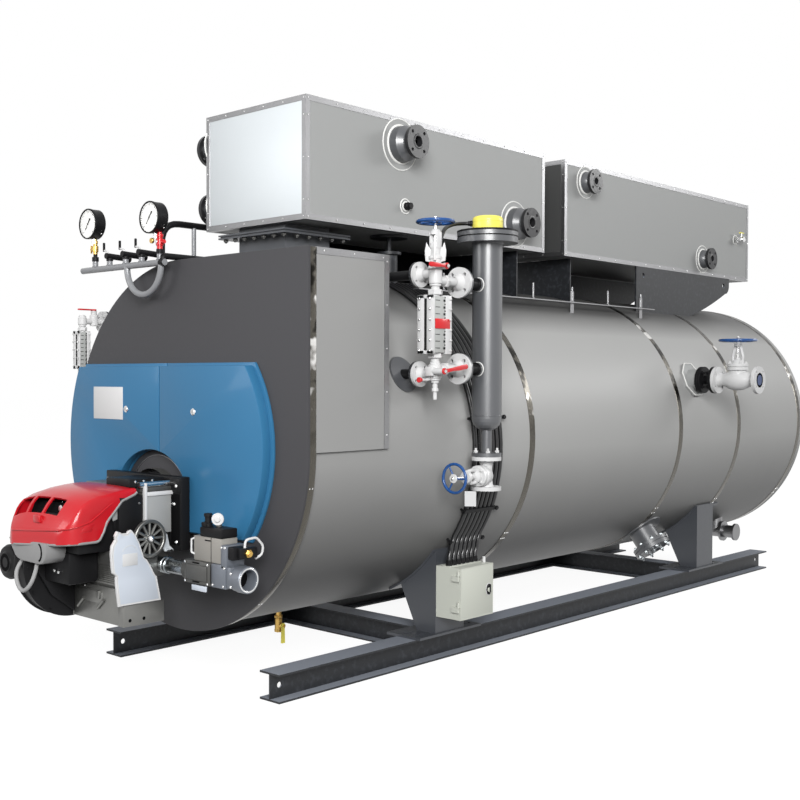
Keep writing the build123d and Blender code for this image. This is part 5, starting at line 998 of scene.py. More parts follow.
class BOILER_OT_burner_hood(BoilerOperator):
    """Red hood: a lofted shell with three air openings, a crease line and a grey lip round its hem."""

    bl_idname = "boiler.burner_hood"
    bl_label = "Burner Hood"

    # Lines of the crest and of the hem in (y, z), from the front to the back
    crest = ((-0.695, 0.69), (-0.694, 0.715), (-0.692, 0.738), (-0.682, 0.762), (-0.671, 0.783),
            (-0.655, 0.808), (-0.632, 0.838), (-0.614, 0.858), (-0.598, 0.872), (-0.552, 0.893),
            (-0.49, 0.907), (-0.42, 0.916), (-0.35, 0.914), (-0.3, 0.91))
    hem = ((-0.695, 0.69), (-0.5, 0.69), (-0.47, 0.73), (-0.45, 0.771), (-0.409, 0.814), (-0.373, 0.855),
           (-0.306, 0.878), (-0.296, 0.888))
    half_width = 0.222
    corner = 0.085
    wall = 0.008
    # How far the front's corners are drawn back and let down
    swing = 0.05
    droop = 0.03
    # Places across the top in x; the openings lie between some of them, in some rows of the crest
    columns = (-0.207, -0.16, -0.113, -0.098, -0.048, 0.002, 0.017, 0.066, 0.116, 0.162, 0.207)
    openings = ((0, 2), (3, 5), (6, 8))
    opening_rows = (5, 8)

    def height_at(self, line, y):
        for (y0, z0), (y1, z1) in zip(line, line[1:]):
            if y <= y1:
                return z0 + (z1 - z0) * max(0.0, (y - y0) / (y1 - y0))
        return line[-1][1]

    def half_at(self, y):
        """Half width of the hood, drawn in round its front corners."""
        depth = self.corner - (y - self.crest[0][0])
        if depth <= 0:
            return self.half_width
        return self.half_width - self.corner + sqrt(max(0.0, self.corner ** 2 - depth ** 2))

    def swung(self, point, middle_x):
        """Front of the hood drawn back towards +X and let down towards -X."""
        x, y, z = point
        share = min(1.0, max(0.0, (-0.45 - y) / 0.245))
        across = (x - middle_x) / (2 * self.half_width) + 0.5
        low = min(1.0, max(0.0, (0.82 - z) / 0.13))
        return Vector((x, y + self.swing * share * across, z - self.droop * share * (1 - across) * low))

    def section(self, y, z, middle_x):
        """Points across the hood at one place of its crest, from the left hem to the right one."""
        half = self.half_at(y)
        foot = min(self.height_at(self.hem, y), z)
        shoulder = min(0.085, (z - foot) * 0.75)
        share = half / self.half_width
        top = [Vector((middle_x + x * share, y, z - 0.35 * shoulder * (abs(x) / self.half_width) ** 3))
               for x in self.columns]
        side = []
        for step in range(1, 7):
            turn = step / 6 * pi / 2
            out = self.columns[-1] * share + (half - self.columns[-1] * share) * sin(turn)
            side.append((out, top[-1].z - (shoulder - 0.3 * shoulder) * (1 - cos(turn))))
        last = side[-1][1]
        side += [(half, last + (foot - last) * step / 4) for step in range(1, 5)]
        right = [Vector((middle_x + x, y, z_side)) for x, z_side in side]
        left = [Vector((middle_x - x, y, z_side)) for x, z_side in reversed(side)]
        return left + top + right

    def shell(self, middle_x):
        rings = [self.section(y, z, middle_x) for y, z in self.crest]
        start = 10  # points of the left side before the first column
        faces = []
        width = len(rings[0])
        for row in range(len(rings) - 1):
            cut = self.opening_rows[0] <= row < self.opening_rows[1]
            for i in range(width - 1):
                if cut and any(low <= i - start < high for low, high in self.openings):
                    continue
                a = row * width + i
                faces.append([a, a + 1, a + 1 + width, a + width])
        return [self.swung(p, middle_x) for ring in rings for p in ring], faces

    def build(self):
        middle_x = middle("burner_hood").x
        points, faces = self.shell(middle_x)
        solid = bmesh.new()
        verts = [solid.verts.new(p) for p in points]
        for face in faces:
            solid.faces.new([verts[i] for i in face])
        bmesh.ops.remove_doubles(solid, verts=solid.verts, dist=0.0004)
        bmesh.ops.recalc_face_normals(solid, faces=solid.faces)
        bmesh.ops.solidify(solid, geom=solid.faces[:], thickness=self.wall)
        hood = Shape("hood_shell", "red")
        hood.keep_bmesh(solid)
        # Crease line round the front and up the +X side, and the plain raised place below the openings
        x = middle_x + self.half_width
        front = -0.6935
        crease = [(middle_x - 0.2, -0.652, 0.738), (middle_x - 0.155, front, 0.741), (middle_x, front, 0.744),
                (middle_x + 0.155, front, 0.75), (middle_x + 0.205, -0.668, 0.756), (x, -0.627, 0.763),
                (x, -0.555, 0.778), (x, -0.496, 0.808), (x - 0.001, -0.441, 0.838),
                (x - 0.008, -0.385, 0.868)]
        hood.tube([self.swung(p, middle_x) for p in crease], 0.0035, 0.03, 10)
        hood.block((middle_x - 0.022, -0.66, 0.768), (middle_x + 0.028, -0.64, 0.8), 0.004)
        hood.prism([(-0.585, 0.735), (-0.53, 0.738), (-0.512, 0.77), (-0.56, 0.764)],
                   side_plane(x - 0.004), 0.006, 0.002)
        hood.done(replaces=("burner_hood",), sharp=50)
        lip = Shape("hood_lip", "cowl")
        edge_x = self.half_width - 0.003
        run = [(middle_x - edge_x, y, z) for y, z in reversed(self.hem[1:])]
        run += [(middle_x - edge_x, -0.612, 0.69), (middle_x - 0.195, -0.664, 0.69),
                (middle_x - 0.14, -0.6895, 0.69)]
        run += [(middle_x + 0.14, -0.6895, 0.69), (middle_x + 0.195, -0.664, 0.69),
                (middle_x + edge_x, -0.612, 0.69)]
        run += [(middle_x + edge_x, y, z) for y, z in self.hem[1:]]
        lip.tube([self.swung(p, middle_x) for p in run], 0.0065, 0.03, 12)
        lip.done()
        # Painted shade: a dark sheet inside the hood fills the view through its openings; a bright stud goes
        # with it.
        dark = Shape("hood_inner_shade", "dark")
        dark.prism([(-0.59, 0.74), (-0.575, 0.74), (-0.53, 0.845), (-0.545, 0.845)],
                   side_plane(middle_x - 0.19), 0.38)
        dark.use("chrome").steps((middle_x + 0.075, -0.57, 0.826), FRONT, (0.016, 0.016), sides=20)
        dark.done()


class BOILER_OT_burner_body(BoilerOperator):
    """Burner under the hood: cowl, fan scroll, motor, air box, panelled housing and the cast control disc."""

    bl_idname = "boiler.burner_body"
    bl_label = "Burner Body"

    def cowl_and_fan(self):
        cowl = Shape("intake_cowl", "cowl")
        outline = [(-0.345, 0.688), (-0.322, 0.65), (-0.297, 0.618), (-0.274, 0.604), (-0.237, 0.596),
                   (-0.09, 0.594), (-0.065, 0.602), (-0.048, 0.622), (-0.04, 0.65), (-0.04, 0.688)]
        cowl.prism(outline, front_plane(-0.572), 0.1, 0.006)
        # Painted shade: a thin dark crescent stands for the shade inside the cowl's opening.
        cowl.use("dark").prism(arc_points((-0.098, 0.645), (0.03, 0.04), -80, 80, 10)
                + arc_points((-0.102, 0.645), (0.024, 0.034), 80, -80, 10), front_plane(-0.6725), 0.001)
        cowl.done()
        cord("drain_hose", "hose", [(-0.27, -0.64, 0.6), (-0.285, -0.67, 0.56), (-0.262, -0.682, 0.5),
                                    (-0.215, -0.682, 0.462), (-0.165, -0.676, 0.49), (-0.15, -0.655, 0.55),
                                    (-0.15, -0.645, 0.6)], 0.009)
        low, high = span("burner_fan")
        centre = middle("burner_fan")
        radius = (high.z - low.z) / 2
        fan = Shape("fan_scroll", "black")
        width = high.x - low.x
        rim = [(0.0, 0.0), (radius - 0.03, 0.0), (radius - 0.02, 0.004), (radius, 0.006), (radius, 0.012),
               (radius - 0.008, 0.016), (radius - 0.008, width - 0.016), (radius, width - 0.012),
               (radius, width - 0.006), (radius - 0.03, width), (0.0, width)]
        fan.turned(rim, (low.x, centre.y, centre.z), RIGHT, 90)
        fan.nuts((high.x, centre.y, centre.z), RIGHT, radius - 0.014, 12, 0.005, 0)
        for x, z in ((-0.118, 0.556), (-0.086, 0.552)):
            fan.use("chrome").steps((x, -0.578, z), FRONT, (0.007, 0.008), sides=12)
        fan.use("black").block((-0.232, -0.575, 0.5), (-0.02, -0.425, 0.64), 0.012)
        fan.prism([(-0.625, 0.64), (-0.6, 0.53), (-0.54, 0.43), (-0.425, 0.345), (-0.425, 0.64)],
                  side_plane(-0.228), 0.02, 0.004)
        fan.done(replaces=("burner_fan",))
        low, high = span("burner_motor")
        centre = middle("burner_motor")
        radius = (high.z - low.z) / 2
        motor = Shape("fan_motor", "black")
        profile = [(0.0, 0.0), (radius * 0.55, 0.0), (radius * 0.62, 0.006), (radius * 0.9, 0.01),
                (radius, 0.024)]
        start = 0.04
        while start < high.y - low.y - 0.02:
            profile += [(radius, start), (radius * 0.91, start + 0.002), (radius * 0.91, start + 0.008),
                        (radius, start + 0.01)]
            start += 0.014
        profile += [(radius, high.y - low.y), (0.0, high.y - low.y)]
        motor.turned(profile, (centre.x, low.y, centre.z), BACK, 48)
        motor.use("dark").washer((centre.x, low.y - 0.001, centre.z), BACK, radius * 0.5, radius * 0.3, 0.002)
        motor.done(replaces=("burner_motor",))

    def air_box(self):
        low, high = span("burner_air_box")
        front = -0.42
        left, right = low.x, 0.123
        box = Shape("air_box_casting", "casting")
        box.block((left, front, low.z), (right, high.y, 0.482), 0.003)
        box.block((left + 0.004, front + 0.004, 0.492), (right - 0.004, high.y, 0.575), 0.003)
        box.use("iron").block((left + 0.008, front + 0.01, 0.48), (right - 0.006, high.y, high.z), 0.002)
        box.use("casting")
        for step in range(9):
            z = 0.5 + step * 0.0085
            box.block((left + 0.03, front - 0.0005, z), (right - 0.02, front + 0.006, z + 0.003), 0.001)
        box.use("iron").block((left + 0.002, front + 0.001, 0.575), (right - 0.01, front + 0.01, high.z),
                0.002)
        box.use("casting").block((left, front - 0.003, low.z), (left + 0.008, front + 0.01, high.z), 0.002)
        # Embossed door with two latch bars and a catch
        box.block((-0.196, front - 0.003, 0.404), (0.004, front + 0.004, 0.456), 0.002)
        for (x0, z0), (x1, z1) in (((-0.186, 0.372), (-0.138, 0.414)), ((-0.032, 0.382), (0.016, 0.424))):
            box.tube([(x0, front - 0.006, z0), (x1, front - 0.006, z1)], 0.007, sides=10)
        box.block((-0.034, front - 0.01, 0.424), (-0.012, front, 0.462), 0.003)
        box.use("chrome").steps((-0.136, front, 0.47), FRONT, (0.005, 0.003), sides=12)
        ledge_top = 0.416
        box.use("casting").block((right, low.y, low.z), (high.x, high.y, ledge_top), 0.002)
        box.use("dark")
        for y in (-0.392, -0.32):
            box.steps((high.x - 0.001, y, low.z + 0.026), RIGHT, (0.008, 0.0016), sides=16)
        box.done(replaces=("burner_air_box",))

    def cover(self):
        low, high = span("burner_cover")
        foot = low.z
        outline = [(-0.446, 0.0), (-0.227, 0.0), (-0.25, 0.107), (-0.258, 0.112), (-0.285, 0.16),
                (-0.304, 0.187), (-0.318, 0.196), (-0.344, 0.267), (-0.368, 0.306), (-0.382, 0.322),
                (-0.395, 0.318), (-0.402, 0.31), (-0.434, 0.31), (-0.44, 0.318), (-0.454, 0.322),
                (-0.464, 0.306), (-0.462, 0.287), (-0.48, 0.262), (-0.484, 0.227), (-0.48, 0.17),
                (-0.476, 0.147), (-0.458, 0.132), (-0.46, 0.107)]
        plane = side_plane(0, 0, foot)
        plate = Shape("side_cover", "pale")
        plate.prism(outline, Matrix.Translation((low.x, 0, 0)) @ plane, high.x - low.x - 0.002, 0.004)
        centre = (-0.362, 0.15)
        field = [(centre[0] + (y - centre[0]) * 0.9, centre[1] + (z - centre[1]) * 0.935) for y, z in outline]
        plate.use("field").prism(field, Matrix.Translation((high.x - 0.004, 0, 0)) @ plane, 0.0028, 0.0008)
        rim = [(high.x - 0.0022, y, foot + z) for y, z in outline]
        shrink = [Vector((p[0], (p[1] + 0.362) * 0.965 - 0.362, (p[2] - foot - 0.15) * 0.975 + foot + 0.15))
                for p in rim]
        plate.use("pale").tube(shrink + shrink[:1], 0.0022, sides=8)
        plate.block((high.x - 0.002, -0.428, foot + 0.17), (high.x, -0.352, foot + 0.222), 0.0006)
        arch = arc_points((-0.39, foot + 0.222), (0.04, 0.034), 20, 160, 14)
        plate.tube([(high.x - 0.0015, y, z) for y, z in arch], 0.0015, sides=8)
        plate.done(replaces=("burner_cover",))

    def control_disc(self):
        """Cast disc with windows between its spokes and a bright conical hub."""
        x, y, z = 0.134, -0.269, 0.687
        radius = 0.083
        disc = Shape("control_disc", "casting")
        disc.washer((x - 0.011, y, z), RIGHT, radius, radius * 0.82, 0.022, 0.003)
        disc.steps((x - 0.011, y, z), RIGHT, (radius * 0.34, 0.014), (radius * 0.24, 0.006), sides=28)
        for turn in range(12):
            angle = 2 * pi * turn / 12
            tip = (x, y + radius * 0.86 * cos(angle), z + radius * 0.86 * sin(angle))
            disc.tube([(x, y, z), tip], 0.0065, sides=8)
        # Painted shade: a dark disc behind the spokes darkens the windows.
        disc.use("dark").steps((x - 0.012, y, z), RIGHT, (radius * 0.84, 0.003))
        disc.use("chrome").turned([(0.0, 0.0), (0.02, 0.0), (0.02, 0.004), (0.01, 0.02), (0.004, 0.024),
                (0.0, 0.024)], (x + 0.004, y, z), RIGHT, 24)
        disc.use("black").tube([(0.05, y, z), (x - 0.01, y, z)], 0.014)
        disc.done()

    def housing(self):
        body = Shape("burner_housing_panels", "casting")
        body.block((-0.37, -0.262, 0.706), (0.076, -0.112, 0.88), 0.004)
        body.block((-0.37, -0.262, 0.882), (0.06, -0.112, 0.905), 0.003)
        body.blocks(("casting", (-0.152, -0.213, 0.502), (0.063, -0.112, 0.706), 0.006),
                ("panel", (0.076, -0.25, 0.698), (0.09, -0.118, 0.866), 0.003),
                ("pale", (0.074, -0.262, 0.698), (0.094, -0.25, 0.925), 0.002),
                ("pale", (0.072, -0.25, 0.866), (0.096, -0.112, 0.884), 0.003),
                ("iron", (0.066, -0.25, 0.886), (0.088, -0.112, 0.904), 0.003))
        body.use("chrome").tube([(0.078, -0.285, 0.917), (0.078, -0.112, 0.917)], 0.0125, sides=24)
        body.blocks(("black", (-0.232, -0.57, 0.64), (0.05, -0.112, 0.8), 0.004),
                ("black", (-0.06, -0.39, 0.7), (0.082, -0.264, 0.872), 0.005),
                ("black", (-0.348, -0.402, 0.73), (0.062, -0.262, 0.875), 0.004),
                ("black", (-0.12, -0.32, 0.906), (0.06, -0.13, 0.942), 0.005))
        body.use("chrome")
        body.screws((0.06, -0.29, 0.93), (0.06, -0.2, 0.93), RIGHT, 0.045, 0.007)
        body.screws((0.082, -0.285, 0.838), (0.082, -0.285, 0.838), RIGHT, 1.0, 0.006)
        body.use("panel").prism([(-0.446, 0.85), (-0.378, 0.872), (-0.372, 0.782), (-0.41, 0.77)],
                                side_plane(0.064), 0.006, 0.001)
        # Bright bracket with a hole and its handle, beside the cast disc
        body.use("front_sheet").pierced([(-0.205, 0.705), (-0.18, 0.712), (-0.15, 0.69), (-0.138, 0.64),
                (-0.118, 0.622), (-0.118, 0.612), (-0.165, 0.616), (-0.19, 0.66)],
                [circle(0.01, 14, (-0.172, 0.676))], side_plane(0.1), 0.003)
        body.use("chrome").tube([(0.085, -0.15, 0.622), (0.135, -0.15, 0.622)], 0.007, sides=12)
        body.done(replaces=("burner_housing",))
        flange = Shape("mount_flange", "plate")
        flange.steps((-0.14, 0.0, 0.8), FRONT, (0.232, 0.014), sides=72)
        flange.use("trim").bead((-0.14, -0.014, 0.8), FRONT, 0.226, 0.0022, 72)
        flange.use("iron").turned([(0.165, 0.0), (0.165, 0.062)], (-0.14, 0.0, 0.8), FRONT, 60)
        flange.blocks(("black", (-0.43, -0.11, 0.615), (0.15, -0.06, 0.944), 0.004),
                ("dark", (0.08, -0.112, 0.64), (0.14, -0.109, 0.868), 0.001),
                ("black", (0.07, -0.118, 0.872), (0.148, -0.058, 0.94), 0.01))
        flange.use("chrome")
        for x, z in ((0.124, 0.905), (0.11, 0.824), (0.126, 0.655), (-0.405, 0.655), (-0.405, 0.905)):
            flange.nut((x, -0.111, z), FRONT, 0.009, 0.6)
        flange.tube([(0.085, -0.117, 0.822), (0.112, -0.117, 0.828)], 0.003, sides=8)
        flange.done(replaces=("burner_flange",))

    def build(self):
        self.cowl_and_fan()
        self.air_box()
        self.cover()
        self.control_disc()
        self.housing()


class BOILER_OT_gas_train(BoilerOperator):
    """Gas pipe and the valve block with its coil, plugs, screws and threaded port."""

    bl_idname = "boiler.gas_train"
    bl_label = "Gas Train"

    def build(self):
        y, z = -0.18, 0.562
        pipe = Shape("gas_pipe_union", "zinc")
        pipe.tube([(0.063, y, z), (0.315, y, z)], 0.032, sides=36)
        pipe.steps((0.12, y, z), RIGHT, (0.037, 0.02), (0.0335, 0.008), (0.037, 0.016), edge=0.002, sides=36)
        pipe.use("iron").steps((0.288, y, z), RIGHT, (0.043, 0.028), (0.038, 0.03), edge=0.003, sides=8)
        pipe.done(replaces=("gas_pipe",))
        block = Shape("gas_valve", "iron")
        front = y - 0.058
        block.block((0.335, front, 0.52), (0.506, y + 0.058, 0.618), 0.006)
        block.block((0.35, front - 0.004, 0.536), (0.492, front, 0.602), 0.004)
        block.use("dark")
        for slot_z in (0.527, 0.607):
            block.block((0.395, front - 0.002, slot_z), (0.44, front + 0.002, slot_z + 0.006), 0.001)
        block.use("chrome")
        for x in (0.346, 0.496):
            for screw_z in (0.529, 0.609):
                block.steps((x, front, screw_z), FRONT, (0.0055, 0.004), sides=12)
        block.use("warm").block((0.385, y - 0.044, 0.618), (0.568, y + 0.044, 0.722), 0.004)
        block.use("dark").block((0.462, y - 0.0455, 0.706), (0.498, y - 0.043, 0.711), 0.0005)
        block.block((0.501, y - 0.0455, 0.618), (0.503, y - 0.0435, 0.722), 0.0)
        block.use("pale").tube([(0.39, y - 0.04, 0.712), (0.378, y - 0.05, 0.705), (0.378, y - 0.05, 0.65),
                                (0.39, y - 0.04, 0.643)], 0.004, 0.006, 10)
        block.use("black").block((0.425, y - 0.044, 0.722), (0.568, y + 0.044, 0.762), 0.006)
        block.steps((0.45, y - 0.018, 0.762), UP, (0.02, 0.016), (0.014, 0.026), (0.018, 0.014), sides=20)
        block.block((0.43, y - 0.04, 0.762), (0.462, y - 0.01, 0.782), 0.004)
        block.use("pale").steps((0.5, y - 0.005, 0.797), (0.6, -0.8, 0), (0.026, 0.012), (0.012, 0.008),
                sides=28)
        block.use("iron").steps((0.5, y, 0.762), UP, (0.012, 0.025), sides=16)
        # Second body, its cable plug and the outlet port
        block.use("slate").block((0.506, y - 0.05, 0.518), (0.6, y + 0.05, 0.617), 0.005)
        block.block((0.569, y - 0.05, 0.6), (0.606, y + 0.05, 0.7), 0.005)
        block.block((0.598, y - 0.046, 0.524), (0.628, y + 0.046, 0.612), 0.006)
        block.use("dark").block((0.506, y - 0.0515, 0.53), (0.508, y - 0.049, 0.61), 0.0)
        block.use("chrome")
        for x, screw_z in ((0.52, 0.53), (0.588, 0.53), (0.594, 0.606), (0.578, 0.69), (0.597, 0.69)):
            block.steps((x, y - 0.05, screw_z), FRONT, (0.0055, 0.004), sides=12)
        block.use("black").block((0.562, y - 0.04, 0.64), (0.64, y + 0.03, 0.694), 0.005)
        block.block((0.64, y - 0.02, 0.646), (0.664, y + 0.07, 0.69), 0.004)
        block.use("brass").steps((0.664, y + 0.015, 0.668), RIGHT, (0.018, 0.012), (0.013, 0.008), edge=0.001,
                sides=6)
        block.use("pale").tube([(0.652, y + 0.01, 0.69), (0.652, y + 0.014, 0.722), (0.656, y + 0.07, 0.728),
                                (0.66, y + 0.104, 0.69), (0.656, y + 0.1, 0.652), (0.648, y + 0.07, 0.64)],
                               0.0055, 0.03, 12)
        bore = [(0.04, 0.0), (0.052, 0.0), (0.052, 0.022), (0.056, 0.026), (0.056, 0.066), (0.053, 0.069),
                (0.043, 0.069), (0.04, 0.064), (0.04, 0.0)]
        block.use("slate").turned(bore[:-1], (0.621, y, z), RIGHT, 48, closed=True)
        # Painted shade: a dark disc inside the port's bore.
        block.use("dark").steps((0.621, y, z), RIGHT, (0.0405, 0.012))
        block.use("chrome").bead((0.686, y, z), RIGHT, 0.048, 0.005, 48)
        for spot in ((0.64, y - 0.0525, 0.59), (0.64, y - 0.0525, 0.535)):
            block.steps(spot, FRONT, (0.006, 0.005), sides=12)
        block.use("field").block((0.392, front - 0.003, 0.494), (0.488, front + 0.003, 0.517), 0.001)
        block.done(replaces=("gas_valve_block",))


class BOILER_OT_valves(BoilerOperator):
    """Feed and blowdown valves with their flanges, bonnets and yokes, and the feed nozzle on the jacket."""

    bl_idname = "boiler.valves"
    bl_label = "Valves"

    def globe_valve(self, made, start, axis, length, flange, pitch_r, belly, bonnet_axis, bonnet, yoke):
        """A globe valve from one flange face to the other, with its bonnet standing out sideways."""
        start = Vector(start)
        axis = Vector(axis)
        up = Vector(bonnet_axis)
        flange_r, flange_t, bore = flange
        bonnet_r, bonnet_at, bonnet_t = bonnet
        yoke_r, yoke_end = yoke
        middle_at = start + axis * length / 2
        made.flange(start, axis, flange_r, flange_t, bore, pitch_r)
        made.flange(start + axis * (length - flange_t), axis, flange_r, flange_t, bore, pitch_r)
        neck = belly * 0.62
        body = [(bore, 0.0), (neck * 1.12, 0.0), (neck * 1.12, flange_t), (neck, flange_t * 1.6),
                (neck, length * 0.2)]
        for step in range(1, 12):
            turn = pi * step / 12
            body.append((neck + (belly - neck) * sin(turn), length * (0.2 + 0.6 * step / 12)))
        body += [(neck, length * 0.8), (neck, length - flange_t * 1.6), (neck * 1.12, length - flange_t)]
        made.turned(body + [(neck * 1.12, length), (bore, length)], start, axis, 40)
        made.turned([(belly * 0.9, 0.0), (belly * 0.86, bonnet_at * 0.8), (bonnet_r * 0.8, bonnet_at)],
                middle_at, up, 40)
        made.steps(middle_at + up * bonnet_at, up, (bonnet_r, bonnet_t * 0.46),
                (bonnet_r * 0.9, bonnet_t * 0.08), (bonnet_r, bonnet_t * 0.46), sides=40)
        top = middle_at + up * (bonnet_at + bonnet_t)
        made.nuts(top, up, bonnet_r * 0.8, 4, bonnet_r * 0.16, 0.7)
        rise = yoke_end - bonnet_at - bonnet_t
        made.turned([(0.0, 0.0), (yoke_r * 1.15, 0.0), (yoke_r * 0.85, rise * 0.14),
                (yoke_r * 0.42, rise * 0.22), (yoke_r * 0.38, rise * 0.3), (0.0, rise * 0.3)], top, up, 28)
        for side in (-1, 1):
            foot = top + axis * side * yoke_r * 0.85
            knee = foot + up * rise * 0.35 + axis * side * yoke_r * 0.1
            head = top + up * rise * 0.92 + axis * side * yoke_r * 0.42
            made.tube([foot, knee, head], yoke_r * 0.24, 0.03, 12)
        made.steps(top + up * rise * 0.84, up, (yoke_r * 0.68, rise * 0.16), sides=28)
        made.use("chrome").tube([top, top + up * rise], yoke_r * 0.2, sides=14)

    def feed_valve(self):
        feed_low, feed_high = span("feed_valve")
        y, z = FEED_AT
        valve = Shape("feed_globe_valve", "white")
        self.globe_valve(valve, (feed_low.x, y, z), RIGHT, feed_high.x - feed_low.x,
                (FLANGE_R, FLANGE_T, 0.032), FLANGE_PITCH_R, 0.064, UP, (0.062, 0.06, 0.04), (0.034, 0.225))
        valve.use("bore_cap").steps((feed_high.x - 0.001, y, z), RIGHT, (0.04, 0.001), sides=36)
        valve.steps((feed_high.x - 0.012, y, z), RIGHT, (0.031, 0.008), sides=36)
        valve.use("chrome").tube([(1.081, y, 1.6), (1.081, y, 1.636)], 0.009, sides=16)
        valve.done(replaces=("feed_valve",))

    def blowdown_valve(self):
        blow_low, blow_high = span("blowdown_valve")
        x, y = COLUMN_AT
        height = blow_high.z - blow_low.z
        stem_z = 0.932
        blow = Shape("blowdown_globe_valve", "white")
        centre = Vector((x, y, stem_z))
        for z in (blow_low.z, blow_high.z - 0.018):
            blow.flange((x, y, z), UP, 0.07, 0.018, 0.018, 0.05)
        blow.turned([(0.018, 0.0), (0.036, 0.0), (0.036, 0.018), (0.03, 0.03), (0.0275, 0.06),
                (0.0275, height - 0.055), (0.03, height - 0.03), (0.036, height - 0.018), (0.036, height),
                (0.018, height)], (x, y, blow_low.z), UP, 40)
        out = Vector(FRONT)
        top = centre + out * 0.072
        blow.turned([(0.0, 0.0), (0.04, 0.0), (0.046, 0.02), (0.05, 0.028), (0.05, 0.046), (0.047, 0.049),
                     (0.05, 0.052), (0.05, 0.068), (0.046, 0.072), (0.0, 0.072)], centre, out, 48)
        blow.nuts(top, out, 0.039, 4, 0.008, 0.8)
        blow.turned([(0.0, 0.0), (0.032, 0.0), (0.03, 0.014), (0.013, 0.022), (0.012, 0.04), (0.0, 0.04)],
                    top, out, 32)
        for side in (-1, 1):
            leg = [centre + out * reach + Vector((0, 0, side * rise))
                   for reach, rise in ((0.078, 0.028), (0.112, 0.03), (0.154, 0.023))]
            blow.tube(leg, 0.009, 0.02, 12)
        blow.steps(centre + out * 0.142, out, (0.03, 0.018), sides=32)
        blow.use("chrome").tube([(x, y - 0.158, stem_z), (x, y - 0.246, stem_z)], 0.008, sides=16)
        blow.use("white").nuts((x, y, blow_high.z), UP, 0.05, 4, 0.009, 0.8)
        hang = Vector((1.0, 0.88, 0.838))
        card = side_frame(hang, (0.8, 0.6, 0.0), (0.27, -0.36, 0.89))
        blow.use("tag").block((-0.026, -0.04, -0.001), (0.026, 0.04, 0.001), 0, card)
        blow.use("cable").tube([(x, y - 0.13, 0.905), hang + Vector((0.0, 0.0, 0.05)),
                hang + Vector((0, 0, 0.034))], 0.0015, 0.01, 6)
        blow.done(replaces=("blowdown_valve",))
        hub = Shape("blowdown_hub", "white")
        hub.steps((x, span("blowdown_wheel")[0].y + 0.006, stem_z), FRONT, (0.021, 0.0065), (0.006, 0.004),
                sides=28)
        hub.done("blowdown_wheel")

    def feed_nozzle(self):
        y, z = FEED_AT
        face = 0.835
        nozzle = Shape("feed_water_nozzle", "panel")
        turns = [radians(22.5 + 45 * i) for i in range(8)]
        octagon = [(0.117 * cos(t), 0.117 * sin(t)) for t in turns]
        lean = asin((z - DRUM_Z) / DRUM_R)
        foot = Vector((DRUM_R * cos(lean), y, z))
        inwards = Vector((cos(lean), 0, sin(lean))) * 0.004
        plane = side_frame(foot - inwards, BACK, (-sin(lean), 0, cos(lean)))
        nozzle.prism(octagon, plane, 0.016, 0.002)
        rim = [plane @ Vector((p[0] * 0.985, p[1] * 0.985, 0.0165)) for p in octagon]
        nozzle.use("sealant").tube(rim + rim[:1], sizes().sealant, sides=8)
        nozzle.use("panel").tube([(0.765, y, z), (face, y, z)], 0.066, sides=48)
        nozzle.bead((face, y, z), RIGHT, 0.068, 0.005, 40)
        nozzle.use("black").turned([(0.064, 0.0), (0.06, 0.01), (0.048, 0.022), (0.048, 0.04)], (face, y, z),
                RIGHT, 40)
        nozzle.tube([(face, y, z), (0.925, y, z)], 0.027, sides=32)
        nozzle.steps((0.837, y, z), RIGHT, (FLANGE_R, 0.016), (0.078, 0.002), (FLANGE_R, 0.014), sides=48)
        nozzle.nuts((0.869, y, z), RIGHT, FLANGE_PITCH_R, 4, sizes().bolt, 0.8)
        nozzle.nuts((0.921, y, z), LEFT, FLANGE_PITCH_R, 4, sizes().bolt, 0.6)
        nozzle.steps((0.921, y, z), RIGHT, (FLANGE_R, 0.02), sides=48)
        nozzle.done(replaces=("feed_nozzle",))

    def build(self):
        self.feed_valve()
        self.blowdown_valve()
        self.feed_nozzle()


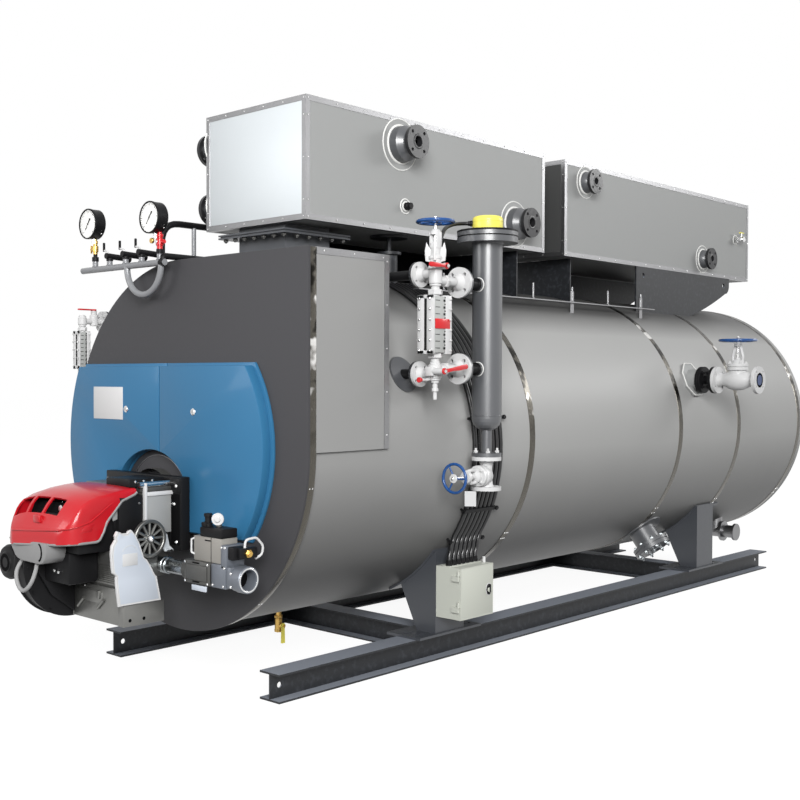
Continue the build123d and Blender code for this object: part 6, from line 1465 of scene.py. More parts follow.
class BOILER_OT_nozzles(BoilerOperator):
    """Pierced flanges, cones and sealed plates of the economizers' water nozzles, with the plug and cocks."""

    bl_idname = "boiler.nozzles"
    bl_label = "Nozzles"

    def nozzle(self, made, face, side, place, plate_r, cone, flange_r, flange_t, pitch_r, bore, reach):
        y, z = place
        axis = (side, 0, 0)
        end = face + side * reach
        sealant = sizes().sealant
        made.use("panel").steps((face, y, z), axis, (plate_r, 0.003), sides=64)
        made.use("sealant").bead((face, y, z), axis, plate_r, sealant, 64)
        made.bead((face + side * 0.003, y, z), axis, cone[0][0] + 0.003, sealant * 1.6, 56)
        made.use("column").turned(cone, (face, y, z), axis, 48)
        made.use("nozzle").flange((end - side * flange_t, y, z), axis, flange_r, flange_t, bore, pitch_r)
        made.turned([(bore, -0.03), (bore, 0.0), (bore + 0.008, 0.0015), (bore + 0.012, 0.0)], (end, y, z),
                axis, 36)
        # Painted shade: a dark disc down the bore.
        made.use("dark").steps((end - side * 0.05, y, z), axis, (bore, 0.004), sides=28)

    def build(self):
        for node, plate_r, flange, cone_radii in (
                ("economizer_1", 0.128, (FLANGE_R, FLANGE_T, FLANGE_PITCH_R, 0.0265), (0.092, 0.088, 0.062)),
                ("economizer_2", 0.095, (0.075, 0.018, 0.055, 0.021), (0.066, 0.062, 0.05))):
            low, high = span(node + "_casing")
            flange_r, flange_t, pitch_r, bore = flange
            made = Shape(node + "_water_nozzles", "panel")
            reach = 0.123 if node == "economizer_1" else 0.078
            cone = [(cone_radii[0], 0.0), (cone_radii[1], reach * 0.4), (cone_radii[2], reach * 0.62),
                    (cone_radii[2], reach - flange_t)]
            if node == "economizer_1":
                places = [(1, (1.109, 2.566)), (1, (2.092, 2.262)), (-1, (0.565, 2.566)),
                        (-1, (0.575, 2.262))]
            else:
                places = [(1, (2.829, 2.591)), (1, (4.367, 2.24))]
            for side, place in places:
                face = high.x if side > 0 else low.x
                self.nozzle(made, face, side, place, plate_r, cone, flange_r, flange_t, pitch_r, bore, reach)
            if node == "economizer_1":
                y, z = 1.151, 2.26
                made.use("sealant").bead((high.x, y, z), RIGHT, 0.037, 0.004, 36)
                made.steps((high.x, y, z), RIGHT, (0.027, 0.006), sides=30)
                made.use("black").steps((high.x, y, z), RIGHT, (0.02, 0.024), (0.016, 0.004), sides=28)
                made.hexagon((high.x + 0.028, y, z), RIGHT, 0.018, 0.014, 0.002)
            else:
                y, z = 4.883, 2.424
                made.use("sealant").bead((high.x, y, z), RIGHT, 0.032, 0.004, 36)
                made.use("chrome").steps((high.x, y, z), RIGHT, (0.021, 0.022), (0.016, 0.02), (0.02, 0.03),
                        sides=28)
                made.tube([(high.x + 0.05, y - 0.045, z), (high.x + 0.05, y + 0.045, z)], 0.013, sides=18)
                made.tube([(high.x + 0.05, y, z), (high.x + 0.05, y, z + 0.045)], 0.007, sides=12)
                made.use("yellow").block((high.x + 0.042, y - 0.03, z + 0.043),
                        (high.x + 0.058, y + 0.03, z + 0.051), 0.002)
            made.done(replaces=(node + "_nozzles",))


class BOILER_OT_level_column(BoilerOperator):
    """Level column's gasket, probe cap and cable, with the seams and collars of its pipework."""

    bl_idname = "boiler.level_column"
    bl_label = "Level Column"

    def build(self):
        x, y = COLUMN_AT
        flange_r = 0.142
        seams = Shape("column_seams", "black")
        seams.steps((x, y, 2.0405), UP, (flange_r - 0.004, 0.009), sides=64)
        seams.steps((x, y, 2.0655), UP, (flange_r + 0.0012, 0.0095), sides=64)
        seams.use("column").bead((x, y, 2.0155), UP, 0.0715, 0.0035, 48)
        seams.bead((x, y, 1.214), UP, 0.0705, 0.0022, 48)
        for z in BRANCH_ZS:
            seams.use("sealant").bead((x, y - 0.069, z), FRONT, 0.031, 0.003, 36)
            seams.use("black").steps((x, y - 0.068, z), FRONT, (0.03, 0.02), (0.022, 0.1), sides=32)
            seams.nuts((x, 0.868, z), BACK, 0.05, 4, 0.009, 0.6)
        seams.use("white").nuts((x, y, 1.039), UP, 0.05, 4, 0.011, 1.1)
        seams.done()
        cap = Shape("probe_cover", "yellow")
        low, high = span("probe_cap")
        radius = (high.x - low.x) / 2
        rise = high.z - low.z
        profile = [(0.0, 0.0), (radius * 0.985, 0.0), (radius, 0.004), (radius * 0.985, rise * 0.72),
                   (radius * 0.965, rise * 0.84), (radius * 0.9, rise * 0.94), (radius * 0.8, rise * 0.985),
                   (radius * 0.5, rise), (0.0, rise)]
        cap.turned(profile, (x, y, low.z), UP, 56)
        cap.bead((x, y, low.z + rise * 0.62), UP, radius * 0.985, 0.0015, 56)
        gland = Vector((-0.725, -0.689, 0.0))
        root = Vector((x, y, low.z + 0.036))
        cap.use("black").steps(root + gland * radius * 0.93, gland, (0.014, 0.014), (0.0115, 0.01), sides=20)
        cap.done(replaces=("probe_cap",))
        start = root + gland * (radius * 0.93 + 0.02)
        route = [start, start + gland * 0.04, (0.868, 0.9, 2.098), (0.892, 0.812, 2.068), (0.912, 0.762, 2.0),
                 (0.912, 0.748, 1.92), (0.906, 0.747, 1.84), (0.912, 0.738, 1.795), (0.924, 0.722, 1.75)]
        cord("probe_cable", "cable", route, 0.009)


class BOILER_OT_level_gauges(BoilerOperator):
    """Level gauges: slotted frames with bolts, a bare scale, cocks, a finned bonnet and red handles."""

    bl_idname = "boiler.level_gauges"
    bl_label = "Level Gauges"

    # Pins that the three levers turn on
    upper_pivot = (1.01, 0.692, 1.883)
    lower_pivot = (1.04, 0.64, 1.418)
    left_pivot = (-0.958, 0.17, 1.742)

    def body(self, made, low, high, rows):
        """Slotted front frame, scale and rear strip between two corners."""
        depth = high.y - low.y
        frame_y = low.y + depth * 0.1
        strip_y = high.y - depth * 0.32
        mid_x = (low.x + high.x) / 2
        slot = 0.008
        side = high.x - low.x
        made.use("white").block((low.x, low.y + 0.004, low.z), (high.x, frame_y, high.z), 0.003)
        for x0, x1 in ((low.x, mid_x - slot), (mid_x + slot, high.x)):
            made.block((x0, low.y, low.z), (x1, low.y + 0.006, high.z), 0.002)
        for z0, z1 in ((low.z, low.z + 0.016), (high.z - 0.016, high.z)):
            made.block((low.x, low.y, z0), (high.x, low.y + 0.006, z1), 0.002)
        made.use("ink").block((mid_x - slot, low.y + 0.003, low.z + 0.014),
                (mid_x + slot, low.y + 0.0045, high.z - 0.014), 0.0)
        made.use("scale").block((low.x + 0.006, frame_y, low.z + 0.006),
                (high.x - 0.004, strip_y, high.z - 0.006), 0.001)
        made.use("white").block((low.x, strip_y, low.z), (high.x, high.y, high.z), 0.003)
        made.use("chrome")
        for row in range(rows):
            z = low.z + 0.016 + (high.z - low.z - 0.032) * row / (rows - 1)
            for x in (low.x + side * 0.16, high.x - side * 0.16):
                made.nut((x, low.y, z), FRONT, 0.0065, 0.5)
            made.use("white").nut((high.x, high.y - depth * 0.1, z), RIGHT, 0.0065, 0.5)
            made.nut((low.x, low.y + depth * 0.08, z), LEFT, 0.0065, 0.5)
            made.use("chrome")
        made.use("ink")
        span_z = high.z - low.z - 0.05
        for mark in range(8):
            z = low.z + 0.025 + span_z * mark / 7
            made.block((high.x - 0.0042, frame_y + depth * 0.06, z),
                    (high.x - 0.0032, frame_y + depth * 0.3, z + 0.003), 0.0)
            made.block((high.x - 0.0042, strip_y - depth * 0.1, z - 0.004),
                    (high.x - 0.0028, strip_y, z + 0.006), 0.0)
            made.steps((high.x - 0.0042, strip_y - depth * 0.02, z + span_z / 14), RIGHT, (0.004, 0.0014),
                    sides=8)

    def right(self):
        x, y = GAUGE_AT
        gauge = Shape("water_gauge_right", "white")
        self.body(gauge, Vector((0.909, 0.61, 1.494)), Vector((1.0, 0.741, 1.754)), 6)
        gauge.use("lever").block((0.9955, 0.628, 1.606), (1.0005, 0.728, 1.65), 0.001)
        gauge.use("white")
        for z0, z1 in ((1.418, 1.498), (1.75, 1.836)):
            gauge.tube([(x, y, z0), (x, y, z1)], 0.0195, sides=28)
        for z in (1.476, 1.756):
            gauge.hexagon((x, y, z), UP, 0.034, 0.024, 0.003)
        for z, size in ((1.795, 0.026), (1.44, 0.025)):
            gauge.steps((x, y, z), UP, (size, 0.01), sides=28)
        for side_z, branch_z in zip(SIDE_ZS, BRANCH_ZS):
            hub_z = (side_z + branch_z) / 2
            gauge.use("white").steps((x, y, hub_z - 0.042), UP, (0.024, 0.012), (0.03, 0.06), (0.024, 0.012),
                                     sides=32, edge=0.004)
            gauge.tube([(x, y, side_z), (0.868, y, side_z)], 0.02, sides=24)
            gauge.turned([(0.034, 0.0), (0.022, 0.024)], (0.875, y, side_z), RIGHT, 28)
            gauge.flange((0.863, y, side_z), RIGHT, 0.0575, 0.012, 0.015, 0.043, 0.007)
            gauge.tube([(x, y, branch_z), (x, 0.842, branch_z)], 0.02, sides=24)
            gauge.turned([(0.04, 0.0), (0.022, 0.03)], (x, 0.836, branch_z), FRONT, 28)
            gauge.flange((x, 0.85, branch_z), FRONT, 0.07, 0.014, 0.015, 0.05)
            gauge.hexagon((x, 0.735, branch_z), BACK, 0.029, 0.016, 0.002)
            # Painted shade: dark discs inside the flange's bolt holes.
            gauge.use("dark")
            for turn in range(4):
                angle = radians(45 + 90 * turn)
                gauge.steps((0.866, y + 0.043 * cos(angle), side_z + 0.043 * sin(angle)), RIGHT,
                        (0.0068, 0.002), sides=14)
        # Bonnet with its fins, the window of the yoke and the stem
        gauge.use("white").steps((x, y, 1.87), UP, (0.033, 0.014), (0.026, 0.03), (0.03, 0.016),
                (0.023, 0.04), sides=32, edge=0.003)
        for turn in (35, 125, 215, 305):
            plane = side_frame((x, y, 0), (cos(radians(turn)), sin(radians(turn)), 0), UP)
            fin = [(0.016, 1.9), (0.044, 1.906), (0.048, 1.95), (0.04, 1.99), (0.03, 1.968), (0.016, 1.962)]
            gauge.prism(fin, plane @ Matrix.Translation((0, 0, -0.005)), 0.01, 0.002)
        for side in (-1, 1):
            gauge.block((x + side * 0.018 - 0.006, y - 0.016, 1.965),
                    (x + side * 0.018 + 0.006, y + 0.016, 2.034), 0.003)
        gauge.turned([(0.0, 1.962), (0.026, 1.962), (0.025, 1.984), (0.0, 1.984)], (x, y, 0), UP, 28)
        gauge.turned([(0.0, 2.022), (0.0245, 2.022), (0.023, 2.036), (0.016, 2.046), (0.0, 2.046)], (x, y, 0),
                UP, 28)
        gauge.use("chrome").tube([(x, y, 1.98), (x, y, 2.092)], 0.0068, sides=14)
        # Drain at the foot, the bosses of both cocks and a small knob
        gauge.use("white").steps((x, y, 1.378), DOWN, (0.018, 0.012), (0.012, 0.024), (0.016, 0.014),
                (0.009, 0.036), sides=20)
        gauge.block((0.938, 0.626, 1.396), (0.982, y, 1.44), 0.006)
        for px, py, pz in (self.upper_pivot, self.lower_pivot):
            gauge.use("white").tube([(x, py, pz), (px - 0.0045, py, pz)], 0.0138, sides=20)
            gauge.use("chrome").steps((px + 0.0045, py, pz), RIGHT, (0.009, 0.005), (0.006, 0.004), sides=6)
        gauge.use("lever").steps((0.938, 0.605, 1.38), FRONT, (0.009, 0.008), (0.012, 0.012), sides=16)
        gauge.use("white").tube([(x - 0.01, y, 1.39), (0.938, 0.64, 1.38), (0.938, 0.6, 1.38)], 0.007, 0.02,
                12)
        gauge.done(replaces=("level_gauge_right",))
        pipes = Shape("gauge_side_pipes", "column")
        for z in SIDE_ZS:
            skin = skin_at(z - DRUM_Z)
            pipes.use("column").tube([(skin - 0.05, y, z), (0.845, y, z)], 0.017, sides=24)
            pipes.use("black").tube([(skin - 0.02, y, z), (0.85, y, z)], 0.0225, sides=24)
            pipes.flange((0.849, y, z), RIGHT, 0.0575, 0.013, 0.0, 0.043, 0.007)
            pipes.nuts((0.849, y, z), LEFT, 0.043, 4, 0.009, 0.6)
        pipes.done()

    def lever(self, node, pivot, axis, along, length):
        """A dipped flat handle on a round hub."""
        flat = side_frame(pivot, along, Vector(axis).cross(Vector(along)))
        made = Shape(node + "_handle", "lever")
        grip = [(0.0, -0.0085), (length * 0.35, -0.0075), (length * 0.6, -0.0105), (length - 0.008, -0.011),
                (length, -0.006), (length, 0.006), (length - 0.008, 0.011), (length * 0.6, 0.0105),
                (length * 0.35, 0.0075), (0.0, 0.0085)]
        made.prism(grip, flat @ Matrix.Translation((0, 0, -0.004)), 0.008, 0.0022)
        made.steps(Vector(pivot) - Vector(axis) * 0.004, axis, (0.014, 0.008), sides=28)
        made.done(node, (node,))

    def left(self):
        x, y = -0.958, 0.1
        gauge = Shape("water_gauge_left", "white")
        self.body(gauge, Vector((x - 0.03, 0.062, 1.431)), Vector((x + 0.03, 0.13, 1.629)), 5)
        gauge.use("white")
        gauge.tube([(x, y, 1.36), (x, y, 1.436)], 0.0148, sides=24)
        gauge.tube([(x, y, 1.624), (x, y, 1.712)], 0.0148, sides=24)
        for z in (1.412, 1.63):
            gauge.hexagon((x, y, z), UP, 0.024, 0.018, 0.002)
        for z in (1.385, 1.68):
            gauge.use("white").steps((x, y, z - 0.028), UP, (0.019, 0.01), (0.023, 0.036), (0.019, 0.01),
                    sides=28)
            gauge.tube([(x, y, z), (x, 0.225, z)], 0.0148, sides=22)
            gauge.flange((x, 0.217, z), BACK, 0.057, 0.013, 0.0, 0.042, 0.007)
            gauge.nuts((x, 0.217, z), FRONT, 0.042, 4, 0.008, 0.6)
            gauge.use("black").flange((x, 0.232, z), BACK, 0.057, 0.013, 0.0, 0.042, 0.007)
            skin = skin_at(z - DRUM_Z)
            gauge.use("column").tube([(x, 0.24, z), (x, 0.3, z), (-skin + 0.05, 0.3, z)], 0.0148, 0.03, 20)
        gauge.use("white").steps((x, 0.17, 1.658), UP, (0.022, 0.056), (0.016, 0.0235), sides=24)
        gauge.use("chrome").steps((x, 0.17, 1.737), UP, (0.0055, 0.01), sides=12)
        gauge.use("white").steps((x, y, 1.36), DOWN, (0.012, 0.014), (0.008, 0.016), sides=16)
        gauge.done(replaces=("level_gauge_left",))

    def build(self):
        self.right()
        self.left()
        tilt = radians(8)
        self.lever("gauge_lever_upper", self.upper_pivot, RIGHT, FRONT, 0.12)
        self.lever("gauge_lever_lower", self.lower_pivot, RIGHT, (0, cos(tilt), sin(tilt)), 0.165)
        self.lever("gauge_lever_left", self.left_pivot, UP, FRONT, 0.095)


class BOILER_OT_manifold(BoilerOperator):
    """Gauge manifold: pipe with welded stubs, siphon, cocks, and the two pressure gauges with their dials."""

    bl_idname = "boiler.manifold"
    bl_label = "Gauge Manifold"

    left_x, right_x = -0.592, -0.07
    # The three plain stubs between the gauges
    stubs = (-0.47, -0.338, -0.21)

    def dial(self, node, x):
        z = span(node)[1].z - 0.09
        radius = 0.074
        back, front = -0.045, -0.107
        gauge = Shape(node + "_dial", "black")
        case = [(0.0, 0.0), (radius - 0.006, 0.0), (radius - 0.002, 0.004), (radius - 0.002, 0.046),
                (radius, 0.05), (radius, 0.06), (radius - 0.002, 0.062), (radius - 0.006, 0.062),
                (radius - 0.007, 0.056)]
        gauge.turned(case, (x, back, z), FRONT, 64)
        gauge.use("dial").steps((x, front + 0.008, z), FRONT, (radius - 0.006, 0.003), sides=64, edge=0.0)
        gauge.use("ink")
        face = front + 0.005
        for mark in range(31):
            angle = radians(225 - 9 * mark)
            length = 0.01 if mark % 5 == 0 else 0.005
            width = 0.0011 if mark % 5 == 0 else 0.0005
            plane = side_frame((x, face, z), (cos(angle), 0, sin(angle)), (-sin(angle), 0, cos(angle)))
            gauge.block((radius - 0.011 - length, -width, -0.0004), (radius - 0.011, width, 0.0008), 0, plane)
        angle = radians(52)
        plane = side_frame((x, face, z), (cos(angle), 0, sin(angle)), (-sin(angle), 0, cos(angle)))
        gauge.block((-0.036, -0.0014, 0.001), (0.0, 0.0014, 0.0022), 0, plane)
        gauge.block((0.0, -0.0026, 0.001), (0.03, 0.0026, 0.0022), 0, plane)
        gauge.steps(Vector((x, face, z)) + plane.to_3x3() @ Vector((0.027, 0, 0)), FRONT, (0.0055, 0.0025),
                sides=20)
        gauge.steps((x, face, z), FRONT, (0.005, 0.003), sides=20)
        gauge.use("chrome").steps((x, back - 0.024, z - radius + 0.003), DOWN, (0.008, 0.01), (0.01, 0.012),
                sides=6)
        for height in (-0.03, -0.044):
            gauge.steps((x + 0.052, back - 0.02, z + height), (0.8, 0, -0.6), (0.004, 0.012), sides=10)
        gauge.done(replaces=(node,))

    def build(self):
        self.dial("pressure_gauge_left", self.left_x)
        self.dial("pressure_gauge_right", self.right_x - 0.022)
        y, z = -0.06, 1.914
        left_x, right_x = self.left_x, self.right_x
        pipe = Shape("gauge_pipe", "pipe")
        pipe.tube([(-0.702, y, z), (-0.031, y, z)], 0.015, sides=28)
        pipe.turned([(0.0, -0.006), (0.009, -0.004), (0.0145, 0.0)], (-0.702, y, z), RIGHT, 24)
        siphon = arc_points((-0.193, 1.906), (0.133, 0.133), 180, 360, 20)
        pipe.tube([(-0.326, y, z)] + [(sx, y, sz) for sx, sz in siphon] + [(-0.06, y, z)], 0.0148, sides=28)
        for x in (left_x, right_x, *self.stubs):
            pipe.steps((x, y, z), UP, (0.0138, 0.046), sides=24)
            pipe.bead((x, y, z + 0.0145), UP, 0.0145, 0.002, 24)
        pipe.use("black")
        for x in self.stubs:
            pipe.steps((x, y, z + 0.034), UP, (0.0165, 0.014), (0.012, 0.012), sides=24)
            pipe.tube([(x, y - 0.022, 1.972), (x, y + 0.112, 1.966)], 0.0142, sides=20)
            pipe.steps((x, y + 0.1, 1.966), BACK, (0.0175, 0.016), sides=24)
            pipe.use("white").tube([(x, y, 1.975), (x - 0.02, y, 1.996), (x - 0.047, y, 2.002)], 0.0045,
                    0.012, 12)
            pipe.use("black").block((x - 0.052, y - 0.006, 1.996), (x - 0.044, y + 0.006, 2.04), 0.003)
        end_x, lift_z = -0.046, 1.943
        pipe.steps((-0.034, y, z), LEFT, (0.018, 0.03), sides=24)
        pipe.tube([(end_x, y, z), (end_x, y, lift_z), (end_x, 0.411, lift_z),
                (end_x, 0.411, DRUM_Z + DRUM_R - 0.02)], 0.0148, 0.03, 24)
        for x in (left_x, right_x):
            pipe.steps((x, y, z + 0.04), UP, (0.0165, 0.022), (0.01, 0.02), sides=24)
        pipe.use("brass").steps((left_x, y, z + 0.074), UP, (0.011, 0.012), (0.015, 0.03), (0.01, 0.01),
                                (0.012, 0.016), (0.007, 0.016), sides=20)
        pipe.tube([(left_x - 0.036, y, z + 0.101), (left_x + 0.014, y, z + 0.101)], 0.0065, sides=14)
        pipe.block((left_x - 0.038, y - 0.004, z + 0.082), (left_x - 0.032, y + 0.004, z + 0.12), 0.002)
        pipe.steps((right_x - 0.052, y, z + 0.104), FRONT, (0.013, 0.012), sides=16)
        pipe.use("lever").steps((right_x, y, z + 0.06), UP, (0.014, 0.018), (0.018, 0.03), (0.013, 0.008),
                                (0.017, 0.014), (0.01, 0.01), sides=20)
        pipe.tube([(right_x - 0.018, y, z + 0.094), (right_x + 0.036, y, z + 0.094)], 0.0095, sides=14)
        pipe.use("chrome").steps((right_x, y - 0.017, z + 0.094), FRONT, (0.008, 0.006), sides=16)
        pipe.done(replaces=("gauge_manifold",))
        stub = Shape("blank_stub", "pipe")
        skin_x = -skin_at(1.752 - DRUM_Z)
        stub.tube([(skin_x + 0.03, 0.09, 1.752), (skin_x - 0.085, 0.09, 1.752)], 0.024, sides=24)
        stub.use("black").tube([(skin_x + 0.03, 0.09, 1.752), (skin_x + 0.002, 0.09, 1.752)], 0.025, sides=24)
        stub.done()


class BOILER_OT_vent_pipe(BoilerOperator):
    """Vent pipe and its post."""

    bl_idname = "boiler.vent_pipe"
    bl_label = "Vent Pipe"

    def build(self):
        x, z = -0.52, 2.175
        foot = DRUM_Z + skin_at(x) - 0.02
        pipe = Shape("vent_hoop", "black")
        pipe.tube([(x, 0.285, foot), (x, 0.285, z), (x, 1.0, z), (x, 1.0, foot)], 0.0169, 0.11, 28)
        pipe.use("pipe").tube([(x, 0.49, foot), (x, 0.49, z - 0.012)], 0.0118, sides=20)
        for y in (0.285, 0.49, 1.0):
            pipe.turned([(0.034, 0.0), (0.03, 0.004), (0.02, 0.01)], (x, y, foot + 0.018), UP, 28)
        pipe.done(replaces=("vent_pipe",))


class BOILER_OT_wiring(BoilerOperator):
    """Cables laid round the jacket with their clamps, the junction box's door, and the rail's hangers."""

    bl_idname = "boiler.wiring"
    bl_label = "Wiring"

    x = 0.715
    # Cables over the box in y, the radius they lie at, and the clamps by angle and shift along the drum
    cable_ys = tuple(1.08 + 0.034 * count for count in range(7))
    lay = DRUM_R + 0.013
    clamp_places = ((8, 0.026), (-23, 0.05), (-35, 0.05))
    hanger_places = (1.35, 1.75, 2.15, 2.55, 2.95, 3.35)

    def cables(self, top):
        """Seven cables that follow the jacket down and turn into the box."""
        cables = Shape("laid_cables", "cable")
        for y in self.cable_ys:
            route = []
            for angle in range(69, -36, -3):
                across, height = on_drum(angle, self.lay)
                route.append((across, y + 0.05 * min(1.0, max(0.0, (40 - angle) / 62)), height))
            route += [(self.x - 0.012, y + 0.034, 0.572), (self.x, y + 0.012, 0.545), (self.x, y, 0.52)]
            cables.tube(route + [(self.x, y, top - 0.005)], 0.0115, sides=14)
        cables.done(replaces=("conduits",))

    def clamps(self):
        """Straps over the cables, each on two studs."""
        middle_y = self.cable_ys[3]
        clamps = Shape("cable_clamps", "black")
        for angle, shift in self.clamp_places:
            turn = radians(angle)
            y = middle_y + shift
            across, height = on_drum(angle, self.lay + 0.0125)
            plane = side_frame((across, y, height), BACK, (-sin(turn), 0, cos(turn)))
            clamps.block((-0.135, -0.009, -0.004), (0.135, 0.009, 0.004), 0, plane)
            foot_x, foot_z = on_drum(angle, DRUM_R - 0.004)
            for stud_y in (y - 0.126, y + 0.126):
                head = (across, stud_y, height)
                clamps.steps(head, (cos(turn), 0, sin(turn)), (0.011, 0.01), sides=12)
                clamps.tube([(foot_x, stud_y, foot_z), head], 0.006, sides=10)
        clamps.done(replaces=("conduit_straps",))

    def glands(self, top):
        x = self.x
        glands = Shape("box_glands", "black")
        for y in self.cable_ys:
            glands.use("black").steps((x, y, top), UP, (0.0155, 0.016), (0.0135, 0.014), sides=18)
            glands.use("chrome").hexagon((x, y, top - 0.001), UP, 0.0162, 0.005, 0.001)
        glands.use("pale").steps((x + 0.052, 1.29, top), UP, (0.008, 0.03), sides=14)
        glands.use("beige").block((x - 0.03, 1.064, top - 0.001), (x + 0.03, 1.3, top + 0.0025), 0.001)
        glands.done()

    def door(self):
        """Door with turned edges and a quarter-turn lock on an oval plate."""
        back = span("junction_box_door")[0].x
        front, y0, y1, z0, z1 = 0.808, 1.058, 1.309, 0.225, 0.47
        door = Shape("box_door", "beige")
        door.block((back, y0, z0), (front, y1, z1), 0.0035)
        for edge_z in (z0, z1 - 0.0025):
            door.block((back - 0.001, y0, edge_z), (front, y1, edge_z + 0.0025), 0.001)
        oval = [(0.019 * cos(t * pi / 12), 0.027 * sin(t * pi / 12)) for t in range(24)]
        plane = side_plane(front, 1.274, 0.3475)
        door.use("pale").prism([(p[0] * 1.18, p[1] * 1.12) for p in oval], plane, 0.0022, 0.0006)
        door.use("black").prism(oval, plane, 0.006, 0.002)
        door.block((0.812, 1.262, 0.33), (0.822, 1.282, 0.372), 0.004)
        door.use("chrome").steps((0.82, 1.272, 0.35), RIGHT, (0.004, 0.0015), sides=12)
        door.done("junction_box_door")

    def hangers(self):
        hangers = Shape("rail_hangers", "trim")
        for y in self.hanger_places:
            hangers.tube([(0.452, y, 1.842), (0.452, y, 1.93)], 0.006, sides=12)
            hangers.nut((0.452, y, 1.838), UP, 0.011, 0.0)
        hangers.done()

    def build(self):
        top = span("junction_box")[1].z
        self.cables(top)
        self.clamps()
        self.glands(top)
        self.door()
        self.hangers()


class BOILER_OT_fittings(BoilerOperator):
    """Handhole's bolts, drain valve's nuts, the end sheets of the economizers, and plates of painted shade
    under the first one.
    """

    bl_idname = "boiler.fittings"
    bl_label = "Fittings"

    def handhole(self):
        angle = -52.6
        x, z = on_drum(angle, DRUM_R + 0.1)
        out = Vector((cos(radians(angle)), 0, sin(radians(angle))))
        inner = Vector((x, 3.29, z))
        outer = inner + out * 0.046
        bolts = Shape("handhole_bolts", "zinc")
        bolts.nuts(outer, out, 0.1, 8, sizes().bolt, 0.9)
        bolts.nuts(inner, -out, 0.1, 8, sizes().bolt, 0.5)
        bolts.steps(outer, out, (0.02, 0.006), (0.01, 0.012), sides=24)
        bolts.done()

    def drain(self):
        y = 0.612
        drain = Shape("drain_nuts", "brass")
        drain.hexagon((0, y, 0.186), UP, 0.021, 0.014, 0.002)
        drain.hexagon((0, y, 0.116), UP, 0.021, 0.016, 0.002)
        drain.steps((0, y, 0.15), RIGHT, (0.013, 0.026), sides=20)
        drain.done()

    def end_sheet(self, node, finish_name):
        """Sheet of an economizer's front end inside its trims, with a seam round it."""
        inset = 0.024
        low, high = span(node)
        x0, x1, z0, z1 = low.x + inset, high.x - inset, low.z + inset, high.z - inset
        sheet = Shape(node.replace("casing", "end_sheet"), finish_name)
        sheet.block((x0, low.y - 0.0012, z0), (x1, low.y + 0.002, z1), 0.0004)
        corners = [(x0, z0), (x1, z0), (x1, z1), (x0, z1), (x0, z0)]
        sheet.use("trim").tube([(x, low.y - 0.001, z) for x, z in corners], 0.0016, sides=6)
        sheet.done()

    def gap_shade(self):
        """Painted shade: two dark plates that stand from the jacket up to the first economizer, filling the
        gap under it.
        """
        low, high = span("economizer_1_casing")
        gap_shade = Shape("economizer_shade_plates", "dark")
        for x in (-0.3, -0.24):
            foot = DRUM_Z + skin_at(x) - 0.02
            gap_shade.block((x - 0.004, 0.88, foot), (x + 0.004, high.y - 0.05, low.z), 0.001)
        gap_shade.done()

    def build(self):
        self.handhole()
        self.drain()
        # The first end sheet is painted light, the second painted shade from the first economizer.
        self.end_sheet("economizer_1_casing", "front_sheet")
        self.end_sheet("economizer_2_casing", "shade_sheet")
        self.gap_shade()


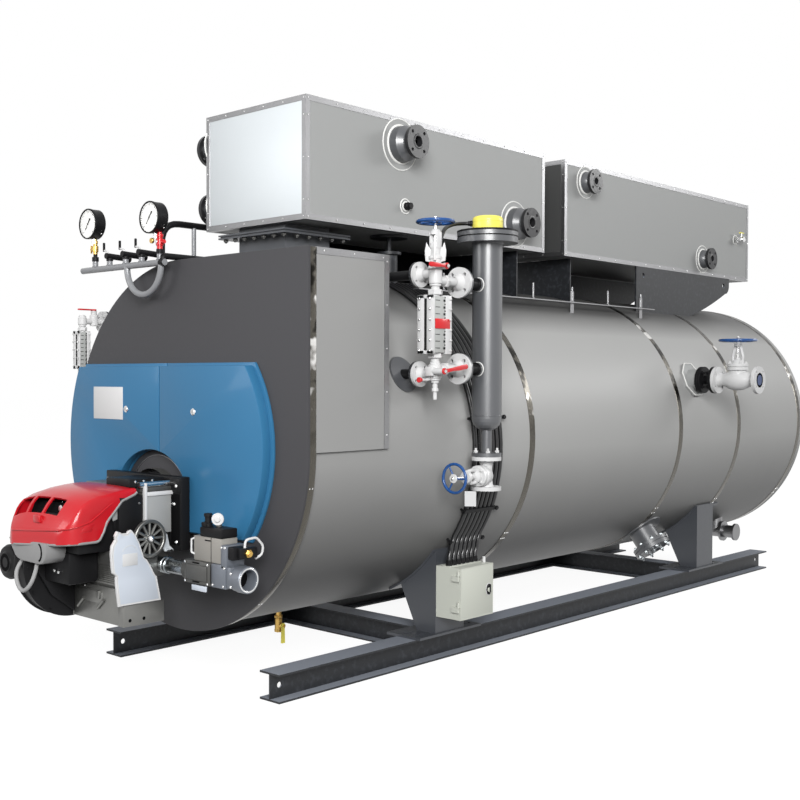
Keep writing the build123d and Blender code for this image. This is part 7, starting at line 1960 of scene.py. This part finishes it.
class BOILER_OT_stage(BoilerOperator):
    """Pale floor and backdrop, soft studio light and the camera."""

    bl_idname = "boiler.stage"
    bl_label = "Stage"

    def seen_share(self, graph):
        """One for the rays that show the backdrop: from the camera, in gloss and through glass."""
        rays = graph.node("ShaderNodeLightPath").socket.node.outputs
        direct, gloss, glass = (Wire(graph, rays["Is %s Ray" % kind])
                for kind in ("Camera", "Glossy", "Transmission"))
        return graph.limit(direct + gloss + glass, 0.0, 1.0)

    def pale_floor(self):
        """Shows as white and keeps the boiler's shadow."""
        graph = Graph("studio_floor")
        speck = graph.noise(30.0, 3.0)
        tone = graph.mix(speck, (0.11, 0.11, 0.11), (0.13, 0.13, 0.13))
        shown = graph.node("ShaderNodeBsdfDiffuse", None, {"Color": tone})
        ground = graph.node("ShaderNodeBsdfDiffuse", None, {"Color": (0.1, 0.1, 0.1, 1.0)})
        glow = graph.node("ShaderNodeEmission", None, {"Color": (1.0, 1.0, 1.0, 1.0), "Strength": 0.93})
        white = graph.node("ShaderNodeAddShader", None, {0: shown, 1: glow})
        both = graph.node("ShaderNodeMixShader", None, {0: self.seen_share(graph), 1: ground, 2: white})
        graph.node("ShaderNodeOutputMaterial", None, {"Surface": both})
        return graph.material

    def sky(self):
        """White where it is seen, and a soft even light on the boiler."""
        world = bpy.data.worlds.new("studio")
        world.use_nodes = True
        world.node_tree.nodes.clear()
        graph = Graph("studio_sky", world.node_tree)
        ahead = graph.node("ShaderNodeTexCoord", None, None, "Generated")
        rise = graph.limit(graph.node("ShaderNodeSeparateXYZ", None, {"Vector": ahead}, "Z"), 0.0, 1.0)
        soft = graph.node("ShaderNodeBackground", None,
                          {"Color": (1.0, 1.0, 1.0, 1.0), "Strength": rise * 0.75 + 0.06})
        white = graph.node("ShaderNodeBackground", None, {"Color": (1.0, 1.0, 1.0, 1.0), "Strength": 1.0})
        both = graph.node("ShaderNodeMixShader", None, {0: self.seen_share(graph), 1: soft, 2: white})
        graph.node("ShaderNodeOutputWorld", None, {"Surface": both})
        bpy.context.scene.world = world

    def lamp(self, name, place, target, size, power):
        data = bpy.data.lights.new(name, "AREA")
        data.shape = "RECTANGLE"
        data.size, data.size_y = size
        data.energy = power
        lamp = linked(name, data)
        lamp.location = ORIGIN + Vector(place)
        lamp.rotation_euler = (Vector(target) - Vector(place)).to_track_quat("-Z", "Y").to_euler()

    def build(self):
        mesh = bpy.data.meshes.new("floor")
        reach = 60.0
        mesh.from_pydata([(-reach, -reach, 0), (reach, -reach, 0), (reach, reach, 0), (-reach, reach, 0)], [],
                         [(0, 1, 2, 3)])
        mesh.materials.append(self.pale_floor())
        floor = linked("floor", mesh)
        self.lamp("key_softbox", (7.5, -6.0, 4.6), (0.6, 1.2, 1.4), (5.0, 4.0), 1450)
        self.lamp("front_softbox", (-4.0, -8.0, 4.0), (0.0, 0.0, 1.2), (4.0, 3.0), 200)
        self.lamp("rear_softbox", (6.0, 10.0, 5.0), (0.8, 3.0, 1.4), (4.0, 2.0), 240)
        self.sky()
        self.camera()
        bpy.context.scene.view_settings.view_transform = "Standard"

    def camera(self):
        """Camera where the photograph was taken from, found from the object's own edges."""
        place = Vector((4.1808, -3.2014, 1.3897))
        yaw, pitch, roll = 0.75971, -0.02564, 0.00247
        ahead = Vector((-sin(yaw) * cos(pitch), cos(yaw) * cos(pitch), sin(pitch)))
        right = Vector((cos(yaw), sin(yaw), 0.0))
        up = right.cross(ahead)
        right_rolled = right * cos(roll) + up * sin(roll)
        up_rolled = up * cos(roll) - right * sin(roll)
        focal, centre_u, centre_v, image = 1132.74, 359.9, 406.59, 800
        data = bpy.data.cameras.new("photo_camera")
        data.sensor_width = 36.0
        data.lens = focal / image * data.sensor_width
        data.shift_x = (image / 2 - centre_u) / image
        data.shift_y = (centre_v - image / 2) / image
        camera = linked("photo_camera", data)
        rotation = Matrix((right_rolled, up_rolled, -ahead)).transposed().to_4x4()
        camera.matrix_world = Matrix.Translation(ORIGIN + place) @ rotation
        bpy.context.scene.camera = camera


class BOILER_PT_panel(bpy.types.Panel):
    """Lists the boiler's sizes, colours and pieces."""

    bl_label = "Boiler"
    bl_idname = "BOILER_PT_panel"
    bl_space_type = "VIEW_3D"
    bl_region_type = "UI"
    bl_category = "Boiler"

    def draw(self, context):
        for group in (context.scene.boiler_sizes, context.scene.boiler_colours):
            for key in group.__annotations__:
                self.layout.prop(group, key)
        for piece in PIECES:
            self.layout.operator(piece.bl_idname)


PIECES = (
    BOILER_OT_finish_frame,
    BOILER_OT_drum,
    BOILER_OT_front,
    BOILER_OT_covers,
    BOILER_OT_economizers,
    BOILER_OT_handwheels,
    BOILER_OT_burner_hood,
    BOILER_OT_burner_body,
    BOILER_OT_gas_train,
    BOILER_OT_valves,
    BOILER_OT_nozzles,
    BOILER_OT_level_column,
    BOILER_OT_level_gauges,
    BOILER_OT_manifold,
    BOILER_OT_vent_pipe,
    BOILER_OT_wiring,
    BOILER_OT_fittings,
    BOILER_OT_stage,
)
CLASSES = (BoilerSizes, BoilerColours, *PIECES, BOILER_PT_panel)


def register():
    for item in CLASSES:
        bpy.utils.register_class(item)
    bpy.types.Scene.boiler_sizes = PointerProperty(type=BoilerSizes)
    bpy.types.Scene.boiler_colours = PointerProperty(type=BoilerColours)


def unregister():
    del bpy.types.Scene.boiler_colours
    del bpy.types.Scene.boiler_sizes
    for item in reversed(CLASSES):
        bpy.utils.unregister_class(item)


def main():
    register()
    for piece in PIECES:
        group, name = piece.bl_idname.split(".")
        getattr(getattr(bpy.ops, group), name)()


if __name__ == "__main__":
    main()
